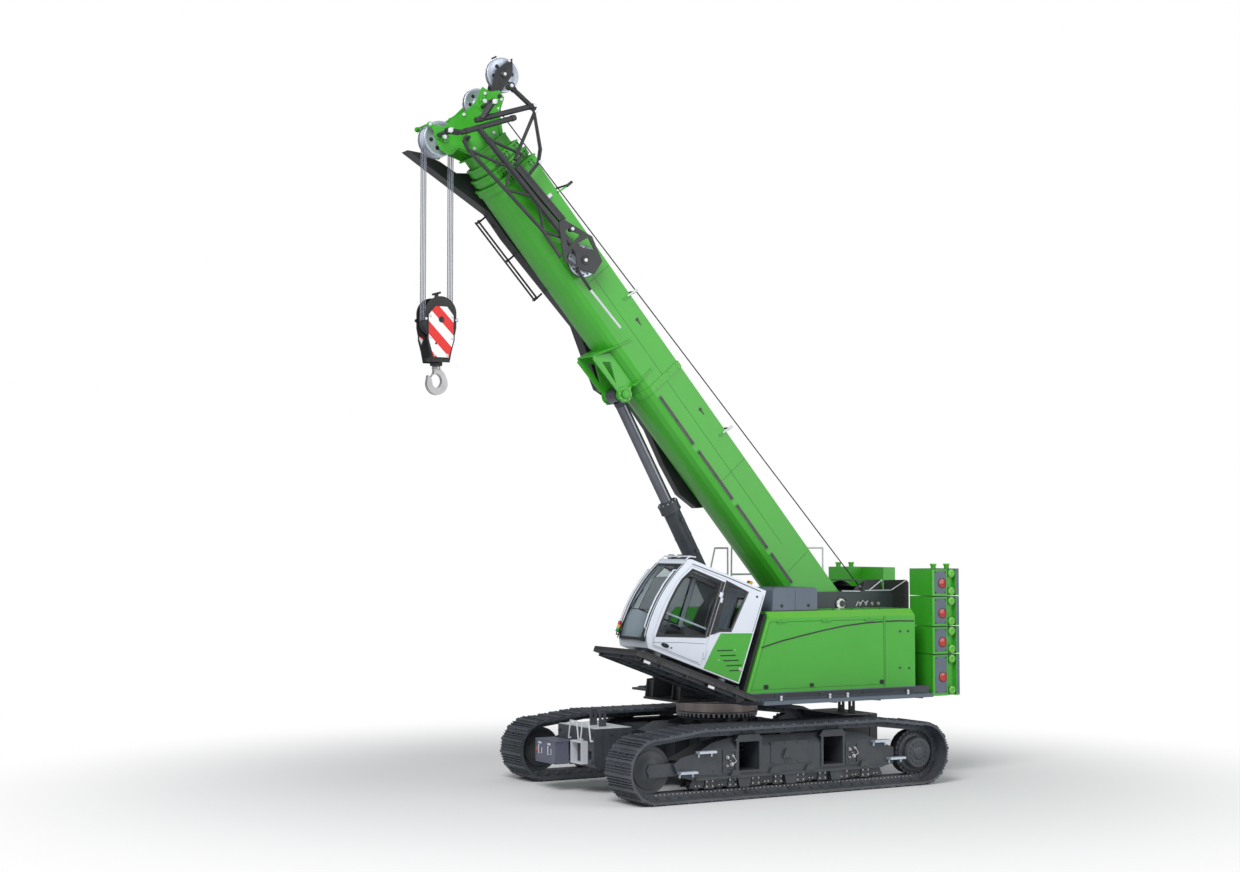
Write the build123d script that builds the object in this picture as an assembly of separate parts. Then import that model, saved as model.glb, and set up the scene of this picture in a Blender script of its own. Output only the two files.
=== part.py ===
"""Telescopic boom crawler crane, built as the real machine is assembled.

Millimetres. +X points forward, +Y to the machine's left and +Z up from the ground.
Every group is modelled about the slewing axis, and put() moves it to the row frame,
whose origin lies on the ground under the middle of the whole machine.
The boom and its attachments are modelled flat in the boom frame: +X along the boom's
centre line and +Z square to it. The luffing cylinder and the cab have frames of their own.
"""

import os
from math import asin, atan2, cos, hypot, pi, radians, sin

from build123d import *

os.makedirs("parts", exist_ok=True)

# ---------------------------------------------------------------- driving dimensions
SLEW_X = -800.0          # slewing axis from the row frame's origin
SEAT_GAP = 0.3           # between curved or sliding faces that seat on each other
RUN_GAP = 6.0            # between pieces that move past each other
SINK = 1.0               # how far welded pieces run into each other

# crawler
TRACK_CENTRE_X = -107.0
TRACK_LENGTH = 6250.0
SHOE_WIDTH = 770.0
SHOE_COUNT = 64
SHOE_THICKNESS = 28.0
GROUSER_HEIGHT = 24.0
LINK_HEIGHT = 105.0
LINK_WIDTH = 250.0
END_RADIUS = 528.0       # end wheel axle to the grouser tips, and axle height
GAUGE = 3610.0           # between the two track centres, extended
CREST_X = 1750.0         # where the carrier rollers lift the upper run
CREST_HEIGHT = 1150.0

# side frames and cross beams
FRAME_WIDTH = 430.0
FRAME_LOW = 330.0
FRAME_TOP = 960.0
FRAME_SHOULDER = 800.0   # where the sides start to lean in
FRAME_LEAN = 90.0
FRAME_HALF_LENGTH = 1830.0
ARM_X = 825.0            # sliding arms ahead of and behind the track centre
ARM_WIDTH = 390.0        # of the opening through an arm
ARM_HEIGHT = 450.0
ARM_LOW = 440.0
ARM_PLATE = 20.0
ARM_END = 700.0          # inner end of an arm from the middle of the machine, extended
ARM_FIT = 12.0           # room for the slide pads round an arm in its sleeve
SLEEVE_PLATE = 20.0
SLEEVE_END = 880.0
ROLLER_COUNT = 9
ROLLER_RADIUS = 82.0
ROLLER_SIDES = 10
WHEEL_WIDTH = 170.0
HUB_RADIUS = 240.0

# centre frame, slewing ring and ballast
BODY_HALF_LENGTH = 1350.0
BODY_HALF_WIDTH = 640.0
BODY_LOW = 420.0
BODY_TOP = 1010.0
NOSE_FRONT = 2030.0      # the ballast hangs on the nose of the centre frame
NOSE_HALF_WIDTH = 380.0
GEAR_RADIUS = 650.0
GEAR_TEETH = 54
GEAR_TOP = 1190.0
GEAR_HEIGHT = 60.0
RING_RADIUS = 690.0
RING_BORE = 430.0
RING_TOP = 1400.0
BALLAST_LENGTH = 710.0
BALLAST_WIDTH = 1200.0
BALLAST_LOW = 430.0
BALLAST_TOP = 1060.0

# upper frame
DECK_TOP = 1450.0
DECK_FRONT = 720.0
DECK_REAR = -3380.0
DECK_HALF_WIDTH = 600.0
WEB_INNER = 470.0
WEB_PLATE = 45.0
WEB_TOP = 3190.0
WEB_TOP_FRONT = -1740.0
SIDE_Y = 1500.0          # outer face of covers and counterweights
SILL_TOP = 1590.0
COVER_TOP = 2910.0
COVER_REAR = -3080.0
COVER_FRONT_LOW = 400.0
COVER_FRONT_TOP = -50.0
COVER_WALL = 25.0
COVER_BEVEL = 110.0
COVER_SPLIT = -2440.0    # rear edge of the hinged side flap
WALK_WIDTH = 480.0
WALK_TOP = 1480.0

# winch
DRUM_X = -2905.0
DRUM_Z = 3010.0
DRUM_RADIUS = 240.0
DRUM_FLANGE = 350.0
WINCH_SIDE = 420.0

# counterweights
STACK_FRONT = -3470.0
STACK_REAR = -4060.0
STACK_INNER = 880.0
STACK_LEVELS = (1400.0, 2110.0, 2590.0, 3110.0, 3590.0)

# boom
BOOM_ANGLE = 49.5
AXIS_X = -2047.0         # origin of the boom frame, on the boom's centre line
AXIS_Z = 2750.0
PIN_S = 62.0             # boom foot pin in the boom frame
PIN_T = 281.0
FOOT_PIN_RADIUS = 90.0
FOOT_EYE = 180.0
TUBE_START = 500.0
BOOM_REACH = 9513.0      # boom frame origin to the mouth of the base section
SECTION_STEP = 38.0      # each section is this much smaller all round
SECTION_SHOW = 170.0     # each section shows this much beyond the next larger one
BOOM_HALF_WIDTH = 420.0
BOOM_TOP = 450.0
BOOM_SHOULDER = -250.0   # where the flat side turns into the rounded underside
BOOM_BOTTOM = -440.0
BOOM_WALL = 14.0
PAD_WIDTH = 130.0

# luffing cylinder
LUFF_S = 5453.0          # rod pin along the boom
LUFF_T = -626.0          # rod pin below the boom's centre line
LUFF_PIN_RADIUS = 70.0
LUFF_SLOPE = 60.97       # of the cylinder when the boom is parked
LUFF_BASE_Z = 1950.0
BARREL_RADIUS = 147.0
BARREL_LENGTH = 3160.0
BARREL_WALL = 22.0
BARREL_EYE = 140.0
COLLAR_LENGTH = 170.0
ROD_RADIUS = 100.0
ROD_HIDDEN = 1370.0      # length of rod and piston inside the barrel when parked
ROD_EYE = 130.0
EYE_HALF_WIDTH = 150.0

# head and hook
SHEAVE_RADIUS = 285.0
REAR_SHEAVE_RADIUS = 250.0
GUARD_RADIUS = 18.0      # rope guard bars, just outside a sheave's rim
PITCH_RADIUS = 235.0     # of the rope on a sheave
HEAD_PLATE_Y = 215.0
HEAD_PLATE = 30.0
BLOCK_SHEAVE_Z = 7550.0
ROPE_RADIUS = 9.0

# cab, in the cab frame: +X forward along the floor, +Z square to it
CAB_TILT = 20.0
CAB_X, CAB_Z = 550.0, 1760.0
CAB_Y0, CAB_Y1 = 620.0, 1500.0
CAB_WALL = 45.0
CAB_HEIGHT = 1590.0
CAB_HINGE = (-60.0, -75.0)
GLASS = 6.0
PLATFORM_TOP = -160.0
PLATFORM_LOW = -240.0
PLATFORM_FRONT = 2260.0
PLATFORM_OUTER = 1960.0


# ---------------------------------------------------------------- making shapes
def put(shape, name):
    """Moves a finished piece into the row frame and writes it."""
    moved = Pos(SLEW_X, 0, 0) * shape
    moved.label = name
    export_step(moved, f"parts/{name}.step")


def block(x0, x1, y0, y1, z0, z1):
    """A box between two corners."""
    return Pos((x0 + x1) / 2, (y0 + y1) / 2, (z0 + z1) / 2) * Box(x1 - x0, y1 - y0, z1 - z0)


def bar(start, end, radius, bore=0.0, sides=0):
    """A bar between two points, or a tube with a bore: round, or with that many flats."""
    start, end = Vector(*start), Vector(*end)
    line = end - start
    ring = RegularPolygon(radius, sides) if sides else Circle(radius)
    if bore:
        ring -= Circle(bore)
    return extrude(Plane(origin=start, z_dir=line) * ring, line.length)


def across(x, z, radius, y0, y1, bore=0.0, sides=0):
    """A disc or drum whose axis lies across the machine."""
    return bar((x, y0, z), (x, y1, z), radius, bore, sides)


def upright(x, y, z0, z1, radius, sides=0):
    return bar((x, y, z0), (x, y, z1), radius, 0.0, sides)


def loop(points):
    """A closed outline in XZ: (x, z) is reached by a line, (x, z, via x, via z) by an arc."""
    edges = []
    here = Vector(points[-1][0], 0, points[-1][1])
    for point in points:
        there = Vector(point[0], 0, point[1])
        if len(point) == 4:
            edges.append(ThreePointArc(here, Vector(point[2], 0, point[3]), there))
        else:
            edges.append(Line(here, there))
        here = there
    return Wire(edges)


def side_profile(points, y0, y1, shrink=0.0):
    """An outline in XZ thickened from y0 to y1, drawn in all round by shrink."""
    face = make_face(loop(points))
    if shrink:
        face = offset(face, amount=-shrink, kind=Kind.INTERSECTION)
    return Pos(0, y0, 0) * extrude(face, amount=y1 - y0, dir=(0, 1, 0))


def end_profile(points, x0, x1):
    """An outline given as (y, z) points, thickened from x0 to x1."""
    face = make_face(Polyline(*[(0, y, z) for y, z in points], close=True))
    return Pos(x0, 0, 0) * extrude(face, amount=x1 - x0, dir=(1, 0, 0))


def joined(shapes):
    """Fuses a list of touching shapes."""
    first, rest = shapes[0], shapes[1:]
    return first.fuse(*rest) if rest else first


def span(side, inner, outer):
    """The y range from inner to outer on the left (side 1) or the right (side -1)."""
    return sorted((side * inner, side * outer))


# ---------------------------------------------------------------- crawler
TRACK_HALF = TRACK_LENGTH / 2 - END_RADIUS
SHOE_BASE = SHOE_THICKNESS + GROUSER_HEIGHT
CHAIN_INSET = SHOE_BASE + LINK_HEIGHT
WHEEL_RADIUS = END_RADIUS - CHAIN_INSET - SEAT_GAP
ROLLER_AXLE = CHAIN_INSET + SEAT_GAP + ROLLER_RADIUS * cos(pi / ROLLER_SIDES)
FRAME_TIP = FRAME_HALF_LENGTH + 250


def track_path(inset):
    """The loop as straight runs and end arcs, inset from the grouser tips."""
    radius = END_RADIUS - inset
    crest = CREST_HEIGHT - inset
    drop = crest - END_RADIUS
    run = TRACK_HALF - CREST_X
    lean = atan2(drop, run) - asin(radius / hypot(run, drop))
    touch = (TRACK_HALF + radius * sin(-lean), END_RADIUS + radius * cos(lean))
    nose = (TRACK_HALF + radius, END_RADIUS)
    return loop([(TRACK_HALF, inset), (*touch, *nose), (CREST_X, crest), (-CREST_X, crest),
                 (-touch[0], touch[1]), (-TRACK_HALF, inset, -nose[0], nose[1])])


def shoe_outline():
    """The outer outline of the loop: a plate and one tall grouser for each shoe."""
    path = track_path(SHOE_BASE)
    # columns: place along the shoe as a share of its pitch, height above the link
    section = [(0.0, SHOE_THICKNESS), (0.06, SHOE_BASE), (0.22, SHOE_BASE), (0.3, SHOE_THICKNESS)]
    points = []
    for shoe in range(SHOE_COUNT):
        for share, height in section:
            place = (shoe + share) / SHOE_COUNT
            along = path.tangent_at(place)
            points.append(path.position_at(place) + Vector(along.Z, 0, -along.X) * height)
    return points


def wide_ring(outer_face, inner_inset, width):
    """A ring of the track between an outer face and an inset loop, over a width."""
    face = outer_face - make_face(track_path(inner_inset))
    return Pos(0, -width / 2, 0) * extrude(face, amount=width, dir=(0, 1, 0))


def track():
    """The shoes over their full width, and the link chain inside them."""
    shoes = wide_ring(make_face(Polyline(*shoe_outline(), close=True)), SHOE_BASE + 6, SHOE_WIDTH)
    chain = wide_ring(make_face(track_path(SHOE_BASE + 6 - SINK)), CHAIN_INSET, LINK_WIDTH)
    return shoes.fuse(chain)


def roller_places():
    reach = 2 * (FRAME_HALF_LENGTH - 80)
    return [(index / (ROLLER_COUNT - 1) - 0.5) * reach for index in range(ROLLER_COUNT)]


def side_frame(side):
    """The box frame of one crawler, with the two pockets that the cross beams slide in."""
    half = FRAME_WIDTH / 2
    outline = [(-FRAME_HALF_LENGTH, FRAME_LOW), (FRAME_HALF_LENGTH, FRAME_LOW),
               (FRAME_TIP, FRAME_LOW + 60),
               (FRAME_TIP, 640), (FRAME_HALF_LENGTH - 330, FRAME_TOP - 70), (CREST_X - 620, FRAME_TOP),
               (-CREST_X + 620, FRAME_TOP), (-FRAME_HALF_LENGTH + 330, FRAME_TOP - 70),
               (-FRAME_TIP, 640), (-FRAME_TIP, FRAME_LOW + 60)]
    section = [(-half, FRAME_LOW), (half, FRAME_LOW), (half, FRAME_SHOULDER),
               (half - FRAME_LEAN, FRAME_TOP),
               (FRAME_LEAN - half, FRAME_TOP), (-half, FRAME_SHOULDER)]
    body = side_profile(outline, -half, half) & end_profile(section, -FRAME_TIP, FRAME_TIP)
    # a flange along the lower edge of the outer face
    flange_y = span(side, half - SINK, half + 25)
    body += block(-FRAME_HALF_LENGTH, FRAME_HALF_LENGTH, *flange_y, FRAME_LOW, FRAME_LOW + 40)
    low, high = ARM_LOW - ARM_PLATE, ARM_LOW + ARM_HEIGHT + ARM_PLATE
    for x in (-ARM_X, ARM_X):
        reach = ARM_WIDTH / 2 + ARM_PLATE
        # dirt shield over the arm, a rim round its mouth, and the hollow arm itself
        shield = [(x - reach - 60, high), (x + reach + 60, high), (x + reach - 20, high + 90),
                  (x - reach + 20, high + 90)]
        body += side_profile(shield, *span(side, LINK_WIDTH / 2 + RUN_GAP, half + 20))
        body += block(x - reach - 25, x + reach + 25, *span(side, half - SINK, half + 20), low - 10,
                      high + 5)
        body += block(x - reach, x + reach, *span(side, ARM_END - GAUGE / 2, half), low, high)
        body -= block(x - ARM_WIDTH / 2, x + ARM_WIDTH / 2, *span(side, ARM_END - GAUGE / 2 - SINK,
                                                                  half + 60),
                      ARM_LOW, ARM_LOW + ARM_HEIGHT)
    # guards that hold the chain on its rollers
    for x in (-900, 0, 900):
        for y0, y1 in ((-half, -half + 25), (half - 25, half)):
            body += side_profile([(x - 130, FRAME_LOW + SINK), (x - 90, 180), (x + 90, 180),
                                  (x + 130, FRAME_LOW + SINK)], y0, y1)
    for x in roller_places():
        for cheek in (-1, 1):
            body += block(x - 45, x + 45, *span(cheek, WHEEL_WIDTH / 2 + SEAT_GAP, WHEEL_WIDTH / 2 + 30),
                          ROLLER_AXLE - 40, FRAME_LOW + SINK)
    # axle cheeks at both ends
    for end in (-1, 1):
        x0, x1 = sorted((end * (FRAME_TIP - SINK), end * (TRACK_HALF + 60)))
        for cheek in (-1, 1):
            if end < 0 and cheek == side:
                continue
            body += block(x0, x1, *span(cheek, WHEEL_WIDTH / 2 + 20, half - 40),
                          END_RADIUS - 110, END_RADIUS + 90)
    # skids under the upper run
    for x in (-1000, 0, 1000):
        body += block(x - 110, x + 110, -60, 60, FRAME_TOP - SINK, CREST_HEIGHT - CHAIN_INSET - SEAT_GAP)
    return body


def running_gear(side):
    """Idler, drive wheel with its hub, and the track rollers under the frame."""
    wide = WHEEL_WIDTH / 2
    cheek = wide + 20 - SEAT_GAP
    idler = across(TRACK_HALF, END_RADIUS, WHEEL_RADIUS, -wide, wide, sides=24)
    idler += across(TRACK_HALF, END_RADIUS, 60, -cheek, cheek, sides=8)
    driver = across(-TRACK_HALF, END_RADIUS, WHEEL_RADIUS, -wide, wide, sides=24)
    driver += across(-TRACK_HALF, END_RADIUS, 60, *span(-side, 0, cheek), sides=8)
    driver += across(-TRACK_HALF, END_RADIUS, HUB_RADIUS + 60, *span(side, wide - SINK, wide + 40),
                     sides=24)
    driver += across(-TRACK_HALF, END_RADIUS, HUB_RADIUS, *span(side, wide, FRAME_WIDTH / 2 + 20),
                     sides=24)
    rollers = []
    for x in roller_places():
        turned = Pos(x, 0, ROLLER_AXLE) * Rot(0, 180 / ROLLER_SIDES, 0)
        rollers.append(turned * across(0, 0, ROLLER_RADIUS, -wide, wide, sides=ROLLER_SIDES))
    return Compound([idler, driver] + rollers)


def crawler(side, suffix):
    place = Pos(TRACK_CENTRE_X, side * GAUGE / 2, 0)
    put(place * track(), f"track_{suffix}")
    put(place * side_frame(side), f"side_frame_{suffix}")
    put(place * running_gear(side), f"running_gear_{suffix}")
    # columns: step centre from the track centre, height of the step
    steps = []
    for x, z in ((1660.0, 770.0), (2010.0, 470.0), (-1770.0, 770.0), (-2090.0, 470.0)):
        tread = block(x - 160, x + 160, 0, 120, z - 18, z + 18)
        tread -= block(x - 135, x + 135, 25, 100, z - 20, z + 20)
        steps.append(tread)
    face = FRAME_WIDTH / 2 + SEAT_GAP
    turn = Pos(0, face, 0) if side > 0 else Pos(0, -face - 120, 0)
    put(place * turn * Compound(steps), f"frame_steps_{suffix}")


# ---------------------------------------------------------------- centre frame
def centre_frame():
    """The box between the crawlers with its two hollow cross beams and the ballast noses."""
    centre = TRACK_CENTRE_X
    outline = [(-BODY_HALF_LENGTH, BODY_LOW), (BODY_HALF_LENGTH, BODY_LOW), (BODY_HALF_LENGTH, 850.0),
               (BODY_HALF_LENGTH - 350, BODY_TOP), (350 - BODY_HALF_LENGTH, BODY_TOP),
               (-BODY_HALF_LENGTH, 850.0)]
    body = Pos(centre, 0, 0) * side_profile(outline, -BODY_HALF_WIDTH, BODY_HALF_WIDTH)
    nose = NOSE_FRONT - centre
    body += block(centre - nose, centre + nose, -NOSE_HALF_WIDTH, NOSE_HALF_WIDTH, BODY_LOW + 30, 820)
    body += upright(0, 0, BODY_TOP - 200, GEAR_TOP - GEAR_HEIGHT, GEAR_RADIUS - 60, sides=32)
    fit = ARM_PLATE + ARM_FIT
    low, high = ARM_LOW - fit, ARM_LOW + ARM_HEIGHT + fit
    for x in (centre - ARM_X, centre + ARM_X):
        inside = ARM_WIDTH / 2 + fit
        outside = inside + SLEEVE_PLATE
        body += block(x - outside, x + outside, -SLEEVE_END, SLEEVE_END, low - SLEEVE_PLATE,
                      high + SLEEVE_PLATE)
        body -= block(x - inside, x + inside, -SLEEVE_END - SINK, SLEEVE_END + SINK, low, high)
        for side in (-1, 1):
            mouth = span(side, SLEEVE_END - 110, SLEEVE_END - 10)
            body += block(x - 160, x + 160, *mouth, low - SINK, low + ARM_FIT - SEAT_GAP)
            body += block(x - 160, x + 160, *mouth, high - ARM_FIT + SEAT_GAP, high + SINK)
    # ribs that brace the turret on the deck of the box
    for turn in range(0, 360, 45):
        rib = Rot(0, 0, turn + 22.5) * side_profile(
            [(500.0, BODY_TOP - SLEEVE_PLATE), (840.0, BODY_TOP - SLEEVE_PLATE), (840.0, BODY_TOP + 20),
             (GEAR_RADIUS - 60, GEAR_TOP - 90), (500.0, GEAR_TOP - 90)], -12, 12)
        body += rib & block(-BODY_HALF_LENGTH, BODY_HALF_LENGTH, -BODY_HALF_WIDTH, BODY_HALF_WIDTH,
                            BODY_LOW, GEAR_TOP)
    return body


def gear_ring():
    """The fixed toothed ring of the slewing bearing."""
    points = []
    # columns: place along the tooth as a share of its pitch, radius
    tooth_shape = ((0.0, GEAR_RADIUS - 30), (0.5, GEAR_RADIUS))
    for tooth in range(GEAR_TEETH):
        for share, radius in tooth_shape:
            turn = 2 * pi * (tooth + share) / GEAR_TEETH
            points.append((radius * cos(turn), radius * sin(turn)))
    face = make_face(Polyline(*points, close=True)) - Circle(RING_BORE)
    return Pos(0, 0, GEAR_TOP - GEAR_HEIGHT) * extrude(face, GEAR_HEIGHT)


def grab_loop(x, y, z0, z1, width):
    """A bent round bar that stands up as a hand hold."""
    r = 13.0
    low_a, high_a = (x, y - width / 2, z0), (x, y - width / 2 + 60, z1)
    low_b, high_b = (x, y + width / 2, z0), (x, y + width / 2 - 60, z1)
    legs = [bar(low_a, high_a, r, sides=6), bar(low_b, high_b, r, sides=6)]
    return joined(legs + [bar((x, y - width / 2 + 50, z1), (x, y + width / 2 - 50, z1), r, sides=6)])


def ballast(sign):
    """The weight at one end of the centre frame, with its lifting lugs."""
    near = TRACK_CENTRE_X + sign * (NOSE_FRONT - TRACK_CENTRE_X)
    far = near + sign * BALLAST_LENGTH
    half = BALLAST_WIDTH / 2
    outline = [(near, BALLAST_LOW), (far - sign * 60, BALLAST_LOW), (far, BALLAST_LOW + 60),
               (far, BALLAST_TOP),
               (near, BALLAST_TOP)]
    body = side_profile(outline, -half, half)
    seam = near + sign * 540
    body -= block(seam - 8, seam + 8, half - 12, half + 1, BALLAST_LOW - 1, BALLAST_TOP + 1)
    body -= block(seam - 8, seam + 8, -half - 1, 12 - half, BALLAST_LOW - 1, BALLAST_TOP + 1)
    for z0, z1 in ((560, 700), (830, 930)):
        x0, x1 = sorted((far - sign * 70, far + sign * 10))
        body -= block(x0, x1, 420, 520, z0, z1)
    for y in (0.0, 300.0):
        lug_x = far - sign * 330
        lug = block(lug_x - 60, lug_x + 60, y - 20, y + 20, BALLAST_TOP - SINK, BALLAST_TOP + 270)
        body += lug - block(lug_x - 25, lug_x + 25, y - 30, y + 30, BALLAST_TOP + 120, BALLAST_TOP + 210)
    return body


put(centre_frame(), "centre_frame")
put(gear_ring(), "gear_ring")
crawler(1, "left")
crawler(-1, "right")
put(ballast(1), "front_ballast")
put(ballast(-1), "rear_ballast")
ballast_face = NOSE_FRONT + BALLAST_LENGTH
box = block(ballast_face + 130, ballast_face + 370, -690, 0, 460, 830)
box += block(ballast_face + 125, ballast_face + 375, -695, 5, 800, 812)
put(box + block(ballast_face + SEAT_GAP, ballast_face + 131, -560, -100, 520, 780), "storage_box")
step = []
for z in (500.0, 840.0):
    step.append(block(ballast_face + SEAT_GAP, ballast_face + 120, 40, 400, z - 12, z + 12))
for y in (50.0, 390.0):
    step.append(block(ballast_face + SEAT_GAP, ballast_face + 120, y - 10, y + 10, 500, 840))
put(joined(step), "front_step")
holds = []
for y in (0.0, 400.0):
    hold = grab_loop(ballast_face + 40, y, 862, 1150, 330)
    for foot in (-165, 165):
        hold += block(ballast_face + SEAT_GAP, ballast_face + 45, y + foot - 15, y + foot + 15, 855, 881)
    holds.append(hold)
put(Compound(holds), "grab_loops")

# ---------------------------------------------------------------- upper frame
put(bar((0, 0, GEAR_TOP + SEAT_GAP), (0, 0, RING_TOP), RING_RADIUS, RING_BORE), "slewing_ring")


def boom_point(s, t):
    """A point of the parked boom in the slewing frame."""
    turn = radians(BOOM_ANGLE)
    return Vector(AXIS_X + s * cos(turn) - t * sin(turn), 0, AXIS_Z + s * sin(turn) + t * cos(turn))


FOOT = boom_point(PIN_S, PIN_T)
LUFF_EYE = boom_point(LUFF_S, LUFF_T)
LUFF_RISE = (LUFF_EYE.Z - LUFF_BASE_Z) / sin(radians(LUFF_SLOPE))
LUFF_BASE_X = LUFF_EYE.X - LUFF_RISE * cos(radians(LUFF_SLOPE))


def web(side):
    """The plate on one side that carries the boom foot, stepped down towards the front."""
    y0, y1 = span(side, WEB_INNER, WEB_INNER + WEB_PLATE)
    outline = [(DECK_REAR, RING_TOP), (DECK_FRONT, RING_TOP), (DECK_FRONT, 1620), (250, 1950),
               (-900, 2150),
               (-1480, 2650), (WEB_TOP_FRONT, WEB_TOP), (DECK_REAR + 60, WEB_TOP), (DECK_REAR,
                                                                                    WEB_TOP - 60)]
    plate = side_profile(outline, y0, y1)
    plate += across(FOOT.X, FOOT.Z, FOOT_EYE, *span(side, BOOM_HALF_WIDTH + SEAT_GAP, WEB_INNER + SINK),
                    sides=16)
    return plate - across(FOOT.X, FOOT.Z, FOOT_PIN_RADIUS + SEAT_GAP, *span(side, 0, 700))


def cylinder_ear(side):
    """One of the two ears that hold the foot of the luffing cylinder between their bosses."""
    inner = EYE_HALF_WIDTH + SEAT_GAP
    x, z = LUFF_BASE_X, LUFF_BASE_Z
    ear = side_profile([(x - 300, DECK_TOP - SINK), (x + 300, DECK_TOP - SINK), (x + 150, z),
                        (x + 70, z + 120), (x - 70, z + 120), (x - 150, z)], *span(side, 195, 235))
    ear += across(x, z, 105, *span(side, inner, 196), sides=12)
    ear += across(x, z, 80, *span(side, 234, 262), sides=12)
    brace = side_profile([(x - 60, DECK_TOP - SINK), (x + 60, DECK_TOP - SINK), (x + 60, z - 180),
                          (x - 60, z - 180)], *span(side, 234, WEB_INNER + SINK))
    return ear + brace


def upper_frame():
    """Deck, webs and the cross plates between them."""
    parts = [block(DECK_REAR, DECK_FRONT, -DECK_HALF_WIDTH, DECK_HALF_WIDTH, RING_TOP, DECK_TOP)]
    for side in (-1, 1):
        parts.append(web(side))
        parts.append(cylinder_ear(side))
    parts.append(block(DECK_REAR, DECK_REAR + 30, -WEB_INNER - SINK, WEB_INNER + SINK, DECK_TOP - SINK,
                       2250))
    parts.append(block(-1500, -1470, -WEB_INNER - SINK, WEB_INNER + SINK, DECK_TOP - SINK, 2050))
    # a low edge bar at the front, so that the lowered cylinder lies over it
    parts.append(block(DECK_FRONT - 30, DECK_FRONT, -WEB_INNER - SINK, WEB_INNER + SINK, DECK_TOP - SINK,
                       DECK_TOP + 30))
    return joined(parts)


def foot_pin():
    """The boom foot pin with a keeper plate at each end."""
    end = WEB_INNER + WEB_PLATE + 34
    pin = across(FOOT.X, FOOT.Z, FOOT_PIN_RADIUS, -end, end)
    for side in (-1, 1):
        y0, y1 = span(side, WEB_INNER + WEB_PLATE + SEAT_GAP, WEB_INNER + WEB_PLATE + 16)
        pin += block(FOOT.X - 150, FOOT.X + 40, y0, y1, FOOT.Z - 30, FOOT.Z + 30)
    return pin


put(upper_frame(), "upper_frame")
put(foot_pin(), "boom_foot_pin")


# ---------------------------------------------------------------- covers
def cover_outline(inset=0.0):
    return [(COVER_REAR + inset, SILL_TOP + inset), (COVER_FRONT_LOW - inset * 1.4, SILL_TOP + inset),
            (COVER_FRONT_TOP - inset * 1.1, COVER_TOP - inset), (COVER_REAR + inset, COVER_TOP - inset)]


def cover_section(side, inset):
    """The cover seen from its end, with the bevel along the outer upper edge."""
    outer, top = SIDE_Y - inset, COVER_TOP - inset
    corner = [(DECK_HALF_WIDTH - inset, SILL_TOP + inset), (outer, SILL_TOP + inset),
              (outer, top - COVER_BEVEL),
              (outer - COVER_BEVEL, top), (DECK_HALF_WIDTH - inset, top)]
    return [(side * y, z) for y, z in corner]


def cover_body(side, inset):
    """The solid form of a side cover, drawn in by inset except on its open inner side."""
    y0, y1 = span(side, DECK_HALF_WIDTH - inset, SIDE_Y - inset)
    ends = end_profile(cover_section(side, inset), COVER_REAR + inset, COVER_FRONT_LOW)
    return side_profile(cover_outline(inset), y0, y1) & ends


def cover(side):
    """A side cover: a shell of even wall that is open towards the boom."""
    shell = cover_body(side, 0.0) - cover_body(side, COVER_WALL)
    split = block(COVER_SPLIT - 4, COVER_SPLIT + 4, *span(side, SIDE_Y - 8, SIDE_Y + 1), SILL_TOP - 1,
                  COVER_TOP + 1)
    return shell - split


FLAP_LOW, FLAP_TOP = SILL_TOP + 60, COVER_TOP - COVER_BEVEL - 60
FLAP_OUTLINE = [(COVER_SPLIT + 30, FLAP_LOW), (COVER_FRONT_LOW - 95, FLAP_LOW),
                (COVER_FRONT_TOP - 17, FLAP_TOP),
                (COVER_SPLIT + 30, FLAP_TOP)]
HINGE_RADIUS = 12.0
HINGE_Y, HINGE_Z = SIDE_Y + HINGE_RADIUS + 1, FLAP_TOP + 3


def left_cover():
    """The cover over the engine with the opening for its flap, a rest for it and hinge knuckles."""
    shell = cover(1) - side_profile(FLAP_OUTLINE, SIDE_Y - COVER_WALL - 5, SIDE_Y + 1, -RUN_GAP)
    inner = SIDE_Y - COVER_WALL - SEAT_GAP
    shell += block(COVER_SPLIT + 30, COVER_FRONT_LOW - 95, inner - 12, inner,
                   SILL_TOP + COVER_WALL - SINK,
                   FLAP_LOW + 25)
    for x in (-2100, -1200, -300):
        shell += knuckle(x - 90, x - SEAT_GAP)
        shell += block(x - 90, x - SEAT_GAP, SIDE_Y - SINK, HINGE_Y, HINGE_Z + 4, HINGE_Z + 30)
    return shell


def knuckle(x0, x1):
    return bar((x0, HINGE_Y, HINGE_Z), (x1, HINGE_Y, HINGE_Z), HINGE_RADIUS)


def side_flap():
    """The engine flap, hinged along its upper edge."""
    leaf = side_profile(FLAP_OUTLINE, SIDE_Y - COVER_WALL, SIDE_Y)
    for x in (-2100, -1200, -300):
        leaf += knuckle(x + SEAT_GAP, x + 90)
        leaf += block(x + SEAT_GAP, x + 90, SIDE_Y - SINK, HINGE_Y, HINGE_Z - 30, HINGE_Z - 4)
    return leaf


put(left_cover(), "left_cover")
put(side_flap(), "side_flap")
put(cover(-1), "right_cover")
put(block(-2300, -700, 720, 1340, SILL_TOP + COVER_WALL + SEAT_GAP, 2450), "engine")
hood = [(-1100, COVER_TOP), (-190, COVER_TOP), (-205, COVER_TOP + 350), (-245, COVER_TOP + 390),
        (-1060, COVER_TOP + 390), (-1100, COVER_TOP + 350)]
hood_body = side_profile(hood, 620, SIDE_Y - COVER_BEVEL)
for x in (-980, -790, -600, -410):
    hood_body -= block(x, x + 110, 700, 1300, COVER_TOP + 350, COVER_TOP + 391)
put(hood_body, "air_hood")


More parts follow.
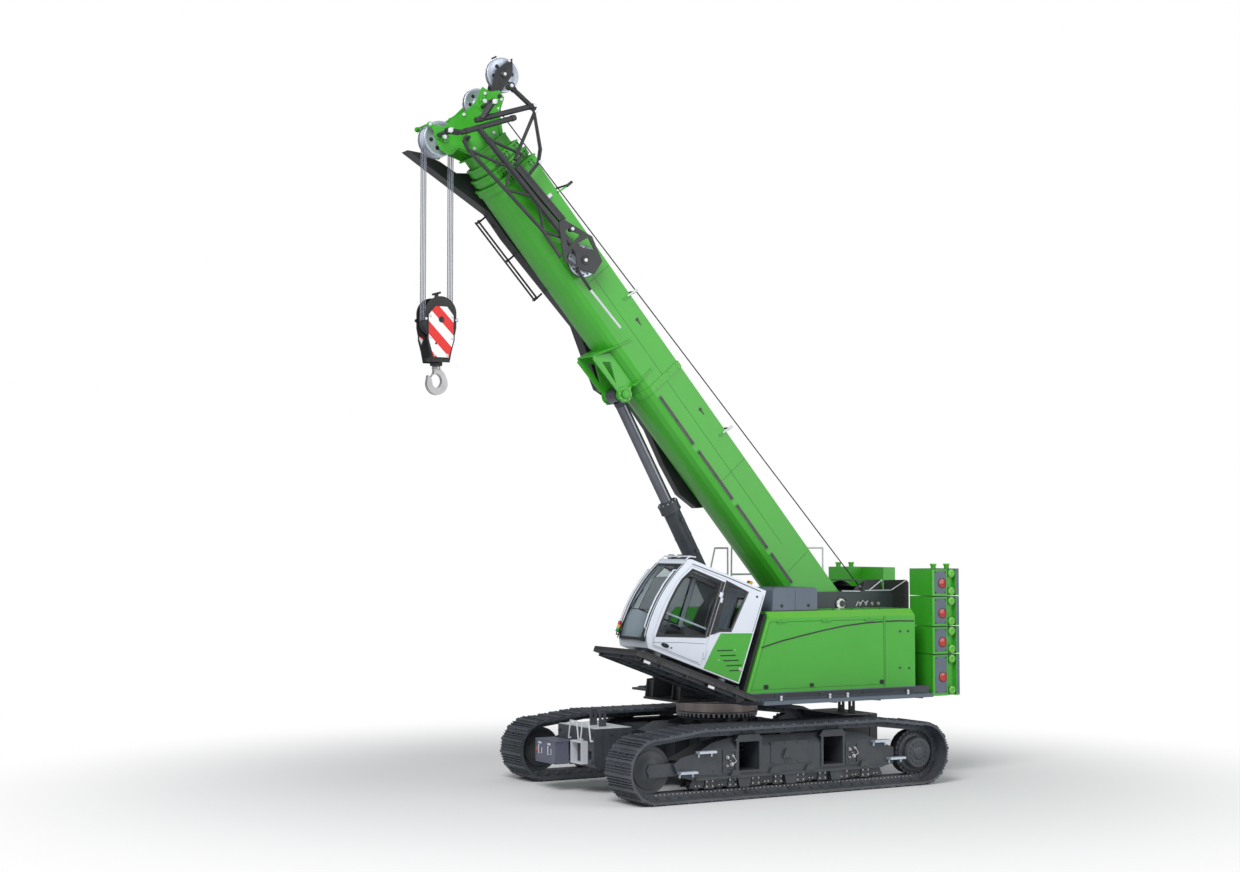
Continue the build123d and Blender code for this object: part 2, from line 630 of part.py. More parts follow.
def walkway(side):
    """The side sill of the upper frame with the walk hung on its outside."""
    front = COVER_FRONT_LOW + (0 if side > 0 else 100)
    body = block(DECK_REAR, COVER_FRONT_LOW, *span(side, DECK_HALF_WIDTH + SEAT_GAP, SIDE_Y), RING_TOP,
                 SILL_TOP)
    body += block(COVER_REAR, front, *span(side, SIDE_Y - SINK, SIDE_Y + WALK_WIDTH), WALK_TOP - 40,
                  WALK_TOP)
    for x in (-2900, -2000, -1100, -200):
        brace = [(side * (SIDE_Y - SINK), RING_TOP), (side * (SIDE_Y - SINK), WALK_TOP - 40 + SINK),
                 (side * (SIDE_Y + WALK_WIDTH - 60), WALK_TOP - 40 + SINK),
                 (side * (SIDE_Y + WALK_WIDTH - 60), WALK_TOP - 65)]
        body += end_profile(brace, x - 8, x + 8)
    return body


put(walkway(1), "left_walkway")
put(walkway(-1), "right_walkway")


def hand_rails():
    """Two rail frames that stand on the right cover."""
    y, r = COVER_BEVEL + 20 - SIDE_Y, 17.0
    low, high = COVER_TOP + 8, COVER_TOP + 1040
    rails = []
    # columns: rear post, front post, place of the front post's top
    for rear, front, top in ((-1135.0, -600.0, -864.0), (-3240.0, -1205.0, -1221.0)):
        middle = (front + top) / 2
        ends = [((rear, low), (rear, high)), ((front, low), (top, high)),
                ((rear - 8, high - 8), (top + 8, high - 8)),
                ((rear, COVER_TOP + 560), (middle, COVER_TOP + 560))]
        frame = [bar((x0, y, z0), (x1, y, z1), r, sides=6) for (x0, z0), (x1, z1) in ends]
        feet = [block(x - 45, x + 45, y - 18, y + 18, COVER_TOP + SEAT_GAP, low + 6) for x in (rear,
                                                                                               front)]
        rails.append(joined(frame + feet))
    return Compound(rails)


put(hand_rails(), "hand_rails")


# ---------------------------------------------------------------- winch and counterweights
INNER_WEIGHT = 270.0


def winch_frame():
    """Side plates of the winch, the left one with two humps over the rope guides, and their ties."""
    rear, front = STACK_FRONT - 310, -2480
    low = 2310
    left = [(rear, low), (front, low), (front, 3000), (-2740, 3180), (-2790, 3350), (-2860, 3390),
            (-3150, 3390),
            (-3190, 3220), (-3260, 3220), (-3260, 3380), (-3730, 3380), (rear, 3330)]
    right = [(rear, low), (front, low), (front, 3000), (-2740, 3180), (rear, 3180)]
    parts = [side_profile(left, *span(1, WINCH_SIDE, WEB_INNER - SEAT_GAP)),
             side_profile(right, *span(-1, WINCH_SIDE, WEB_INNER - SEAT_GAP))]
    reach = WINCH_SIDE + SINK
    # ties: their front, rear, foot and top
    for x0, x1, z0, z1 in ((rear, rear + 20, low, 3180), (-2700, -2520, low, 2340),
                           (-3720, -3400, 3140, 3165)):
        parts.append(block(x0, x1, -reach, reach, z0, z1))
    return joined(parts)


def winch_drum():
    """The hoist drum between two flanges, on a shaft between the side plates."""
    half = WINCH_SIDE - 20
    drum = across(DRUM_X, DRUM_Z, DRUM_RADIUS, -half, half, sides=20)
    for side in (-1, 1):
        drum += across(DRUM_X, DRUM_Z, DRUM_FLANGE, *span(side, half - 22, half), sides=24)
    return drum + across(DRUM_X, DRUM_Z, 80, SEAT_GAP - WINCH_SIDE, WINCH_SIDE - SEAT_GAP)


def counterweight(side):
    """Four plates stacked on lifting posts, with lugs on the top plate."""
    y0, y1 = span(side, STACK_INNER, SIDE_Y)
    parts = []
    for low, high in zip(STACK_LEVELS, STACK_LEVELS[1:]):
        bottom = low if low == STACK_LEVELS[0] else low + 12
        slab = block(STACK_REAR, STACK_FRONT, y0, y1, bottom, high)
        groove = span(side, SIDE_Y - 70, SIDE_Y + 1)
        slab -= block(-3990, -3800, *groove, low - 1, high + 1)
        slab -= block(-3780, -3520, *span(side, SIDE_Y - 8, SIDE_Y + 1), low + 40, high - 30)
        parts.append(slab)
        for z in (low + 70, high - 60):
            parts.append(upright(-3895, side * (SIDE_Y - 60), z - 45, z + 45, 62, sides=8))
    parts.append(block(-3800, -3720, *span(side, STACK_INNER + 150, SIDE_Y - 150), STACK_LEVELS[0] + 5,
                       STACK_LEVELS[-1] - 5))
    for x in (-3895, -3600):
        parts.append(upright(x, side * (SIDE_Y - 130), STACK_LEVELS[-1] - SINK, STACK_LEVELS[-1] + 55, 45,
                             sides=8))
    if side < 0:
        # the upper plates on the right reach in behind the winch
        parts.append(block(STACK_REAR, STACK_FRONT - 320, -STACK_INNER - SINK, -INNER_WEIGHT, 2602,
                           STACK_LEVELS[-1]))
    return joined(parts)


def counterweight_carrier():
    """The beam behind the deck that the two stacks hang on."""
    reach = STACK_INNER - SEAT_GAP
    outline = [(-reach, 1500), (reach, 1500), (reach, 2050), (600, 2300), (-600, 2300), (-reach, 2050)]
    body = end_profile(outline, -3760, DECK_REAR - SEAT_GAP)
    return body - end_profile([(-500, 1650), (500, 1650), (500, 2150), (-500, 2150)], -3761, -3500)


put(winch_frame(), "winch_frame")
put(winch_drum(), "winch_drum")
put(counterweight(1), "left_counterweight")
put(counterweight(-1), "right_counterweight")
put(counterweight_carrier(), "counterweight_carrier")

# ---------------------------------------------------------------- boom
SADDLE_Y = 235.0
BOOM = Pos(AXIS_X, 0, AXIS_Z) * Rot(0, -BOOM_ANGLE, 0)
HEAD_START = BOOM_REACH + 3 * SECTION_SHOW


def boom_face(step):
    """Cross-section of one section: flat top and sides, and an underside rounded by flats."""
    half = BOOM_HALF_WIDTH - step
    top = BOOM_TOP - step
    shoulder = BOOM_SHOULDER + 0.3 * step
    drop = shoulder - (BOOM_BOTTOM + step)
    right = [(half, top)]
    for turn in (0, 25, 45, 65):
        right.append((half * cos(radians(turn)), shoulder - drop * sin(radians(turn))))
    right.append((0.24 * half, shoulder - drop))
    left = [(-y, z) for y, z in reversed(right)]
    return make_face(Polyline(*right, *left, close=True))


def boom_ring(outer_step, inner_step, start, end):
    """A hollow length of boom between two distances along it."""
    plane = Plane(origin=(start, 0, 0), x_dir=(0, 1, 0), z_dir=(1, 0, 0))
    return extrude(plane * (boom_face(outer_step) - boom_face(inner_step)), end - start)


def wear_pads(step, end):
    """Slide pads inside the mouth of a section that the next one runs on."""
    wall = step + BOOM_WALL
    run = step + SECTION_STEP - SEAT_GAP
    start = end - 220
    top, bottom, half = BOOM_TOP, BOOM_BOTTOM, BOOM_HALF_WIDTH
    pads = []
    for y in (-200.0, 200.0):
        pads.append(block(start, end - 20, y - PAD_WIDTH / 2, y + PAD_WIDTH / 2, top - run,
                          top - wall + SINK))
    pads.append(block(start, end - 20, -70, 70, bottom + wall - SINK, bottom + run))
    for side in (-1, 1):
        pads.append(block(start, end - 20, *span(side, half - run, half - wall + SINK), 60,
                          60 + PAD_WIDTH))
    return pads


def section(index, tail):
    """One section of the boom with its collar and the pads in its mouth."""
    step = index * SECTION_STEP
    end = BOOM_REACH + index * SECTION_SHOW
    tube = boom_ring(step, step + BOOM_WALL, tail, end)
    rim = boom_ring(step - 24, step + BOOM_WALL, end - 130, end)
    lip = boom_ring(step - 36, step + BOOM_WALL, end - 30, end)
    return joined([tube, rim, lip] + wear_pads(step, end))


def foot_cheek(side):
    """The plate that joins the boom to its foot pin on one side."""
    s, t = PIN_S, PIN_T
    outline = [(s, t - FOOT_EYE, s - FOOT_EYE, t), (TUBE_START, BOOM_SHOULDER), (700, BOOM_SHOULDER),
               (700, BOOM_TOP), (TUBE_START, BOOM_TOP), (s, t + FOOT_EYE)]
    cheek = side_profile(outline, *span(side, BOOM_HALF_WIDTH - 60, BOOM_HALF_WIDTH))
    cheek -= across(s, t, FOOT_PIN_RADIUS + SEAT_GAP, *span(side, 0, 600))
    hollow = BOOM_HALF_WIDTH - BOOM_WALL - 0.01
    return cheek - block(TUBE_START, 701, -hollow, hollow, -600, 600)


def luff_saddle():
    """The bracket under the boom that holds the rod's pin: two cheeks between two cross plates."""
    s, t = LUFF_S, LUFF_T
    parts = []
    outline = [(s + 627, BOOM_SHOULDER - 50), (s + 27, BOOM_SHOULDER - 50), (s + 17, t + 196),
               (s - 100, t),
               (s - 70, t - 70), (s, t - 100), (s + 147, t - 74), (s + 797, t - 94), (s + 850, t - 64)]
    for side in (-1, 1):
        cheek = side_profile(outline, *span(side, SADDLE_Y, SADDLE_Y + 30))
        cheek -= side_profile([(s + 227, t - 14), (s + 677, t + 6), (s + 577, t + 136)],
                              *span(side, 200, 300))
        boss = across(s, t, 110, *span(side, EYE_HALF_WIDTH + SEAT_GAP, SADDLE_Y + SINK), sides=12)
        parts.append(cheek + boss - across(s, t, LUFF_PIN_RADIUS + SEAT_GAP, *span(side, 0, 600)))
    # cross plates: their place on the boom's side and at the cheeks' lower edge
    wide, narrow = BOOM_HALF_WIDTH + 20, SADDLE_Y + 30
    shoulder, foot = BOOM_SHOULDER - 10, t - 74
    trim = [(-wide, -20), (wide, -20), (wide, shoulder), (narrow, foot), (-narrow, foot),
            (-wide, shoulder)]
    for s_top, s_low, t_low in ((s + 650, s + 837, t - 64), (s + 47, s + 17, t + 186)):
        plate = side_profile([(s_top, -20), (s_top + 20, -20), (s_low + 20, t_low), (s_low, t_low)],
                             -wide, wide)
        parts.append(plate & end_profile(trim, s - 60, s + 950))
    core = Plane(origin=(s - 250, 0, 0), x_dir=(0, 1, 0), z_dir=(1, 0, 0))
    return joined(parts) - extrude(core * boom_face(BOOM_WALL / 2), 1300)


def guide_posts():
    """The posts that keep the hoist rope over the middle of the boom's back."""
    posts = []
    # columns: place along the boom, foot and top of the post
    for s, low, high in ((BOOM_REACH - 753, BOOM_TOP - 20, 730.0), (BOOM_REACH - 2823, 290.0, 570.0),
                         (3800.0, 300.0, 560.0)):
        for side in (-1, 1):
            y = side * (BOOM_HALF_WIDTH + 8)
            posts.append(bar((s + 15, y, low), (s - 15, y, high), 14, sides=6))
    return posts


def base_section():
    body = section(0, TUBE_START)
    pieces = [foot_cheek(1), foot_cheek(-1), luff_saddle()] + guide_posts()
    # a band round the section behind the saddle, and the cover strips low on each side
    pieces.append(boom_ring(-14, 1, LUFF_S - 273, LUFF_S - 153))
    for start, end in ((960, 1640), (1740, 2720), (2830, 3900), (4030, 5060)):
        for side in (-1, 1):
            y0, y1 = span(side, BOOM_HALF_WIDTH - SINK, BOOM_HALF_WIDTH + 14)
            pieces.append(block(start, end, y0, y1, -238, -170))
    body = body.fuse(*pieces)
    for s in (6240.0, 4340.0):
        for side in (-1, 1):
            skin = span(side, BOOM_HALF_WIDTH - 6, BOOM_HALF_WIDTH + 1)
            body -= side_profile([(s - 70, 280), (s + 30, 265), (s + 60, 245), (s + 95, 287),
                                  (s + 60, 330),
                                  (s + 30, 310), (s - 70, 295)], *skin)
    return body


put(BOOM * base_section(), "boom_base_section")
for index in (1, 2):
    put(BOOM * section(index, 900 + 60 * index), f"boom_section_{index}")
inner_step = 3 * SECTION_STEP
put(BOOM * boom_ring(inner_step, inner_step + BOOM_WALL, 1080, HEAD_START), "boom_section_3")

# ---------------------------------------------------------------- boom head
FRONT_SHEAVE = (HEAD_START + 570, -572.0)
REAR_SHEAVE = (HEAD_START + 610, 385.0)
TOP_SHEAVE = (HEAD_START + 720, 1060.0)
ARM_PIN = (HEAD_START + 515, 668.0)
LOW_LUG = (HEAD_START + 650, -640.0)
HIGH_LUG = (HEAD_START + 560, 290.0)
HEAD_PIN = 50.0
JIB_PIN = 32.0


def head():
    """Two plates in front of the innermost section that hold the sheaves."""
    parts = [block(HEAD_START, HEAD_START + 30, -320, 320, -330, 340)]
    h = HEAD_START
    outline = [(h + 29, -330), (h + 320, -510), (h + 280, -640), (h + 340, -700), (h + 450, -740),
               (h + 590, -712),
               (h + 770, -640), (h + 860, -650), (h + 845, -600), (h + 700, -480), (h + 690,
                                                                                    -200), (h + 670, 60),
               (h + 685, 260), (h + 780, 460), (h + 800, 520), (h + 670, 575), (h + 590, 730), (h + 450,
                                                                                                725),
               (h + 320, 510), (h + 29, 340)]
    for side in (-1, 1):
        y0, y1 = span(side, HEAD_PLATE_Y, HEAD_PLATE_Y + HEAD_PLATE)
        plate = side_profile(outline, y0, y1)
        for s, t in (LOW_LUG, HIGH_LUG):
            plate += across(s, t, 62, *span(side, HEAD_PLATE_Y, HEAD_PLATE_Y + HEAD_PLATE + 20), sides=10)
        for s, t in (FRONT_SHEAVE, REAR_SHEAVE):
            plate += across(s, t, 75, *span(side, HEAD_PLATE_Y, HEAD_PLATE_Y + HEAD_PLATE + 12), sides=12)
        parts.append(plate)
    # rope guards between the plates, each given by its sheave and its angle round it, and the
    # plate that ties them
    for (s, t), radius, angle in ((FRONT_SHEAVE, SHEAVE_RADIUS, -12),
                                  (REAR_SHEAVE, REAR_SHEAVE_RADIUS, 150)):
        reach = radius + RUN_GAP + GUARD_RADIUS
        s += reach * cos(radians(angle))
        t += reach * sin(radians(angle))
        parts.append(across(s, t, GUARD_RADIUS, -HEAD_PLATE_Y - SINK, HEAD_PLATE_Y + SINK, sides=8))
        parts.append(across(s, t, GUARD_RADIUS + 16, HEAD_PLATE_Y, HEAD_PLATE_Y + HEAD_PLATE, sides=8))
        parts.append(across(s, t, GUARD_RADIUS + 16, -HEAD_PLATE_Y - HEAD_PLATE, -HEAD_PLATE_Y, sides=8))
    parts.append(side_profile([(h + 650, -120), (h + 620, 100), (h + 590, 100), (h + 620, -120)],
                              -HEAD_PLATE_Y - SINK, HEAD_PLATE_Y + SINK))
    return joined(parts)


def sheave(s, t, radius, width, pin, pin_reach):
    """Rope sheaves side by side on one pin: a core at the groove bottoms between flanges."""
    wheel = across(s, t, PITCH_RADIUS - ROPE_RADIUS - SEAT_GAP, -width, width, sides=16)
    for side in (-1, 1):
        wheel += across(s, t, radius, *span(side, width - 14, width), sides=20)
    return wheel + across(s, t, pin, -pin_reach, pin_reach)


put(BOOM * head(), "boom_head")
pin_reach = HEAD_PLATE_Y - SEAT_GAP
put(BOOM * sheave(*FRONT_SHEAVE, SHEAVE_RADIUS, 120, HEAD_PIN, pin_reach), "front_head_sheaves")
put(BOOM * sheave(*REAR_SHEAVE, REAR_SHEAVE_RADIUS, 35, HEAD_PIN, pin_reach), "rear_head_sheave")


def top_sheave_arm():
    """The diamond-shaped cheeks that carry the auxiliary sheave above the head."""
    s, t = TOP_SHEAVE
    parts = [across(*ARM_PIN, 28, -pin_reach, pin_reach, sides=8)]
    for side in (-1, 1):
        y0, y1 = span(side, 60, 80)
        cheek = side_profile([(s - 150, t - 480), (s + 140, t - 80), (s + 120, t + 300),
                              (s - 90, t + 130),
                              (s - 240, t - 440)], y0, y1)
        parts.append(cheek + across(s, t, 60, *span(side, 79, 92), sides=12))
    low = [(s - 215, t - 400), (s - 165, t - 400), (s - 165, t - 330), (s - 205, t - 330)]
    parts.append(side_profile(low, -60 - SINK, 60 + SINK))
    return joined(parts)


put(BOOM * top_sheave_arm(), "top_sheave_arm")
put(BOOM * sheave(*TOP_SHEAVE, SHEAVE_RADIUS, 35, 30, 60 - SEAT_GAP), "top_sheave")

# ---------------------------------------------------------------- jib pieces
NEAR_JIB_Y = 640.0


def tube_run(points, y, radius, sides=6):
    """Bars through a row of (s, t) points, given from the end of the innermost section."""
    run = []
    for start, end in zip(points, points[1:]):
        run.append(bar((HEAD_START + start[0], y, start[1]), (HEAD_START + end[0], y, end[1]), radius,
                       sides=sides))
    return run


def near_jib():
    """The lattice jib piece that is pinned to the left of the head and lies back along the boom."""
    y = NEAR_JIB_Y
    members = []
    members += tube_run([(515, -150), (110, 860)], y, 45)
    members += tube_run([(515, -490), (150, 470)], y, 45)
    members += tube_run([(390, -180), (-2330, -10)], y, 55)
    members += tube_run([(400, -520), (230, -550), (-630, -420), (-1540, -300), (-2040, -320)], y, 35)
    members += tube_run([(20, 810), (-360, 20)], y, 30)
    members += tube_run([(110, 860), (20, 810)], y, 38)
    members += tube_run([(580, 715), (60, 838)], y, 45)
    members.append(across(HEAD_START + 585, 715, 60, y - 60, y + 60, sides=8))
    members += tube_run([(110, 850), (-500, 510), (-640, 340), (-700, -10)], y, 30)
    members += tube_run([(250, -210), (-380, 190), (-420, -30)], y, 26)
    members += tube_run([(230, -550), (-410, -130)], y, 26)
    members += tube_run([(-630, -420), (-410, -130)], y, 26)
    members += tube_run([(-630, -420), (-1000, -90)], y, 26)
    members += tube_run([(-1540, -300), (-1150, -90)], y, 26)
    members += tube_run([(-1540, -300), (-1850, -60)], y, 26)
    h = HEAD_START
    beam = [(h - 470, -70), (h - 470, 45), (h - 1610, 150), (h - 1610, 30)]
    members.append(side_profile(beam, y - 35, y + 35))
    outline = [(h - 1580, 90), (h - 1580, -10), (h - 2110, -340), (h - 2600, -30), (h - 2530, 230),
               (h - 2110, 340)]
    cuts = [[(h - 1750, 60), (h - 1750, 0), (h - 1990, -150), (h - 1960, 180)],
            [(h - 2080, 270), (h - 2040, 60), (h - 2130, 60), (h - 2300, 230)],
            [(h - 2080, -270), (h - 2040, -80), (h - 2130, -80), (h - 2300, -190)]]
    end = side_profile(outline, y + 36, y + 60)
    for cut in cuts:
        end -= side_profile(cut, y + 30, y + 70)
    members.append(end)
    members.append(across(h - 2330, -10, 60, y - 90, y + 75, sides=12))
    members.append(across(h - 2330, -10, 270, y - 85, y - 45, sides=20))
    members.append(across(h - 1800, 120, 40, y - 30, y + 75, sides=8))
    # forks on the pins through the head plates
    for (s, t), foot in ((LOW_LUG, (h + 515, -490)), (HIGH_LUG, (h + 470, -50))):
        members.append(across(s, t, JIB_PIN, HEAD_PLATE_Y + HEAD_PLATE + 20 + SEAT_GAP, y + 70, sides=8))
        for side in (-1, 1):
            y0, y1 = y + side * 45 - 10, y + side * 45 + 10
            members.append(across(s, t, 58, y0, y1, sides=8))
            members.append(bar((s, y + side * 45, t), (foot[0], y + side * 45, foot[1]), 38, sides=4))
    return joined(members)


def far_jib():
    """The sheet box jib piece that lies along the right of the boom on two brackets."""
    h = HEAD_START
    top = [(h - 4900, 150), (h - 700, 150), (h - 350, -60), (h - 100, -400), (h + 210, -520),
           (h + 510, -700)]
    low = [(h + 680, -870), (h + 250, -730), (h - 410, -510), (h - 950, -330), (h - 1450, -340),
           (h - 3350, -230),
           (h - 3910, -410), (h - 4440, -570), (h - 4650, -490), (h - 4800, -530), (h - 4900, -300)]
    inner, outer = BOOM_HALF_WIDTH + 60, BOOM_HALF_WIDTH + 300
    body = side_profile(top + low, -outer, -inner)
    hollow = [(h - 4880, 170), (h - 700, 170), (h - 340, -40), (h - 100, -380), (h + 210, -500),
              (h + 300, -540),
              (h + 240, -712), (h - 410, -492), (h - 950, -312), (h - 1450, -322), (h - 3350, -212),
              (h - 3910, -392), (h - 4440, -550), (h - 4860, -480)]
    body -= side_profile(hollow, 14 - outer, -inner - 14)
    # the rear piece, which lies nearer to the boom
    rear = [(h - 4723, -100), (h - 4723, -240), (h - 5560, -270), (h - 6230, -420), (h - 6810, -500),
            (h - 7210, -390), (h - 7410, -110), (h - 7410, 60), (h - 4723, 60)]
    rear_hollow = [(h - 5623, 70), (h - 5623, -240), (h - 6243, -380), (h - 6793, -460), (h - 7193, -360),
                   (h - 7383, 70)]
    body += side_profile(rear, -outer + 60, -inner - 20) - side_profile(rear_hollow, -outer + 74,
                                                                        -inner - 34)
    for s in (h - 6723, h - 4423, h - 1323):
        body += block(s, s + 160, -inner - 21, -BOOM_HALF_WIDTH - SEAT_GAP, -60, 55)
    # rope sheave and the handling rail on the outside
    body += across(h - 1190, -200, 150, -outer + 40, -outer + 80, sides=20)
    y = -outer - 60
    for t0, t1 in ((-500, -450), (-440, -390)):
        body += bar((h - 970, y, t0), (h - 2630, y, t1), 18, sides=6)
    for s in (-1000, -1800, -2600):
        body += block(h + s - 15, h + s + 15, y - 15, -outer + SINK, -480, -400)
        body += block(h + s - 15, h + s + 15, -outer - 15, -outer + SINK, -480, -290)
    return body


put(BOOM * near_jib(), "near_jib")
put(BOOM * far_jib(), "far_jib")

# ---------------------------------------------------------------- luffing cylinder
CYLINDER = Pos(LUFF_BASE_X, 0, LUFF_BASE_Z) * Rot(0, -LUFF_SLOPE, 0)


def turned(outline):
    """A body turned about the cylinder's axis from (along, radius) points."""
    face = make_face(Polyline(*[(along, 0, radius) for along, radius in outline], close=True))
    return revolve(face, Axis.X, 360)


def barrel():
    bore = BARREL_RADIUS - BARREL_WALL
    gland = ROD_RADIUS + SEAT_GAP
    shell = turned([(BARREL_EYE - 20, 0), (BARREL_EYE - 20, BARREL_RADIUS),
                    (BARREL_LENGTH - COLLAR_LENGTH, BARREL_RADIUS),
                    (BARREL_LENGTH - COLLAR_LENGTH, BARREL_RADIUS + 28), (BARREL_LENGTH,
                                                                          BARREL_RADIUS + 28),
                    (BARREL_LENGTH, gland), (BARREL_LENGTH - COLLAR_LENGTH, gland),
                    (BARREL_LENGTH - COLLAR_LENGTH, bore), (BARREL_EYE + 60, bore), (BARREL_EYE + 60, 0)])
    eye = across(0, 0, BARREL_EYE, -EYE_HALF_WIDTH, EYE_HALF_WIDTH)
    return shell + eye


def rod():
    tail = BARREL_LENGTH - ROD_HIDDEN
    head = BARREL_RADIUS - BARREL_WALL - SEAT_GAP
    body = turned([(tail, 0), (tail, head), (tail + 90, head), (tail + 90, ROD_RADIUS),
                   (LUFF_RISE - ROD_EYE + 20, ROD_RADIUS),
                   (LUFF_RISE - ROD_EYE + 20, 0)])
    body += across(LUFF_RISE, 0, ROD_EYE, -EYE_HALF_WIDTH, EYE_HALF_WIDTH)
    return body + across(LUFF_RISE, 0, LUFF_PIN_RADIUS, -SADDLE_Y - 60, SADDLE_Y + 60)


put(CYLINDER * barrel(), "luff_cylinder_barrel")
put(CYLINDER * rod(), "luff_cylinder_rod")

# ---------------------------------------------------------------- rope falls and hook
HOOK_X = boom_point(*FRONT_SHEAVE).X
FALL_TOP = boom_point(*FRONT_SHEAVE).Z
FALL_Y = (-90.0, -30.0, 30.0, 90.0)
CHEEK_Y = 150.0
CHEEK = 30.0
BLOCK_LOW = 6900.0
THROAT_Z = 6560.0
THROAT_RADIUS = 80.0

falls = []
for x in (HOOK_X - PITCH_RADIUS, HOOK_X + PITCH_RADIUS):
    for y in FALL_Y:
        falls.append(bar((x, y, BLOCK_SHEAVE_Z), (x, y, FALL_TOP), ROPE_RADIUS, sides=8))
put(Compound(falls), "rope_falls")


def hook_block():
    """Two round-topped cheeks that hold the block's sheaves above the hook's crosshead."""
    x, z = HOOK_X, BLOCK_SHEAVE_Z
    parts = []
    for side in (-1, 1):
        y0, y1 = span(side, CHEEK_Y, CHEEK_Y + CHEEK)
        cheek = side_profile([(x - 150, BLOCK_LOW - 20), (x + 150, BLOCK_LOW - 20), (x + 265, z - 120),
                              (x + 265, z + 90),
                              (x - 265, z + 90, x, z + 370), (x - 265, z - 120)], y0, y1)
        for end in (-1, 1):
            cheek -= side_profile([(x + end * 250, z - 230), (x + end * 130, z - 250),
                                   (x + end * 185, z - 400)],
                                  y0 - 1, y1 + 1)
        parts.append(cheek)
        for reach in (-262, 262):
            parts.append(across(x + reach, z, 30, *span(side, CHEEK_Y + SINK, CHEEK_Y + CHEEK + 12),
                                sides=8))
    reach = CHEEK_Y + SINK
    parts.append(block(x - 140, x + 140, -reach, reach, BLOCK_LOW, BLOCK_LOW + 55))
    parts.append(block(x - 60, x + 60, -reach, reach, z + 315, z + 345))
    parts.append(block(x - 15, x + 15, -45, 45, z + 344, z + 430))
    return joined(parts)


def hook():
    """A forged single hook on its shank, with the latch across its throat."""
    x, z = HOOK_X, THROAT_Z
    r = THROAT_RADIUS
    outline = [(x + 48, z + 230), (x + 48, z + 150), (x, z - r, x - r, z), (x + r, z, x + 57, z - 56),
               (x + 95, z + 70), (x + 152, z + 118), (x + 172, z), (x, z - 190, x + 122, z - 134),
               (x - 185, z, x - 132, z - 131), (x - 48, z + 230, x - 140, z + 132)]
    body = side_profile(outline, -42, 42)
    body += upright(x, 0, z + 229, BLOCK_LOW - SEAT_GAP, 45)
    latch = side_profile([(x + 40, z + 165), (x + 100, z + 100), (x + 88, z + 88), (x + 30, z + 148)],
                         -20, 20)
    return body + latch


put(hook_block(), "hook_block")
put(sheave(HOOK_X, BLOCK_SHEAVE_Z, PITCH_RADIUS + 12, 120, HEAD_PIN, CHEEK_Y - SEAT_GAP), "block_sheaves")
put(hook(), "hook")

# ---------------------------------------------------------------- cab
CAB = Pos(CAB_X, 0, CAB_Z) * Rot(0, -CAB_TILT, 0)
DOOR_REAR = 800.0
PANEL_OUTLINE = [(20, 20), (735, 20), (680, 350), (640, 530), (610, 655), (20, 855)]
QUARTER_WINDOW = [(735, 610), (640, 680), (430, 750), (330, 1450), (735, 1480)]
RIGHT_WINDOW = [(900, 650), (1730, 650), (1630, 1220), (1480, 1480), (900, 1480)]
RIGHT_REAR_WINDOW = [(300, 700), (840, 700), (840, 1480), (300, 1480)]
DOOR_OUTLINE = [(DOOR_REAR, 50), (1760, 50), (1810, 200), (1650, 1240, 1780, 720), (1500, 1500),
                (DOOR_REAR, 1500)]
DOOR_GLASS = [(860, 505), (1750, 225), (1600, 1230, 1722, 720), (1465, 1445), (860, 1445)]
PANEL_SINK = 30.0
WINDOW_INSET = 8.0
LUG_Y = (730.0, 1350.0)   # middle of the two rails and hinge lugs under the cab
RAIL_TOP = -45.0


def cab_outline(inset=0.0):
    """The cab from its side: level floor and roof, leaning front with a curved screen."""
    i = inset
    return [(i, i), (1830 - 0.8 * i, i), (1930 - i, 180 + 0.3 * i),
            (1600 - 0.9 * i, 1545 - 0.5 * i, 1900 - i, 760),
            (1540 - 0.3 * i, CAB_HEIGHT - i), (i, CAB_HEIGHT - i)]


SCREEN = (1300.0, 2200.0, CAB_Y0 + 60, CAB_Y1 - 60, 90.0, 1480.0)
REAR_WINDOW = (-10.0, 60.0, CAB_Y0 + 120, CAB_Y1 - 120, 900.0, 1450.0)
ROOF_WINDOW = (700.0, 1400.0, CAB_Y0 + 150, CAB_Y1 - 150, 1530.0, 1600.0)


def drawn_in(box, gap):
    """The box with each side moved in by a gap."""
    x0, x1, y0, y1, z0, z1 = box
    return block(x0 + gap, x1 - gap, y0 + gap, y1 - gap, z0 + gap, z1 - gap)


def cab_frame():
    """The hollow cab shell with its window and door openings, rear hinge lugs and rubber feet."""
    wall = CAB_WALL
    shell = side_profile(cab_outline(), CAB_Y0, CAB_Y1) - side_profile(cab_outline(wall), CAB_Y0 + wall,
                                                                       CAB_Y1 - wall)
    left = (CAB_Y1 - wall - 5, CAB_Y1 + 5)
    right = (CAB_Y0 - 5, CAB_Y0 + wall + 5)
    shell -= side_profile(DOOR_OUTLINE, *left)
    shell -= side_profile(QUARTER_WINDOW, *left)
    shell -= side_profile(RIGHT_WINDOW, *right)
    shell -= side_profile(RIGHT_REAR_WINDOW, *right)
    shell -= side_profile(PANEL_OUTLINE, CAB_Y1 - PANEL_SINK, CAB_Y1 + 5)
    for box in (SCREEN, REAR_WINDOW, ROOF_WINDOW):
        shell -= block(*box)
    for x in (250, 1550):
        for y in LUG_Y:
            shell += upright(x, y, RAIL_TOP + SEAT_GAP, SINK, 60, sides=8)
    for z in (170, 1120):
        shell += door_knuckle(z, z + 80 - SEAT_GAP)
        shell += block(DOOR_REAR - 45, DOOR_REAR - 4, CAB_Y1 - SINK, CAB_Y1 + 8, z, z + 80 - SEAT_GAP)
    return shell


def door_knuckle(z0, z1):
    return upright(DOOR_REAR - 3, CAB_Y1 + 12, z0, z1, 12)


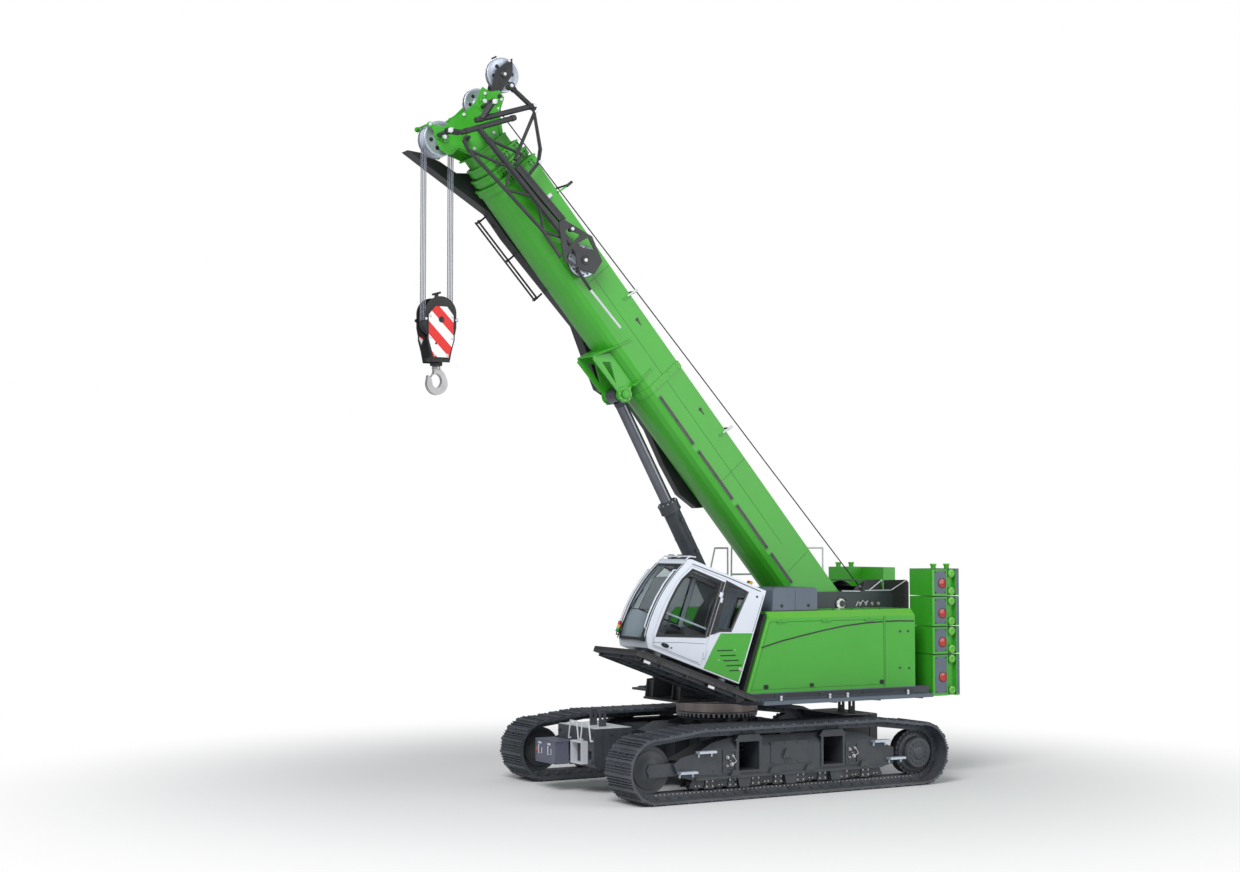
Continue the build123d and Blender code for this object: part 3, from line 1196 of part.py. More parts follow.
def cab_door():
    """The door leaf with its window opening, the bar inside the glass, and hinge knuckles."""
    leaf = side_profile(DOOR_OUTLINE, CAB_Y1 - CAB_WALL, CAB_Y1, RUN_GAP)
    leaf -= side_profile(DOOR_GLASS, CAB_Y1 - CAB_WALL - 5, CAB_Y1 + 5)
    leaf += side_profile([(855, 622), (1735, 622), (1735, 650), (855, 650)], CAB_Y1 - CAB_WALL,
                         CAB_Y1 - WINDOW_INSET - GLASS - SEAT_GAP)
    for z in (250, 1200):
        leaf += door_knuckle(z, z + 80)
        leaf += block(DOOR_REAR + 2, DOOR_REAR + 45, CAB_Y1 - SINK, CAB_Y1 + 8, z, z + 80)
    return leaf


def cab_glass():
    """The fixed panes, each within its opening."""
    near = (CAB_Y1 - WINDOW_INSET - GLASS, CAB_Y1 - WINDOW_INSET)
    far = (CAB_Y0 + WINDOW_INSET, CAB_Y0 + WINDOW_INSET + GLASS)
    bent = side_profile(cab_outline(WINDOW_INSET), CAB_Y0, CAB_Y1)
    bent -= side_profile(cab_outline(WINDOW_INSET + GLASS), CAB_Y0 - 5, CAB_Y1 + 5)
    panes = [bent & drawn_in(SCREEN, SEAT_GAP)]
    panes.append(side_profile(QUARTER_WINDOW, *near, SEAT_GAP))
    panes.append(side_profile(RIGHT_WINDOW, *far, SEAT_GAP))
    panes.append(side_profile(RIGHT_REAR_WINDOW, *far, SEAT_GAP))
    panes.append(drawn_in((WINDOW_INSET, WINDOW_INSET + GLASS, *REAR_WINDOW[2:]), SEAT_GAP / 2))
    panes.append(drawn_in((*ROOF_WINDOW[:4], CAB_HEIGHT - WINDOW_INSET - GLASS,
                           CAB_HEIGHT - WINDOW_INSET), SEAT_GAP / 2))
    return Compound(panes)


def rear_panel():
    """The panel low behind the door with its five air slots."""
    panel = side_profile(PANEL_OUTLINE, CAB_Y1 - PANEL_SINK + SEAT_GAP, CAB_Y1, 3)
    for slot in range(5):
        shift = slot / 4
        x, z = 440 - 330 * shift, 420 - 230 * shift
        turn = Pos(x, CAB_Y1, z) * Rot(0, CAB_TILT, 0)
        panel -= turn * block(-150, 150, -16, 5, -11, 11)
    return panel


def seat():
    """The driver's seat on its pedestal, with an arm console on each side."""
    middle = (CAB_Y0 + CAB_Y1) / 2
    parts = [block(860, 1120, middle - 130, middle + 130, CAB_WALL + SEAT_GAP, 331)]
    cushion = [(700, 330), (1240, 330), (1270, 400), (1200, 455), (860, 440), (740, 1150), (640, 1150),
               (650, 420)]
    parts.append(side_profile(cushion, middle - 240, middle + 240))
    for side in (-1, 1):
        y0, y1 = span(side, 239, 300)
        arm = [(820, 450), (1180, 470), (1200, 600), (840, 560)]
        parts.append(Pos(0, middle, 0) * side_profile(arm, y0, y1))
        parts.append(upright(1130, middle + side * 270, 590, 720, 16, sides=8))
    return joined(parts)


def platform():
    """The tilting platform with the rails that carry the cab and the walk along its left side."""
    inner = CAB_Y0 - 20
    floor = block(0, PLATFORM_FRONT, inner, PLATFORM_OUTER, PLATFORM_LOW, PLATFORM_TOP)
    floor += block(-110, 1, CAB_Y1 + 20, PLATFORM_OUTER, PLATFORM_LOW, PLATFORM_TOP)
    floor -= block(60, PLATFORM_FRONT - 60, CAB_Y1 + 40, PLATFORM_OUTER - 50, PLATFORM_TOP - 14,
                   PLATFORM_TOP + 1)
    parts = [floor]
    x, z = CAB_HINGE
    for y in LUG_Y:
        parts.append(block(60, 1760, y - 50, y + 50, PLATFORM_TOP - SINK, RAIL_TOP))
        parts.append(side_profile([(x, z - 45, x - 45, z), (80, PLATFORM_TOP - SINK), (80, RAIL_TOP),
                                   (x, z + 45)],
                                  y - 15, y + 15))
    return joined(parts)


put(CAB * cab_frame(), "cab_frame")
put(CAB * cab_glass(), "cab_glass")
put(CAB * rear_panel(), "cab_rear_panel")
put(CAB * cab_door(), "cab_door")
put(CAB * side_profile(DOOR_GLASS, CAB_Y1 - WINDOW_INSET - GLASS, CAB_Y1 - WINDOW_INSET, SEAT_GAP),
    "door_glass")
put(CAB * seat(), "seat")
put(CAB * platform(), "cab_platform")

lamps = []
# columns: front and rear of a lamp, its left and right side, its foot
for x0, x1, y0, y1, z0 in ((1400, 1500, 700, 830, CAB_HEIGHT), (1400, 1500, 980, 1110, CAB_HEIGHT),
                           (1400, 1500, 1280, 1410, CAB_HEIGHT)):
    lamps.append(block(x0, x1, y0, y1, z0 + 20, z0 + 90) + block(x0 + 40, x1 - 40, y0 + 45, y1 - 45,
                                                                z0 + SEAT_GAP, z0 + 21))
for x in (1960.0, 700.0):
    lamps.append(block(x, x + 150, PLATFORM_OUTER - 110, PLATFORM_OUTER - 20, PLATFORM_LOW - 70,
                       PLATFORM_LOW - SEAT_GAP))
put(CAB * Compound(lamps), "work_lamps")
put(CAB * (upright(70, 1060, CAB_HEIGHT + SEAT_GAP, CAB_HEIGHT + 25, 60, sides=16)
           + upright(70, 1060, CAB_HEIGHT + 24, CAB_HEIGHT + 130, 48)), "beacon")


def cab_mount():
    """The beam across the front of the upper frame with the two forks of the cab's hinge."""
    turn = radians(CAB_TILT)
    x = CAB_X + CAB_HINGE[0] * cos(turn) - CAB_HINGE[1] * sin(turn)
    z = CAB_Z + CAB_HINGE[0] * sin(turn) + CAB_HINGE[1] * cos(turn)
    low = DECK_TOP + SEAT_GAP
    parts = [block(x - 70, x + 40, WEB_INNER + WEB_PLATE + SEAT_GAP, LUG_Y[1] + 90, low, low + 90)]
    for y in LUG_Y:
        for y0 in (y - 50, y + 15 + SEAT_GAP):
            y1 = y0 + 35 - SEAT_GAP
            parts.append(side_profile([(x - 60, low + 89), (x + 40, low + 89), (x + 45, z),
                                       (x - 45, z, x, z + 45)], y0, y1))
    return joined(parts)


put(cab_mount(), "cab_mount")
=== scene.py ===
# %% [markdown]
# # A crawler crane, dressed in Blender
# The CAD frame already holds the crane's bodies, joints and main solids. This lesson adds the
# finishes and the small parts on top of it, piece by piece. Everything is in metres: +X points
# forward along the crawlers, +Y to the machine's left, +Z up.

# %% Load the frame
import bpy, bmesh, math
from mathutils import Vector, Matrix


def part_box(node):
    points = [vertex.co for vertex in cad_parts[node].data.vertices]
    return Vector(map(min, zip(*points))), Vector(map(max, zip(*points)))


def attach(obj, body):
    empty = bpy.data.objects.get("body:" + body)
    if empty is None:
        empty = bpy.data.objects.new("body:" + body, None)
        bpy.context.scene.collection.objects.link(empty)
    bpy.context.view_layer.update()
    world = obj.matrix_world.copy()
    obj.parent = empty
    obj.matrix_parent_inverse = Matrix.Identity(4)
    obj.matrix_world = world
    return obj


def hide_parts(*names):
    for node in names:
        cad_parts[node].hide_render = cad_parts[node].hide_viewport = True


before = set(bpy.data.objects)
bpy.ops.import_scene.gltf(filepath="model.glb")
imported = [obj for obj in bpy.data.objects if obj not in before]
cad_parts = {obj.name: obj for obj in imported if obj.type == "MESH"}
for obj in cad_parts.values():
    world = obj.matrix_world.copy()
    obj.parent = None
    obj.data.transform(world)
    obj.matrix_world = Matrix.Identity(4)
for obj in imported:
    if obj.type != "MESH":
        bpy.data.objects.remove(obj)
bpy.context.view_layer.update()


# %% Tools for node trees and objects
def node(tree, kind, values=None, **settings):
    """Adds a node, sets its properties and its sockets' values."""
    made = tree.nodes.new(kind)
    for key, value in settings.items():
        setattr(made, key, value)
    for key, value in (values or {}).items():
        made.inputs[key].default_value = value
    return made


def wire(tree, *ends):
    """Links sockets: each end is (from node, output, to node, input)."""
    for source, output, target, socket in ends:
        tree.links.new(source.outputs[output], target.inputs[socket])


def show(name, data):
    """A new object in the scene that shows some data."""
    made = bpy.data.objects.new(name, data)
    bpy.context.scene.collection.objects.link(made)
    return made


def span(side, a, b):
    """Two distances from the middle of the machine, as a low and a high Y on one side."""
    return sorted((side * a, side * b))


# %% [markdown]
# ## Camera, floor and light
# A long lens from the front left keeps the tall boom free of strong perspective. The floor is a
# pale sheet that catches the crane's shadow. For the camera it fades to the white of the world
# with distance, so no horizon shows. The light is a white world that reaches every side, with one
# large lamp that gives the shadows a direction. Both stay at a plain level, so a colour renders
# about as it is written.

# %% Camera
camera_data = bpy.data.cameras.new("camera")
camera_data.sensor_width = 36.0
camera_data.lens = 56.44
camera_data.clip_end = 400.0
camera = show("camera", camera_data)
camera_place = Vector((17.39, 27.87, 4.10))
heading, rise = -120.298, 3.04    # degrees: the view's heading from +X, and how far it looks up
turn = Matrix.Rotation(math.radians(heading - 90), 4, "Z") @ Matrix.Rotation(math.radians(90 + rise), 4, "X")
camera.matrix_world = Matrix.Translation(camera_place) @ turn
bpy.context.scene.camera = camera
print("camera at", tuple(round(v, 2) for v in camera_place))

# %% World
bpy.context.scene.view_settings.view_transform = "Standard"
world = bpy.data.worlds.new("studio")
bpy.context.scene.world = world
world.use_nodes = True
world_tree = world.node_tree
backdrop = world_tree.nodes["Background"]
backdrop.inputs["Color"].default_value = (1.0, 1.0, 1.0, 1.0)
backdrop.inputs["Strength"].default_value = 1.0
surround = node(world_tree, "ShaderNodeBackground", {"Color": (0.93, 0.96, 1.0, 1.0), "Strength": 0.36})
rays = node(world_tree, "ShaderNodeLightPath")
seen = node(world_tree, "ShaderNodeMath", operation="MAXIMUM")
pick = node(world_tree, "ShaderNodeMixShader")
wire(world_tree, (rays, "Is Camera Ray", seen, 0), (rays, "Is Transmission Ray", seen, 1), (seen, 0, pick, 0),
     (surround, 0, pick, 1), (backdrop, 0, pick, 2), (pick, 0, world_tree.nodes["World Output"], "Surface"))
print("world ready")

# %% Lamps
# columns: name, power in watts, size, place
for name, power, size, place in (("key", 5200.0, 12.0, (16.0, 15.0, 22.0)),
                                 ("fill", 1500.0, 14.0, (-14.0, 20.0, 9.0))):
    lamp_data = bpy.data.lights.new(name, "AREA")
    lamp_data.energy = power
    lamp_data.size = size
    lamp = show(name, lamp_data)
    aim = (Vector(place) - Vector((0.0, 0.0, 4.0))).to_track_quat("Z", "Y")
    lamp.matrix_world = Matrix.Translation(place) @ aim.to_matrix().to_4x4()

# %% Floor
floor_mesh = bpy.data.meshes.new("floor")
reach = 160.0
floor_mesh.from_pydata([(-reach, -reach, 0), (reach, -reach, 0), (reach, reach, 0), (-reach, reach, 0)], [],
                       [(0, 1, 2, 3)])
floor = show("floor", floor_mesh)
floor_paint = bpy.data.materials.new("floor")
floor_paint.use_nodes = True
tree = floor_paint.node_tree
shader = tree.nodes["Principled BSDF"]
shader.inputs["Base Color"].default_value = (0.9, 0.9, 0.9, 1.0)
shader.inputs["Roughness"].default_value = 0.9
place = node(tree, "ShaderNodeTexCoord")
apart = node(tree, "ShaderNodeVectorMath", operation="LENGTH")
fade = node(tree, "ShaderNodeMapRange", {"From Min": 4.5, "From Max": 13.0}, interpolation_type="SMOOTHSTEP")
glow = node(tree, "ShaderNodeEmission")
rays = node(tree, "ShaderNodeLightPath")
far_seen = node(tree, "ShaderNodeMath", operation="MULTIPLY")
pick = node(tree, "ShaderNodeMixShader")
wire(tree, (place, "Object", apart, 0), (apart, "Value", fade, "Value"), (fade, "Result", far_seen, 0),
     (rays, "Is Camera Ray", far_seen, 1), (far_seen, 0, pick, 0), (shader, 0, pick, 1), (glow, 0, pick, 2),
     (pick, 0, tree.nodes["Material Output"], "Surface"))
floor_mesh.materials.append(floor_paint)
print("floor reaches", reach, "m")

# %% [markdown]
# ## Effects that several finishes share
# Real paint and steel are never one flat colour: dust settles on faces that look up, soil rises
# from the ground, edges are rubbed, and sprayed paint has a fine skin. Each of these effects is a
# node group that puts out a mask or a height, built once and placed in many materials with its own
# values. The shader itself stays in the material.

# %% A small tool for node groups
def start_group(name, inputs, outputs):
    """Makes a shader node group; inputs are (name, value) pairs."""
    group = bpy.data.node_groups.new(name, "ShaderNodeTree")
    for label, value in inputs:
        socket = group.interface.new_socket(label, in_out="INPUT", socket_type="NodeSocketFloat")
        socket.default_value = value
    for label in outputs:
        group.interface.new_socket(label, in_out="OUTPUT", socket_type="NodeSocketFloat")
    return group, group.nodes.new("NodeGroupInput"), group.nodes.new("NodeGroupOutput")

# %% Dust that settles on faces that look up
dust, dust_in, dust_out = start_group("settled_dust", [("Scale", 3.0), ("Amount", 0.5)], ["Mask"])
spot = node(dust, "ShaderNodeTexCoord")
cloud = node(dust, "ShaderNodeTexNoise", {"Detail": 6.0, "Roughness": 0.65})
facing = node(dust, "ShaderNodeNewGeometry")
parts = node(dust, "ShaderNodeSeparateXYZ")
up = node(dust, "ShaderNodeMapRange", {"From Min": -0.1, "From Max": 1.0, "To Min": 0.35, "To Max": 1.0})
patch = node(dust, "ShaderNodeMapRange", {"From Min": 0.42, "From Max": 0.72})
both = node(dust, "ShaderNodeMath", operation="MULTIPLY")
level = node(dust, "ShaderNodeMath", operation="MULTIPLY", use_clamp=True)
wire(dust, (spot, "Object", cloud, "Vector"), (dust_in, "Scale", cloud, "Scale"),
     (cloud, "Fac", patch, "Value"), (facing, "Normal", parts, 0), (parts, "Z", up, "Value"),
     (up, "Result", both, 0), (patch, "Result", both, 1), (both, 0, level, 0), (dust_in, "Amount", level, 1),
     (level, 0, dust_out, "Mask"))

# %% Soil that rises from the ground
soil, soil_in, soil_out = start_group("ground_soil", [("Top", 1.0), ("Amount", 0.5)], ["Mask"])
spot = node(soil, "ShaderNodeTexCoord")
parts = node(soil, "ShaderNodeSeparateXYZ")
splash = node(soil, "ShaderNodeTexNoise", {"Scale": 5.0, "Detail": 8.0, "Roughness": 0.7})
share = node(soil, "ShaderNodeMath", operation="DIVIDE")
low = node(soil, "ShaderNodeMath", {0: 1.25}, operation="SUBTRACT", use_clamp=True)
speck = node(soil, "ShaderNodeMapRange", {"From Min": 0.35, "From Max": 0.7})
both = node(soil, "ShaderNodeMath", operation="MULTIPLY")
level = node(soil, "ShaderNodeMath", operation="MULTIPLY", use_clamp=True)
wire(soil, (spot, "Object", parts, 0), (spot, "Object", splash, "Vector"), (parts, "Z", share, 0),
     (soil_in, "Top", share, 1), (share, 0, low, 1), (splash, "Fac", speck, "Value"), (low, 0, both, 0),
     (speck, "Result", both, 1), (both, 0, level, 0), (soil_in, "Amount", level, 1),
     (level, 0, soil_out, "Mask"))

# %% Edges rubbed by hands, boots and weather
edges, edges_in, edges_out = start_group("rubbed_edges", [("Width", 0.01), ("Amount", 0.5)], ["Mask"])
round_edge = node(edges, "ShaderNodeBevel", samples=3)
flat_face = node(edges, "ShaderNodeNewGeometry")
agree = node(edges, "ShaderNodeVectorMath", operation="DOT_PRODUCT")
rubbed = node(edges, "ShaderNodeMapRange", {"From Min": 0.995, "From Max": 0.9})
spot = node(edges, "ShaderNodeTexCoord")
chips = node(edges, "ShaderNodeTexNoise", {"Scale": 16.0, "Detail": 5.0, "Roughness": 0.7})
chipped = node(edges, "ShaderNodeMapRange", {"From Min": 0.4, "From Max": 0.62})
both = node(edges, "ShaderNodeMath", operation="MULTIPLY")
level = node(edges, "ShaderNodeMath", operation="MULTIPLY", use_clamp=True)
wire(edges, (edges_in, "Width", round_edge, "Radius"), (round_edge, 0, agree, 0),
     (flat_face, "Normal", agree, 1), (agree, "Value", rubbed, "Value"), (spot, "Object", chips, "Vector"),
     (chips, "Fac", chipped, "Value"), (rubbed, "Result", both, 0), (chipped, "Result", both, 1),
     (both, 0, level, 0), (edges_in, "Amount", level, 1), (level, 0, edges_out, "Mask"))

# %% The skin of a surface: fine height and slow change of tone
skin, skin_in, skin_out = start_group("surface_skin", [("Grain", 60.0), ("Drift", 1.5)], ["Height", "Tone"])
spot = node(skin, "ShaderNodeTexCoord")
fine = node(skin, "ShaderNodeTexNoise", {"Detail": 3.0})
slow = node(skin, "ShaderNodeTexNoise", {"Detail": 3.0, "Roughness": 0.6})
wire(skin, (spot, "Object", fine, "Vector"), (spot, "Object", slow, "Vector"),
     (skin_in, "Grain", fine, "Scale"), (skin_in, "Drift", slow, "Scale"), (fine, "Fac", skin_out, "Height"),
     (slow, "Fac", skin_out, "Tone"))
print("shader groups:", [g.name for g in bpy.data.node_groups])

# %% [markdown]
# ## Finishes
# Painted steel, cast steel, bare steel and aluminium differ mostly in colour, roughness and how
# much dust, soil and rubbing they show. One function builds such a finish from named values:
# the tone drifts between two shades, dust and soil cover it, the edges show what is under it,
# and the skin gives a slight bump.

# %% A layered finish for metal and paint
def finish(name, colour, other, rough=0.4, metallic=0.0, coat=0.0, grain=60.0, bump=0.1, drift=1.5,
           dusty=0.3, dust_colour=(0.32, 0.31, 0.29), soiled=0.0, soil_top=1.0, worn=0.0,
           under=(0.35, 0.35, 0.36), edge=0.008):
    """A material for metal or paint; its tone drifts between the shades colour and other."""
    made = bpy.data.materials.new(name)
    made.use_nodes = True
    tree = made.node_tree
    shader = tree.nodes["Principled BSDF"]
    shader.inputs["Metallic"].default_value = metallic
    shader.inputs["Coat Weight"].default_value = coat
    shader.inputs["Coat Roughness"].default_value = 0.08
    surface = node(tree, "ShaderNodeGroup", node_tree=skin)
    surface.inputs["Grain"].default_value = grain
    surface.inputs["Drift"].default_value = drift
    tone = node(tree, "ShaderNodeMix", data_type="RGBA")
    tone.inputs[6].default_value = (*colour, 1.0)
    tone.inputs[7].default_value = (*other, 1.0)
    spread = node(tree, "ShaderNodeMapRange", {"From Min": 0.35, "From Max": 0.65})
    wire(tree, (surface, "Tone", spread, "Value"), (spread, "Result", tone, 0))
    shade = tone.outputs[2]
    roughness = node(tree, "ShaderNodeMapRange", {"To Min": rough * 0.85, "To Max": min(1.0, rough * 1.2)})
    wire(tree, (surface, "Tone", roughness, "Value"))
    dull = roughness.outputs["Result"]
    # columns: effect, its inputs, the colour that it brings, how rough it makes the surface
    layers = []
    if worn:
        layers.append((edges, {"Width": edge, "Amount": worn}, under, 0.35))
    if dusty:
        layers.append((dust, {"Scale": 2.2, "Amount": dusty}, dust_colour, 0.85))
    if soiled:
        layers.append((soil, {"Top": soil_top, "Amount": soiled}, (0.16, 0.145, 0.125), 0.95))
    for group, values, brought, roughened in layers:
        effect = node(tree, "ShaderNodeGroup", node_tree=group)
        for key, value in values.items():
            effect.inputs[key].default_value = value
        over = node(tree, "ShaderNodeMix", data_type="RGBA")
        over.inputs[7].default_value = (*brought, 1.0)
        wire(tree, (effect, "Mask", over, 0))
        tree.links.new(shade, over.inputs[6])
        shade = over.outputs[2]
        rougher = node(tree, "ShaderNodeMix", data_type="FLOAT")
        rougher.inputs[3].default_value = roughened
        wire(tree, (effect, "Mask", rougher, 0))
        tree.links.new(dull, rougher.inputs[2])
        dull = rougher.outputs[0]
    relief = node(tree, "ShaderNodeBump", {"Strength": bump, "Distance": 0.002})
    wire(tree, (surface, "Height", relief, "Height"), (relief, 0, shader, "Normal"))
    tree.links.new(shade, shader.inputs["Base Color"])
    tree.links.new(dull, shader.inputs["Roughness"])
    return made


# %% Paints, steels and plastics of the crane
crane_green = finish("crane_green", (0.046, 0.392, 0.020), (0.052, 0.415, 0.024), rough=0.38, coat=0.2,
                     grain=45.0, bump=0.05, dusty=0.03, worn=0.35, under=(0.20, 0.42, 0.16))
dark_grey = finish("dark_grey", (0.034, 0.042, 0.052), (0.046, 0.055, 0.066), rough=0.42, grain=70.0, bump=0.1,
                   dusty=0.08, worn=0.45, under=(0.16, 0.17, 0.19), soiled=0.25, soil_top=0.9)
jib_grey = finish("jib_grey", (0.020, 0.021, 0.024), (0.032, 0.034, 0.038), rough=0.38, grain=70.0, bump=0.08,
                  dusty=0.12, worn=0.5, under=(0.10, 0.11, 0.12))
slate = finish("slate", (0.100, 0.128, 0.172), (0.112, 0.145, 0.190), rough=0.45, grain=90.0, bump=0.06,
               dusty=0.12, worn=0.3, under=(0.24, 0.27, 0.32))
lilac_grey = finish("lilac_grey", (0.105, 0.115, 0.172), (0.125, 0.132, 0.190), rough=0.42, grain=80.0,
                    bump=0.06, dusty=0.2, worn=0.3, under=(0.25, 0.26, 0.32), soiled=0.3, soil_top=0.8)
track_steel = finish("track_steel", (0.055, 0.064, 0.080), (0.085, 0.098, 0.120), rough=0.5, metallic=0.25,
                     grain=35.0, bump=0.3, dusty=0.10, worn=0.7, under=(0.20, 0.21, 0.23), edge=0.012,
                     soiled=0.35, soil_top=0.5)
cast_steel = finish("cast_steel", (0.030, 0.034, 0.040), (0.048, 0.052, 0.060), rough=0.5, grain=28.0,
                    bump=0.35, dusty=0.15, worn=0.4, under=(0.14, 0.15, 0.17), soiled=0.2, soil_top=0.6)
bright_steel = finish("bright_steel", (0.50, 0.49, 0.50), (0.60, 0.59, 0.59), rough=0.34, metallic=0.85,
                      grain=110.0, bump=0.08, dusty=0.08)
ring_steel = finish("ring_steel", (0.56, 0.50, 0.47), (0.47, 0.40, 0.37), rough=0.36, metallic=0.7, grain=50.0,
                    bump=0.08, dusty=0.05, drift=4.0)
polished_rod = finish("polished_rod", (0.13, 0.135, 0.16), (0.17, 0.175, 0.20), rough=0.24, metallic=0.9,
                      grain=160.0, bump=0.02, dusty=0.0)
aluminium = finish("aluminium", (0.60, 0.66, 0.74), (0.52, 0.58, 0.68), rough=0.36, metallic=0.6, grain=130.0,
                   bump=0.1, dusty=0.06)
cab_white = finish("cab_white", (0.74, 0.79, 0.88), (0.70, 0.75, 0.84), rough=0.28, coat=0.3, grain=60.0,
                   bump=0.03, dusty=0.04, dust_colour=(0.45, 0.44, 0.42))
pin_white = finish("pin_white", (0.72, 0.74, 0.78), (0.64, 0.66, 0.70), rough=0.4, grain=90.0, bump=0.05,
                   dusty=0.1)
black_plastic = finish("black_plastic", (0.012, 0.012, 0.013), (0.020, 0.020, 0.022), rough=0.5, grain=220.0,
                       bump=0.12, dusty=0.08)
console_grey = finish("console_grey", (0.10, 0.10, 0.11), (0.13, 0.13, 0.14), rough=0.55, grain=200.0,
                      bump=0.15, dusty=0.0)
strip_plum = finish("strip_plum", (0.066, 0.048, 0.070), (0.085, 0.066, 0.088), rough=0.5, grain=80.0,
                    bump=0.08, dusty=0.1)
signal_red = finish("signal_red", (0.42, 0.010, 0.006), (0.50, 0.014, 0.008), rough=0.2, coat=0.6, grain=240.0,
                    bump=0.1, dusty=0.0)
black_hook = finish("black_hook", (0.008, 0.008, 0.009), (0.016, 0.016, 0.018), rough=0.36, grain=40.0,
                    bump=0.15, dusty=0.1, worn=0.4, under=(0.09, 0.09, 0.10))
lamp_white = finish("lamp_white", (0.78, 0.80, 0.84), (0.66, 0.69, 0.74), rough=0.12, coat=0.8, grain=300.0,
                    bump=0.2, dusty=0.0)
print("finishes:", len(bpy.data.materials))

# %% [markdown]
# ## Clear and patterned finishes
# The cab's panes are tinted safety glass, and the beacon is a coloured plastic dome. Both are
# solids with two faces, so a light tint in each face is enough. The hook block carries a warning
# pattern of slanting bands, which comes from the plate's own coordinates. The ropes are laid
# strands: a slanting wave along the rope gives their ridges.

# %% Glass and the beacon's dome
def clear(name, colour, rough, ior):
    """A see-through material with a light film of dust."""
    made = bpy.data.materials.new(name)
    made.use_nodes = True
    tree = made.node_tree
    shader = tree.nodes["Principled BSDF"]
    shader.inputs["Transmission Weight"].default_value = 1.0
    shader.inputs["IOR"].default_value = ior
    film = node(tree, "ShaderNodeGroup", node_tree=dust)
    film.inputs["Scale"].default_value = 1.4
    film.inputs["Amount"].default_value = 0.02
    tint = node(tree, "ShaderNodeMix", data_type="RGBA")
    tint.inputs[6].default_value = (*colour, 1.0)
    tint.inputs[7].default_value = (*[0.8 * c for c in colour], 1.0)
    haze = node(tree, "ShaderNodeMapRange", {"To Min": rough, "To Max": rough + 0.03})
    wire(tree, (film, "Mask", tint, 0), (film, "Mask", haze, "Value"), (tint, 2, shader, "Base Color"),
         (haze, "Result", shader, "Roughness"))
    return made


tinted_glass = clear("tinted_glass", (0.62, 0.67, 0.68), 0.0, 1.15)
amber_dome = clear("amber_dome", (0.95, 0.42, 0.02), 0.08, 1.35)

# %% Red and white warning bands
warning_bands = finish("warning_bands", (0.92, 0.93, 0.95), (0.86, 0.87, 0.89), rough=0.35, grain=120.0,
                       bump=0.04, dusty=0.08)
tree = warning_bands.node_tree
shader = tree.nodes["Principled BSDF"]
painted = shader.inputs["Base Color"].links[0].from_socket
spot = node(tree, "ShaderNodeTexCoord")
parts = node(tree, "ShaderNodeSeparateXYZ")
slant = node(tree, "ShaderNodeMath", operation="SUBTRACT")
band = node(tree, "ShaderNodeMath", {1: 0.42}, operation="MODULO")
half = node(tree, "ShaderNodeMath", {1: 0.21}, operation="LESS_THAN")
lifted = node(tree, "ShaderNodeMath", {1: 20.06}, operation="ADD")
red = node(tree, "ShaderNodeMix", data_type="RGBA")
red.inputs[7].default_value = (0.72, 0.025, 0.02, 1.0)
wire(tree, (spot, "Object", parts, 0), (parts, "X", slant, 0), (parts, "Z", slant, 1), (slant, 0, lifted, 0),
     (lifted, 0, band, 0), (band, 0, half, 0), (half, 0, red, 0))
tree.links.new(painted, red.inputs[6])
wire(tree, (red, 2, shader, "Base Color"))

# %% Laid wire rope, for a rope that hangs straight down
def rope_finish(name, colour, direction):
    """Ridges of strands that climb the rope; direction names the wave's axis."""
    made = finish(name, colour, tuple(0.8 * c for c in colour), rough=0.4, metallic=0.5, grain=300.0, bump=0.1,
                  dusty=0.0)
    tree = made.node_tree
    shader = tree.nodes["Principled BSDF"]
    spot = node(tree, "ShaderNodeTexCoord")
    lay = node(tree, "ShaderNodeTexWave", {"Scale": 26.0, "Distortion": 0.0}, wave_type="BANDS",
               bands_direction=direction)
    ridge = node(tree, "ShaderNodeBump", {"Strength": 0.8, "Distance": 0.004})
    wire(tree, (spot, "Object", lay, "Vector"), (lay, "Fac", ridge, "Height"), (ridge, 0, shader, "Normal"))
    return made


fall_rope = rope_finish("fall_rope", (0.20, 0.215, 0.26), "DIAGONAL")
hoist_wire = rope_finish("hoist_wire", (0.045, 0.055, 0.065), "DIAGONAL")
print("clear and patterned finishes ready")

# %% Seat cloth with a plain weave
seat_cloth = finish("seat_cloth", (0.022, 0.022, 0.025), (0.034, 0.034, 0.037), rough=0.85, grain=500.0,
                    bump=0.3, dusty=0.05)
tree = seat_cloth.node_tree
spot = node(tree, "ShaderNodeTexCoord")
weave = node(tree, "ShaderNodeTexBrick", {"Scale": 130.0, "Mortar Size": 0.03})
threads = node(tree, "ShaderNodeBump", {"Strength": 0.5, "Distance": 0.001})
wire(tree, (spot, "Object", weave, "Vector"), (weave, "Fac", threads, "Height"),
     (threads, 0, tree.nodes["Principled BSDF"], "Normal"))

# %% [markdown]
# ## Finishes for the CAD's own nodes
# Every node that stays in view gets one of these finishes. The CAD mesh itself isn't touched.

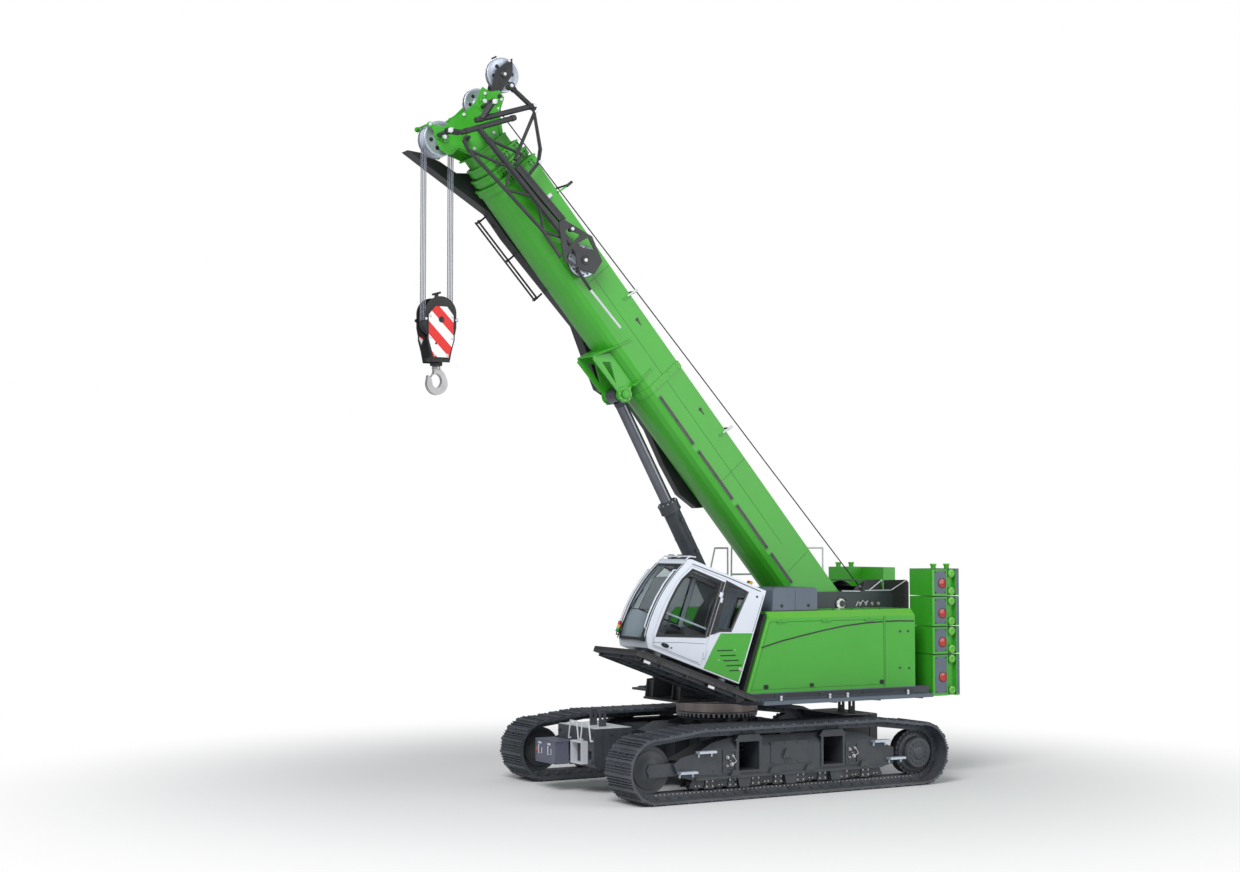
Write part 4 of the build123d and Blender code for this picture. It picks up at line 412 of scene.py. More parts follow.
# %% Give each node its finish
finish_of = {
    crane_green: ("left_cover", "right_cover", "side_flap", "boom_base_section", "boom_section_1",
                  "boom_section_2", "boom_section_3", "boom_head", "left_counterweight", "right_counterweight",
                  "cab_rear_panel"),
    dark_grey: ("centre_frame", "side_frame_left", "side_frame_right", "front_ballast", "rear_ballast",
                "gear_ring", "upper_frame", "counterweight_carrier", "left_walkway", "right_walkway", "engine",
                "cab_mount", "luff_cylinder_barrel", "running_gear_left", "running_gear_right"),
    jib_grey: ("near_jib", "far_jib", "top_sheave_arm", "cab_platform", "winch_frame"),
    track_steel: ("track_left", "track_right"),
    lilac_grey: ("storage_box",),
    slate: ("air_hood",),
    aluminium: ("frame_steps_left", "frame_steps_right"),
    ring_steel: ("slewing_ring",),
    bright_steel: ("boom_foot_pin", "front_head_sheaves", "rear_head_sheave", "top_sheave", "hook"),
    cast_steel: ("winch_drum", "block_sheaves"),
    polished_rod: ("luff_cylinder_rod",),
    cab_white: ("cab_frame", "cab_door"),
    pin_white: ("front_step", "grab_loops", "hand_rails"),
    black_hook: ("hook_block",),
    black_plastic: ("work_lamps",),
    console_grey: ("seat",),
    fall_rope: ("rope_falls",),
    tinted_glass: ("cab_glass", "door_glass"),
    amber_dome: ("beacon",),
}
for material, names in finish_of.items():
    for name in names:
        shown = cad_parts[name]
        shown.data.materials.clear()
        shown.data.materials.append(material)
print("nodes with a finish:", sum(len(names) for names in finish_of.values()), "of", len(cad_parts))

# %% [markdown]
# ## Tools for the small parts
# Most small parts are cut plates, bent tubes and turned pieces. A Maker collects such forms in one
# mesh, in whatever frame suits the part: the machine's, the boom's (+X along the boom) or the
# cab's (+X along its tilted floor). A part then gets a small bevel, so its edges catch the light,
# and rides on its body.

# %% Frames of the boom, the cab and the luffing cylinder
machine = Matrix.Identity(4)
both_sides = ((1, "left"), (-1, "right"))
boom_angle, cab_angle, cylinder_angle = 49.5, 20.0, 60.97    # parked angles above level, in degrees


def tilted(place, angle):
    """A frame whose +X points up at an angle."""
    return Matrix.Translation(place) @ Matrix.Rotation(math.radians(-angle), 4, "Y")


boom = tilted((-2.847, 0.0, 2.75), boom_angle)
cab = tilted((-0.25, 0.0, 1.76), cab_angle)
cylinder = tilted((-1.3495, 0.0, 1.95), cylinder_angle)
slew = Matrix.Translation((-0.8, 0.0, 0.0))
boom_end = 10.023        # where the innermost section ends, along the boom


# %% The Maker
def around(centre, out, across, radius, count):
    """Points evenly round a circle in the plane of two directions."""
    turns = [2 * math.pi * k / count for k in range(count)]
    return [centre + radius * (math.cos(t) * out + math.sin(t) * across) for t in turns]


class Maker:
    """Collects plates, tubes and turned forms in one mesh."""

    def __init__(self, place=machine):
        self.mesh = bmesh.new()
        self.place = place

    def add(self, points, faces):
        made = [self.mesh.verts.new(self.place @ Vector(p)) for p in points]
        for face in faces:
            self.mesh.faces.new([made[i] for i in face])

    def plate(self, outline, low, high, axis="Y"):
        """An outline thickened from low to high along an axis."""
        lift = {"Y": lambda a, b, c: (a, c, b), "X": lambda a, b, c: (c, a, b), "Z": lambda a, b,
                c: (a, b, c)}[axis]
        count = len(outline)
        points = [lift(a, b, low) for a, b in outline] + [lift(a, b, high) for a, b in outline]
        sides = [(i, (i + 1) % count, count + (i + 1) % count, count + i) for i in range(count)]
        self.add(points, [tuple(range(count)), tuple(range(2 * count - 1, count - 1, -1))] + sides)

    def block(self, x0, x1, y0, y1, z0, z1):
        self.plate([(x0, z0), (x1, z0), (x1, z1), (x0, z1)], y0, y1)

    def tube(self, path, radius, sides=10):
        """A round bar along a row of points, with mitred corners and closed ends."""
        path = [Vector(p) for p in path]
        rings = []
        helper = Vector((0.0, 0.0, 1.0))
        for i, point in enumerate(path):
            ahead = (path[min(i + 1, len(path) - 1)] - path[max(i - 1, 0)]).normalized()
            if abs(ahead.dot(helper)) > 0.95:
                helper = Vector((0.0, 1.0, 0.0)) if abs(ahead.y) < 0.9 else Vector((1.0, 0.0, 0.0))
            out = (helper - ahead * helper.dot(ahead)).normalized()
            helper = out
            across = ahead.cross(out)
            rings.append(around(point, out, across, radius, sides))
        points = [p for ring in rings for p in ring]
        faces = [tuple(reversed(range(sides))), tuple(range(len(points) - sides, len(points)))]
        for i in range(len(rings) - 1):
            for k in range(sides):
                a, b = i * sides + k, i * sides + (k + 1) % sides
                faces.append((a, b, b + sides, a + sides))
        self.add(points, faces)

    def turned(self, profile, start, ahead, sides=24):
        """A form turned about an axis from (along, radius) points; it begins and ends on the axis."""
        start, ahead = Vector(start), Vector(ahead).normalized()
        out = ahead.orthogonal().normalized()
        across = ahead.cross(out)
        points, rings = [], []
        for along, radius in profile:
            centre = start + along * ahead
            if radius < 1e-6:
                rings.append([len(points)])
                points.append(centre)
                continue
            rings.append(list(range(len(points), len(points) + sides)))
            points += around(centre, out, across, radius, sides)
        faces = []
        for low, high in zip(rings, rings[1:]):
            for k in range(sides):
                n = (k + 1) % sides
                if len(low) == 1 and len(high) > 1:
                    faces.append((low[0], high[k], high[n]))
                elif len(high) == 1 and len(low) > 1:
                    faces.append((low[k], low[n], high[0]))
                elif len(low) > 1:
                    faces.append((low[k], low[n], high[n], high[k]))
        self.add(points, faces)

    def boss(self, rims, start, ahead, sides=24):
        """A turned form with flat ends; rims are (along, radius) points from its foot to its top."""
        self.turned([(rims[0][0], 0.0), *rims, (rims[-1][0], 0.0)], start, ahead, sides)

    def finish(self, name, body, material, bevel=0.003, smooth=40.0):
        """Turns the collected forms into a piece that rides on a body."""
        bmesh.ops.recalc_face_normals(self.mesh, faces=self.mesh.faces)
        data = bpy.data.meshes.new(name)
        self.mesh.to_mesh(data)
        self.mesh.free()
        data.materials.append(material)
        piece = show(name, data)
        for face in data.polygons:
            face.use_smooth = True
        data.set_sharp_from_angle(angle=math.radians(smooth))
        if bevel:
            soften = piece.modifiers.new("bevel", "BEVEL")
            soften.width = bevel
            soften.segments = 2
            soften.limit_method = "ANGLE"
            soften.angle_limit = math.radians(smooth)
            soften.harden_normals = True
        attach(piece, body)
        return piece


def ring(count, radius):
    """Points (a, b) evenly round a circle."""
    turns = [2 * math.pi * k / count for k in range(count)]
    return [(radius * math.cos(t), radius * math.sin(t)) for t in turns]


print("boom end at", tuple(round(v, 2) for v in boom @ Vector((boom_end, 0, 0))))

# %% [markdown]
# ## A Geometry Nodes tree that sets screws
# Hundreds of hexagon screws hold a crane together. Modelling each by hand would be slow, so a tree
# puts one head with its washer on every point it is given, and turns it to the face it sits on.
# The width and height of the head are inputs, so the same tree makes the small cover screws and
# the large ring screws.

# %% The screw tree
def start_tree(name, inputs):
    """A Geometry Nodes tree with a geometry input and output; inputs are (name, type, value)."""
    tree = bpy.data.node_groups.new(name, "GeometryNodeTree")
    tree.interface.new_socket("Geometry", in_out="INPUT", socket_type="NodeSocketGeometry")
    for label, kind, value in inputs:
        socket = tree.interface.new_socket(label, in_out="INPUT", socket_type=kind)
        if value is not None:
            socket.default_value = value
    tree.interface.new_socket("Geometry", in_out="OUTPUT", socket_type="NodeSocketGeometry")
    return tree, tree.nodes.new("NodeGroupInput"), tree.nodes.new("NodeGroupOutput")


screws, screws_in, screws_out = start_tree("set_screws", [("Width", "NodeSocketFloat", 0.03),
                                                          ("Height", "NodeSocketFloat", 0.015),
                                                          ("Sides", "NodeSocketInt", 6),
                                                          ("Material", "NodeSocketMaterial", None)])
head = node(screws, "GeometryNodeMeshCylinder")
washer = node(screws, "GeometryNodeMeshCylinder", {"Vertices": 12})
half_width = node(screws, "ShaderNodeMath", {1: 0.5}, operation="MULTIPLY")
wide = node(screws, "ShaderNodeMath", {1: 0.72}, operation="MULTIPLY")
thin = node(screws, "ShaderNodeMath", {1: 0.3}, operation="MULTIPLY")
raise_head = node(screws, "ShaderNodeMath", {1: 0.7}, operation="MULTIPLY")
raise_washer = node(screws, "ShaderNodeMath", {1: 0.15}, operation="MULTIPLY")
head_place = node(screws, "ShaderNodeCombineXYZ")
washer_place = node(screws, "ShaderNodeCombineXYZ")
move_head = node(screws, "GeometryNodeTransform")
move_washer = node(screws, "GeometryNodeTransform")
whole = node(screws, "GeometryNodeJoinGeometry")
spots = node(screws, "GeometryNodeMeshToPoints")
facing = node(screws, "GeometryNodeInputNamedAttribute", {"Name": "facing"}, data_type="FLOAT_VECTOR")
aim = node(screws, "FunctionNodeAlignRotationToVector", axis="Z")
lay = node(screws, "GeometryNodeInstanceOnPoints")
real = node(screws, "GeometryNodeRealizeInstances")
dress = node(screws, "GeometryNodeSetMaterial")
wire(screws, (screws_in, "Width", half_width, 0), (screws_in, "Width", wide, 0), (screws_in, "Height", thin, 0),
     (screws_in, "Height", raise_head, 0), (screws_in, "Height", raise_washer, 0),
     (screws_in, "Sides", head, "Vertices"), (half_width, 0, head, "Radius"),
     (screws_in, "Height", head, "Depth"), (wide, 0, washer, "Radius"), (thin, 0, washer, "Depth"),
     (raise_head, 0, head_place, "Z"), (raise_washer, 0, washer_place, "Z"),
     (head, "Mesh", move_head, "Geometry"), (head_place, 0, move_head, "Translation"),
     (washer, "Mesh", move_washer, "Geometry"), (washer_place, 0, move_washer, "Translation"),
     (move_head, 0, whole, 0), (move_washer, 0, whole, 0), (screws_in, "Geometry", spots, "Mesh"),
     (spots, 0, lay, "Points"), (facing, "Attribute", aim, "Vector"), (aim, 0, lay, "Rotation"),
     (whole, 0, lay, "Instance"), (lay, 0, real, 0), (real, 0, dress, "Geometry"),
     (screws_in, "Material", dress, "Material"), (dress, 0, screws_out, 0))
print("screw tree:", len(screws.nodes), "nodes")


# %% Run a tree on a mesh and keep the result as a plain piece
def grow(name, body, source, tree, values, smooth=30.0):
    """Runs a tree on a mesh, makes the result a plain mesh and lets it ride on a body."""
    seed = show(name + "_seed", source)
    run = seed.modifiers.new("grow", "NODES")
    run.node_group = tree
    names = {item.name: item.identifier for item in tree.interface.items_tree if item.in_out == "INPUT"}
    for label, value in values.items():
        run[names[label]] = value
    seen = seed.evaluated_get(bpy.context.evaluated_depsgraph_get())
    data = bpy.data.meshes.new_from_object(seen)
    bpy.data.objects.remove(seed)
    data.name = name
    piece = show(name, data)
    for face in data.polygons:
        face.use_smooth = True
    data.set_sharp_from_angle(angle=math.radians(smooth))
    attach(piece, body)
    return piece


def screw_set(name, body, spots, width, height, material, place=machine, sides=6):
    """Screws at (point, facing) pairs."""
    source = bpy.data.meshes.new(name + "_spots")
    source.from_pydata([place @ Vector(point) for point, _ in spots], [], [])
    aims = source.attributes.new("facing", "FLOAT_VECTOR", "POINT")
    turn = place.to_3x3()
    aims.data.foreach_set("vector", [c for _, way in spots for c in turn @ Vector(way)])
    made = grow(name, body, source, screws, {"Width": width, "Height": height, "Sides": sides,
                                             "Material": material})
    print(name, len(spots), "screws")
    return made

# %% [markdown]
# ## Track chains
# Under the shoes runs a chain of forged links, with a pin at each joint and four screws that hold
# each shoe. The chain follows the loop of the track, so a Geometry Nodes tree lays one link at each
# shoe along that loop and turns it along the run. Only one link is modelled.

# %% The loop that the chain follows
track_middle = -0.907    # along the machine
track_out = 1.805        # across, from the middle of the machine
end_axle = 2.597
end_radius = 0.528
crest = 1.75
crest_top = 1.15
shoe_count = 64


def track_line(inset):
    """The closed loop of a track as points (x, z) about its middle."""
    radius, top = end_radius - inset, crest_top - inset
    drop, run = top - end_radius, end_axle - crest
    lean = math.atan2(drop, run) - math.asin(radius / math.hypot(run, drop))
    turns = [k * (math.pi + lean) / 16 - math.pi / 2 for k in range(17)]
    bow = [(end_axle + radius * math.cos(t), end_radius + radius * math.sin(t)) for t in turns]
    return bow + [(crest, top), (-crest, top)] + [(-x, z) for x, z in reversed(bow)]


loop_mesh = bpy.data.meshes.new("track_loop")
line = track_line(0.052)
loop_mesh.from_pydata([(x, 0.0, z) for x, z in line], [(i, (i + 1) % len(line)) for i in range(len(line))], [])

# %% One link with its pin ends and its shoe screws
link = Maker()
for side in (-1, 1):
    y0, y1 = span(side, 0.072, 0.118)
    link.plate([(-0.105, 0.012), (-0.06, 0.0), (0.06, 0.0), (0.105, 0.012), (0.105, 0.075), (0.06, 0.098),
                (-0.06, 0.098), (-0.105, 0.075)], y0, y1)
    link.boss([(0.0, 0.036), (0.014, 0.036), (0.02, 0.026)], (0.088, side * 0.118, 0.05), (0, side, 0), 10)
    for x in (-0.04, 0.045):
        link.boss([(0.0, 0.017), (0.02, 0.017)], (x, side * 0.1, -0.026), (0, 0, -1), 6)
link_piece = link.finish("link_pattern", "crawler_left", track_steel, bevel=0)

# %% The tree that lays links along the loop
laying, laying_in, laying_out = start_tree("lay_links", [("Count", "NodeSocketInt", 64),
                                                         ("Piece", "NodeSocketObject", None),
                                                         ("Material", "NodeSocketMaterial", None)])
curve = node(laying, "GeometryNodeMeshToCurve")
spread = node(laying, "GeometryNodeResampleCurve")
tangent = node(laying, "GeometryNodeInputTangent")
align = node(laying, "FunctionNodeAlignRotationToVector", axis="X", pivot_axis="Y")
pattern = node(laying, "GeometryNodeObjectInfo")
lay = node(laying, "GeometryNodeInstanceOnPoints")
real = node(laying, "GeometryNodeRealizeInstances")
dress = node(laying, "GeometryNodeSetMaterial")
wire(laying, (laying_in, "Geometry", curve, "Mesh"), (curve, 0, spread, "Curve"),
     (laying_in, "Count", spread, "Count"), (spread, 0, lay, "Points"), (tangent, 0, align, "Vector"),
     (align, 0, lay, "Rotation"), (laying_in, "Piece", pattern, "Object"),
     (pattern, "Geometry", lay, "Instance"), (lay, 0, real, 0), (real, 0, dress, "Geometry"),
     (laying_in, "Material", dress, "Material"), (dress, 0, laying_out, 0))

# %% A chain for each crawler
for side, name in both_sides:
    line_here = loop_mesh.copy()
    line_here.transform(Matrix.Translation((track_middle, side * track_out, 0.0)))
    chain = grow(f"track_chain_{name}", f"crawler_{name}", line_here, laying,
                 {"Count": shoe_count, "Piece": link_piece, "Material": track_steel})
    print(chain.name, len(chain.data.polygons), "faces")
bpy.data.objects.remove(link_piece)

# %% Three low ribs across each shoe, laid by the same tree
loop_outer = bpy.data.meshes.new("shoe_loop")
line = track_line(0.0)
loop_outer.from_pydata([(x, 0.0, z) for x, z in line], [(i, (i + 1) % len(line)) for i in range(len(line))], [])
rib = Maker()
for x in (-0.068, -0.023, 0.023, 0.068):
    rib.plate([(x - 0.009, 0.034), (x + 0.009, 0.034), (x + 0.004, 0.003), (x - 0.004, 0.003)], -0.382, 0.382)
rib_piece = rib.finish("rib_pattern", "crawler_left", track_steel, bevel=0)
for side, name in both_sides:
    line_here = loop_outer.copy()
    line_here.transform(Matrix.Translation((track_middle, side * track_out, 0.0)))
    grow(f"shoe_ribs_{name}", f"crawler_{name}", line_here, laying,
         {"Count": shoe_count, "Piece": rib_piece, "Material": track_steel})
bpy.data.objects.remove(rib_piece)

# %% [markdown]
# ## Side frames
# Each side frame shows its rollers' end caps with bright screws, a hub with a bolted cover on the
# drive end, an idler with a dished wheel at the front, plates with coupling ports beside the
# pockets of the cross beams, and perforated treads in the steps. The same function dresses both
# sides, mirrored about the middle of the machine.

# %% Hub, idler and roller ends
def at(side, x, out, z):
    """A point by its place along the track, its distance out from the track's middle, its height."""
    return (track_middle + x, side * (track_out + out), z)


idler_face = [(0.0, 0.0), (0.0, 0.30), (0.012, 0.30), (0.03, 0.20), (0.05, 0.17), (0.06, 0.10), (0.085, 0.085),
              (0.085, 0.0)]
roller_run = 3.5         # from the first roller to the last
roller_row = [(k / 8 - 0.5) * roller_run for k in range(9)]
for side, name in both_sides:
    body = f"crawler_{name}"
    hub = Maker()
    hub.boss([(0.0, 0.335), (0.03, 0.335), (0.045, 0.31), (0.05, 0.262), (0.115, 0.262), (0.13, 0.245),
              (0.148, 0.245), (0.152, 0.225), (0.152, 0.12), (0.175, 0.105), (0.182, 0.09)],
             at(side, -end_axle, 0.085, end_radius), (0, side, 0), 40)
    hub.turned(idler_face, at(side, end_axle, 0.088, end_radius), (0, side, 0), 40)
    hub.turned(idler_face, at(side, end_axle, -0.088, end_radius), (0, -side, 0), 32)
    for tooth in range(26):
        turn = 2 * math.pi * tooth / 26
        a, b = turn - 0.045, turn + 0.045
        rim = [(track_middle - end_axle + r * math.cos(t), end_radius + r * math.sin(t))
               for r, t in ((0.33, a - 0.04), (0.385, a), (0.385, b), (0.33, b + 0.04))]
        y0, y1 = span(side, track_out + 0.086, track_out + 0.1)
        hub.plate(rim, y0, y1)
    for x in roller_row:
        for out in (-1, 1):
            hub.boss([(0.0, 0.062), (0.012, 0.062), (0.02, 0.05)], at(side, x, out * 0.115, 0.233),
                       (0, out * side, 0), 16)
    hub.finish(f"wheel_covers_{name}", body, dark_grey, bevel=0.004)
    spots = [(at(side, -end_axle + a, 0.237, end_radius + b), (0, side, 0)) for a, b in ring(14, 0.175)]
    screw_set(f"hub_screws_{name}", body, spots, 0.032, 0.014, dark_grey)
    spots = [(at(side, x + a, out * 0.135, 0.233), (0, out * side, 0)) for x in roller_row
             for a in (-0.032, 0.032) for out in (-1, 1)]
    screw_set(f"roller_screws_{name}", body, spots, 0.024, 0.012, bright_steel)

# %% Plates, ports and shields on the side frames
def on_frame(maker, side, outline, low, high):
    """A plate on a side frame: points by (place along the track, height), low and high from its middle."""
    maker.plate([(track_middle + a, b) for a, b in outline], *span(side, track_out + low, track_out + high))


face = 0.215             # outer face of a side frame, from the track's middle
for side, name in both_sides:
    body = f"crawler_{name}"
    cover = Maker()
    fittings = Maker()
    for x0 in (0.50, -1.90):
        # a framed port beside a pocket of the cross beams, with its couplings
        for a0, a1, z0, z1 in ((0, 0.26, 0.42, 0.45), (0, 0.26, 0.75, 0.78), (0, 0.03, 0.45, 0.75),
                               (0.23, 0.26, 0.45, 0.75)):
            cover.block(track_middle + x0 + a0 + 0.56, track_middle + x0 + a1 + 0.56,
                        *span(side, track_out + face - 0.004, track_out + face + 0.022), z0, z1)
        on_frame(cover, side, [(x0 + 0.59, 0.45), (x0 + 0.79, 0.45), (x0 + 0.79, 0.75), (x0 + 0.59, 0.75)],
                 face, face + 0.004)
        for a, z, r in ((0.64, 0.68, 0.022), (0.74, 0.66, 0.028), (0.66, 0.55, 0.034), (0.75, 0.53, 0.02),
                        (0.7, 0.61, 0.014)):
            fittings.turned([(0.0, 0.0), (0.0, r), (0.025, r), (0.028, 0.7 * r), (0.05, 0.7 * r), (0.052, 0.0)],
                            at(side, x0 + a, face + 0.002, z), (0, side, 0), 12)
        fittings.tube([at(side, x0 + 0.64, face + 0.045, 0.68), at(side, x0 + 0.6, face + 0.07, 0.6),
                       at(side, x0 + 0.66, face + 0.045, 0.55)], 0.009, 8)
    # the raised middle plate with a small three-cornered gusset, and the cheek over the idler
    on_frame(cover, side, [(-0.42, 0.50), (0.40, 0.50), (0.40, 0.86), (-0.42, 0.86)], face - 0.002,
             face + 0.012)
    on_frame(cover, side, [(0.02, 0.60), (0.19, 0.60), (0.12, 0.75)], face, face + 0.06)
    on_frame(cover, side, [(1.42, 0.40), (2.16, 0.44), (2.24, 0.60), (2.1, 0.70), (1.42, 0.83)], face - 0.002,
             face + 0.016)
    for x in (-1.45, -0.35, 0.35, 1.1):
        on_frame(cover, side, [(x - 0.09, 0.37), (x + 0.09, 0.37), (x + 0.05, 0.46), (x - 0.05, 0.46)], face,
                 face + 0.05)
    # roller guards along the lower run, with bright screws between the rollers
    for out in (-0.135, 0.135):
        on_frame(cover, side, [(-1.9, 0.20), (1.9, 0.20), (1.84, 0.335), (-1.84, 0.335)], out - 0.006,
                 out + 0.006)
    for k in range(8):
        x = (k / 8 - 0.4375) * roller_run
        on_frame(cover, side, [(x - 0.10, 0.18), (x + 0.10, 0.18), (x + 0.06, 0.335), (x - 0.06, 0.335)], 0.141,
                 0.160)
    # pipes on the inner side
    cover.tube([at(side, -1.6, -face - 0.02, 0.78), at(side, -0.4, -face - 0.02, 0.80),
                at(side, 0.35, -face - 0.02, 0.80), at(side, 1.5, -face - 0.02, 0.74)], 0.018, 8)
    cover.tube([at(side, -1.6, -face - 0.02, 0.72), at(side, 1.5, -face - 0.02, 0.70)], 0.014, 8)
    cover.finish(f"frame_plates_{name}", body, dark_grey, bevel=0.004)
    fittings.finish(f"port_fittings_{name}", body, bright_steel, bevel=0.002)
    spots = [(at(side, x, face + 0.012, z), (0, side, 0)) for x in (-0.36, -0.12, 0.12, 0.34)
             for z in (0.53, 0.83)]
    spots += [(at(side, x, face + 0.016, z), (0, side, 0)) for x,
              z in ((1.5, 0.45), (1.8, 0.48), (2.1, 0.52), (1.5, 0.76), (1.8, 0.70))]
    screw_set(f"frame_screws_{name}", body, spots, 0.026, 0.012, dark_grey)
    spots = [(at(side, (k / 8 - 0.4375) * roller_run + a, 0.160, z), (0, side, 0)) for k in range(8)
             for a in (-0.055, 0.055) for z in (0.22, 0.30)]
    spots += [(at(side, (k / 64 - 0.5) * 5.0, 0.118, 0.135), (0, side, 0)) for k in range(65)]
    screw_set(f"guard_screws_{name}", body, spots, 0.022, 0.012, bright_steel)
    treads = Maker()
    for x, z in ((1.66, 0.77), (2.01, 0.47), (-1.77, 0.77), (-2.09, 0.47)):
        inner = 0.216
        for k in range(7):
            a = x - 0.12 + 0.04 * k
            treads.block(track_middle + a - 0.004, track_middle + a + 0.004,
                         *span(side, track_out + inner + 0.022, track_out + inner + 0.103), z + 0.002,
                         z + 0.022)
        for out in (0.04, 0.06, 0.08):
            treads.tube([at(side, x - 0.135, inner + out, z + 0.01),
                         at(side, x + 0.135, inner + out, z + 0.01)], 0.004, 6)
        for end in (-0.12, 0.12):
            on_frame(treads, side, [(x + end - 0.012, z - 0.08), (x + end + 0.012, z - 0.08),
                                    (x + end + 0.012, z - 0.018), (x + end - 0.012, z - 0.018)], inner,
                     inner + 0.03)
    treads.finish(f"step_treads_{name}", body, aluminium, bevel=0.0015)

# %% [markdown]
# ## Bearing, centre frame and front weight
# The slewing bearing is screwed down through a flange, and its white-capped screws show all the
# way round. The front weight has a pale top plate, and a storage box with two handles and a small
# red reflector.

# %% Screws and flange of the slewing bearing
flange = Maker(slew)
flange.boss([(0.0, 0.66), (0.03, 0.66)], (0.0, 0.0, 1.085), (0, 0, 1), 64)
flange.finish("bearing_flange", "undercarriage", dark_grey, bevel=0.004)
spots = [((a, b, 1.189), (0, 0, -1)) for a, b in ring(48, 0.668)]
screw_set("bearing_screws", "superstructure", spots, 0.034, 0.05, pin_white, slew)
rims = Maker(slew)
rims.turned([(0.0, 0.69), (0.012, 0.699), (0.024, 0.699), (0.03, 0.69)], (0, 0, 1.36), (0, 0, 1), 64)
rims.turned([(0.0, 0.69), (0.01, 0.697), (0.02, 0.69)], (0, 0, 1.2), (0, 0, 1), 64)
rims.finish("bearing_rims", "superstructure", ring_steel, bevel=0)

# %% Holes, pipes and valves of the centre frame
centre = Maker()
for side in (-1, 1):
    for x in (-0.55, -0.907, -1.26):
        centre.boss([(0.0, 0.075), (0.02, 0.075), (0.02, 0.055), (0.005, 0.05)], (x, side * 0.64, 0.92),
                      (0, side, 0), 20)
    centre.block(-1.45, -0.45, *span(side, 0.62, 0.70), 1.0, 1.03)
    for x in (-1.25, -0.95, -0.65):
        centre.block(x, x + 0.11, *span(side, 0.64, 0.72), 1.03, 1.12)
    centre.tube([(0.35, side * 0.30, 0.84), (0.6, side * 0.34, 0.90), (0.95, side * 0.36, 0.86),
                 (1.2, side * 0.36, 0.86)], 0.022, 8)
    centre.tube([(0.35, side * 0.24, 0.84), (0.62, side * 0.28, 0.88), (0.95, side * 0.30, 0.84),
                 (1.2, side * 0.30, 0.84)], 0.016, 8)
centre.finish("centre_fittings", "undercarriage", dark_grey, bevel=0.004)

# %% Front and rear weight
weight = Maker()
weight.block(1.24, 1.93, -0.60, 0.60, 1.055, 1.066)
weight.block(-3.74, -3.05, -0.60, 0.60, 1.055, 1.066)
weight.finish("weight_tops", "undercarriage", pin_white, bevel=0.003)
spots = [((1.94, y, z), (1, 0, 0)) for y in (-0.54, 0.54) for z in (0.52, 0.96)]
spots += [((x, 0.6, z), (0, 1, 0)) for x in (1.35, 1.62) for z in (0.5, 0.98)]
spots += [((x, -0.6, z), (0, -1, 0)) for x in (1.35, 1.62) for z in (0.5, 0.98)]
spots += [((-3.75, y, z), (-1, 0, 0)) for y in (-0.54, -0.2, 0.2, 0.54) for z in (0.52, 0.96)]
screw_set("weight_screws", "undercarriage", spots, 0.045, 0.022, dark_grey)
boxed = Maker()
for y in (-0.54, -0.22):
    boxed.tube([(2.31, y, 0.74), (2.335, y, 0.74), (2.335, y, 0.60), (2.31, y, 0.60)], 0.008, 8)
    boxed.block(2.311, 2.318, y - 0.05, y + 0.05, 0.755, 0.785)
    boxed.block(2.311, 2.318, y + 0.06, y + 0.075, 0.6, 0.7)
boxed.finish("box_handles", "undercarriage", pin_white, bevel=0.002)
lid = Maker()
lid.block(1.948, 2.317, -0.70, 0.01, 0.822, 0.834)
lid.block(2.311, 2.319, -0.685, -0.005, 0.46, 0.49)
lid.block(2.311, 2.319, -0.685, -0.67, 0.46, 0.82)
lid.block(2.311, 2.319, -0.02, -0.005, 0.46, 0.82)
lid.finish("box_lid", "undercarriage", lilac_grey, bevel=0.003)
mark = Maker()
mark.plate([(-0.675, 0.63), (-0.585, 0.63), (-0.63, 0.71)], 2.318, 2.326, "X")
mark.finish("box_reflector", "undercarriage", signal_red, bevel=0.002)
# %% [markdown]
# ## Rows of equal parts
# Gratings, louvres and rungs are one bar repeated at even steps, so a second tree lays a pattern
# piece in a row. Two small helpers draw strips along a line and hoops along the edge of a window.

# %% The row tree and two outline helpers
rows, rows_in, rows_out = start_tree("lay_row", [("Count", "NodeSocketInt", 10),
                                                 ("Step", "NodeSocketVector", (0.1, 0.0, 0.0)),
                                                 ("Piece", "NodeSocketObject", None),
                                                 ("Material", "NodeSocketMaterial", None)])
points_on = node(rows, "GeometryNodeMeshLine", mode="OFFSET")
pattern = node(rows, "GeometryNodeObjectInfo")
lay = node(rows, "GeometryNodeInstanceOnPoints")
real = node(rows, "GeometryNodeRealizeInstances")
dress = node(rows, "GeometryNodeSetMaterial")
wire(rows, (rows_in, "Count", points_on, "Count"), (rows_in, "Step", points_on, "Offset"),
     (points_on, 0, lay, "Points"), (rows_in, "Piece", pattern, "Object"),
     (pattern, "Geometry", lay, "Instance"), (lay, 0, real, 0), (real, 0, dress, "Geometry"),
     (rows_in, "Material", dress, "Material"), (dress, 0, rows_out, 0))


def row(name, body, maker, count, step, material, bevel=0.0):
    """Lays what a Maker holds in a row of equal steps."""
    piece = maker.finish(name + "_pattern", body, material, bevel=bevel)
    made = grow(name, body, bpy.data.meshes.new(name + "_line"), rows,
                {"Count": count, "Step": step, "Piece": piece, "Material": material})
    bpy.data.objects.remove(piece)
    print(name, count, "bars")
    return made


def strip(line, width):
    """The outline of a strip of even width along a row of (a, b) points."""
    upper, lower = [], []
    for i, (a, b) in enumerate(line):
        a0, b0 = line[max(i - 1, 0)]
        a1, b1 = line[min(i + 1, len(line) - 1)]
        length = math.hypot(a1 - a0, b1 - b0)
        da, db = -(b1 - b0) / length * width / 2, (a1 - a0) / length * width / 2
        upper.append((a + da, b + db))
        lower.append((a - da, b - db))
    return upper + lower[::-1]


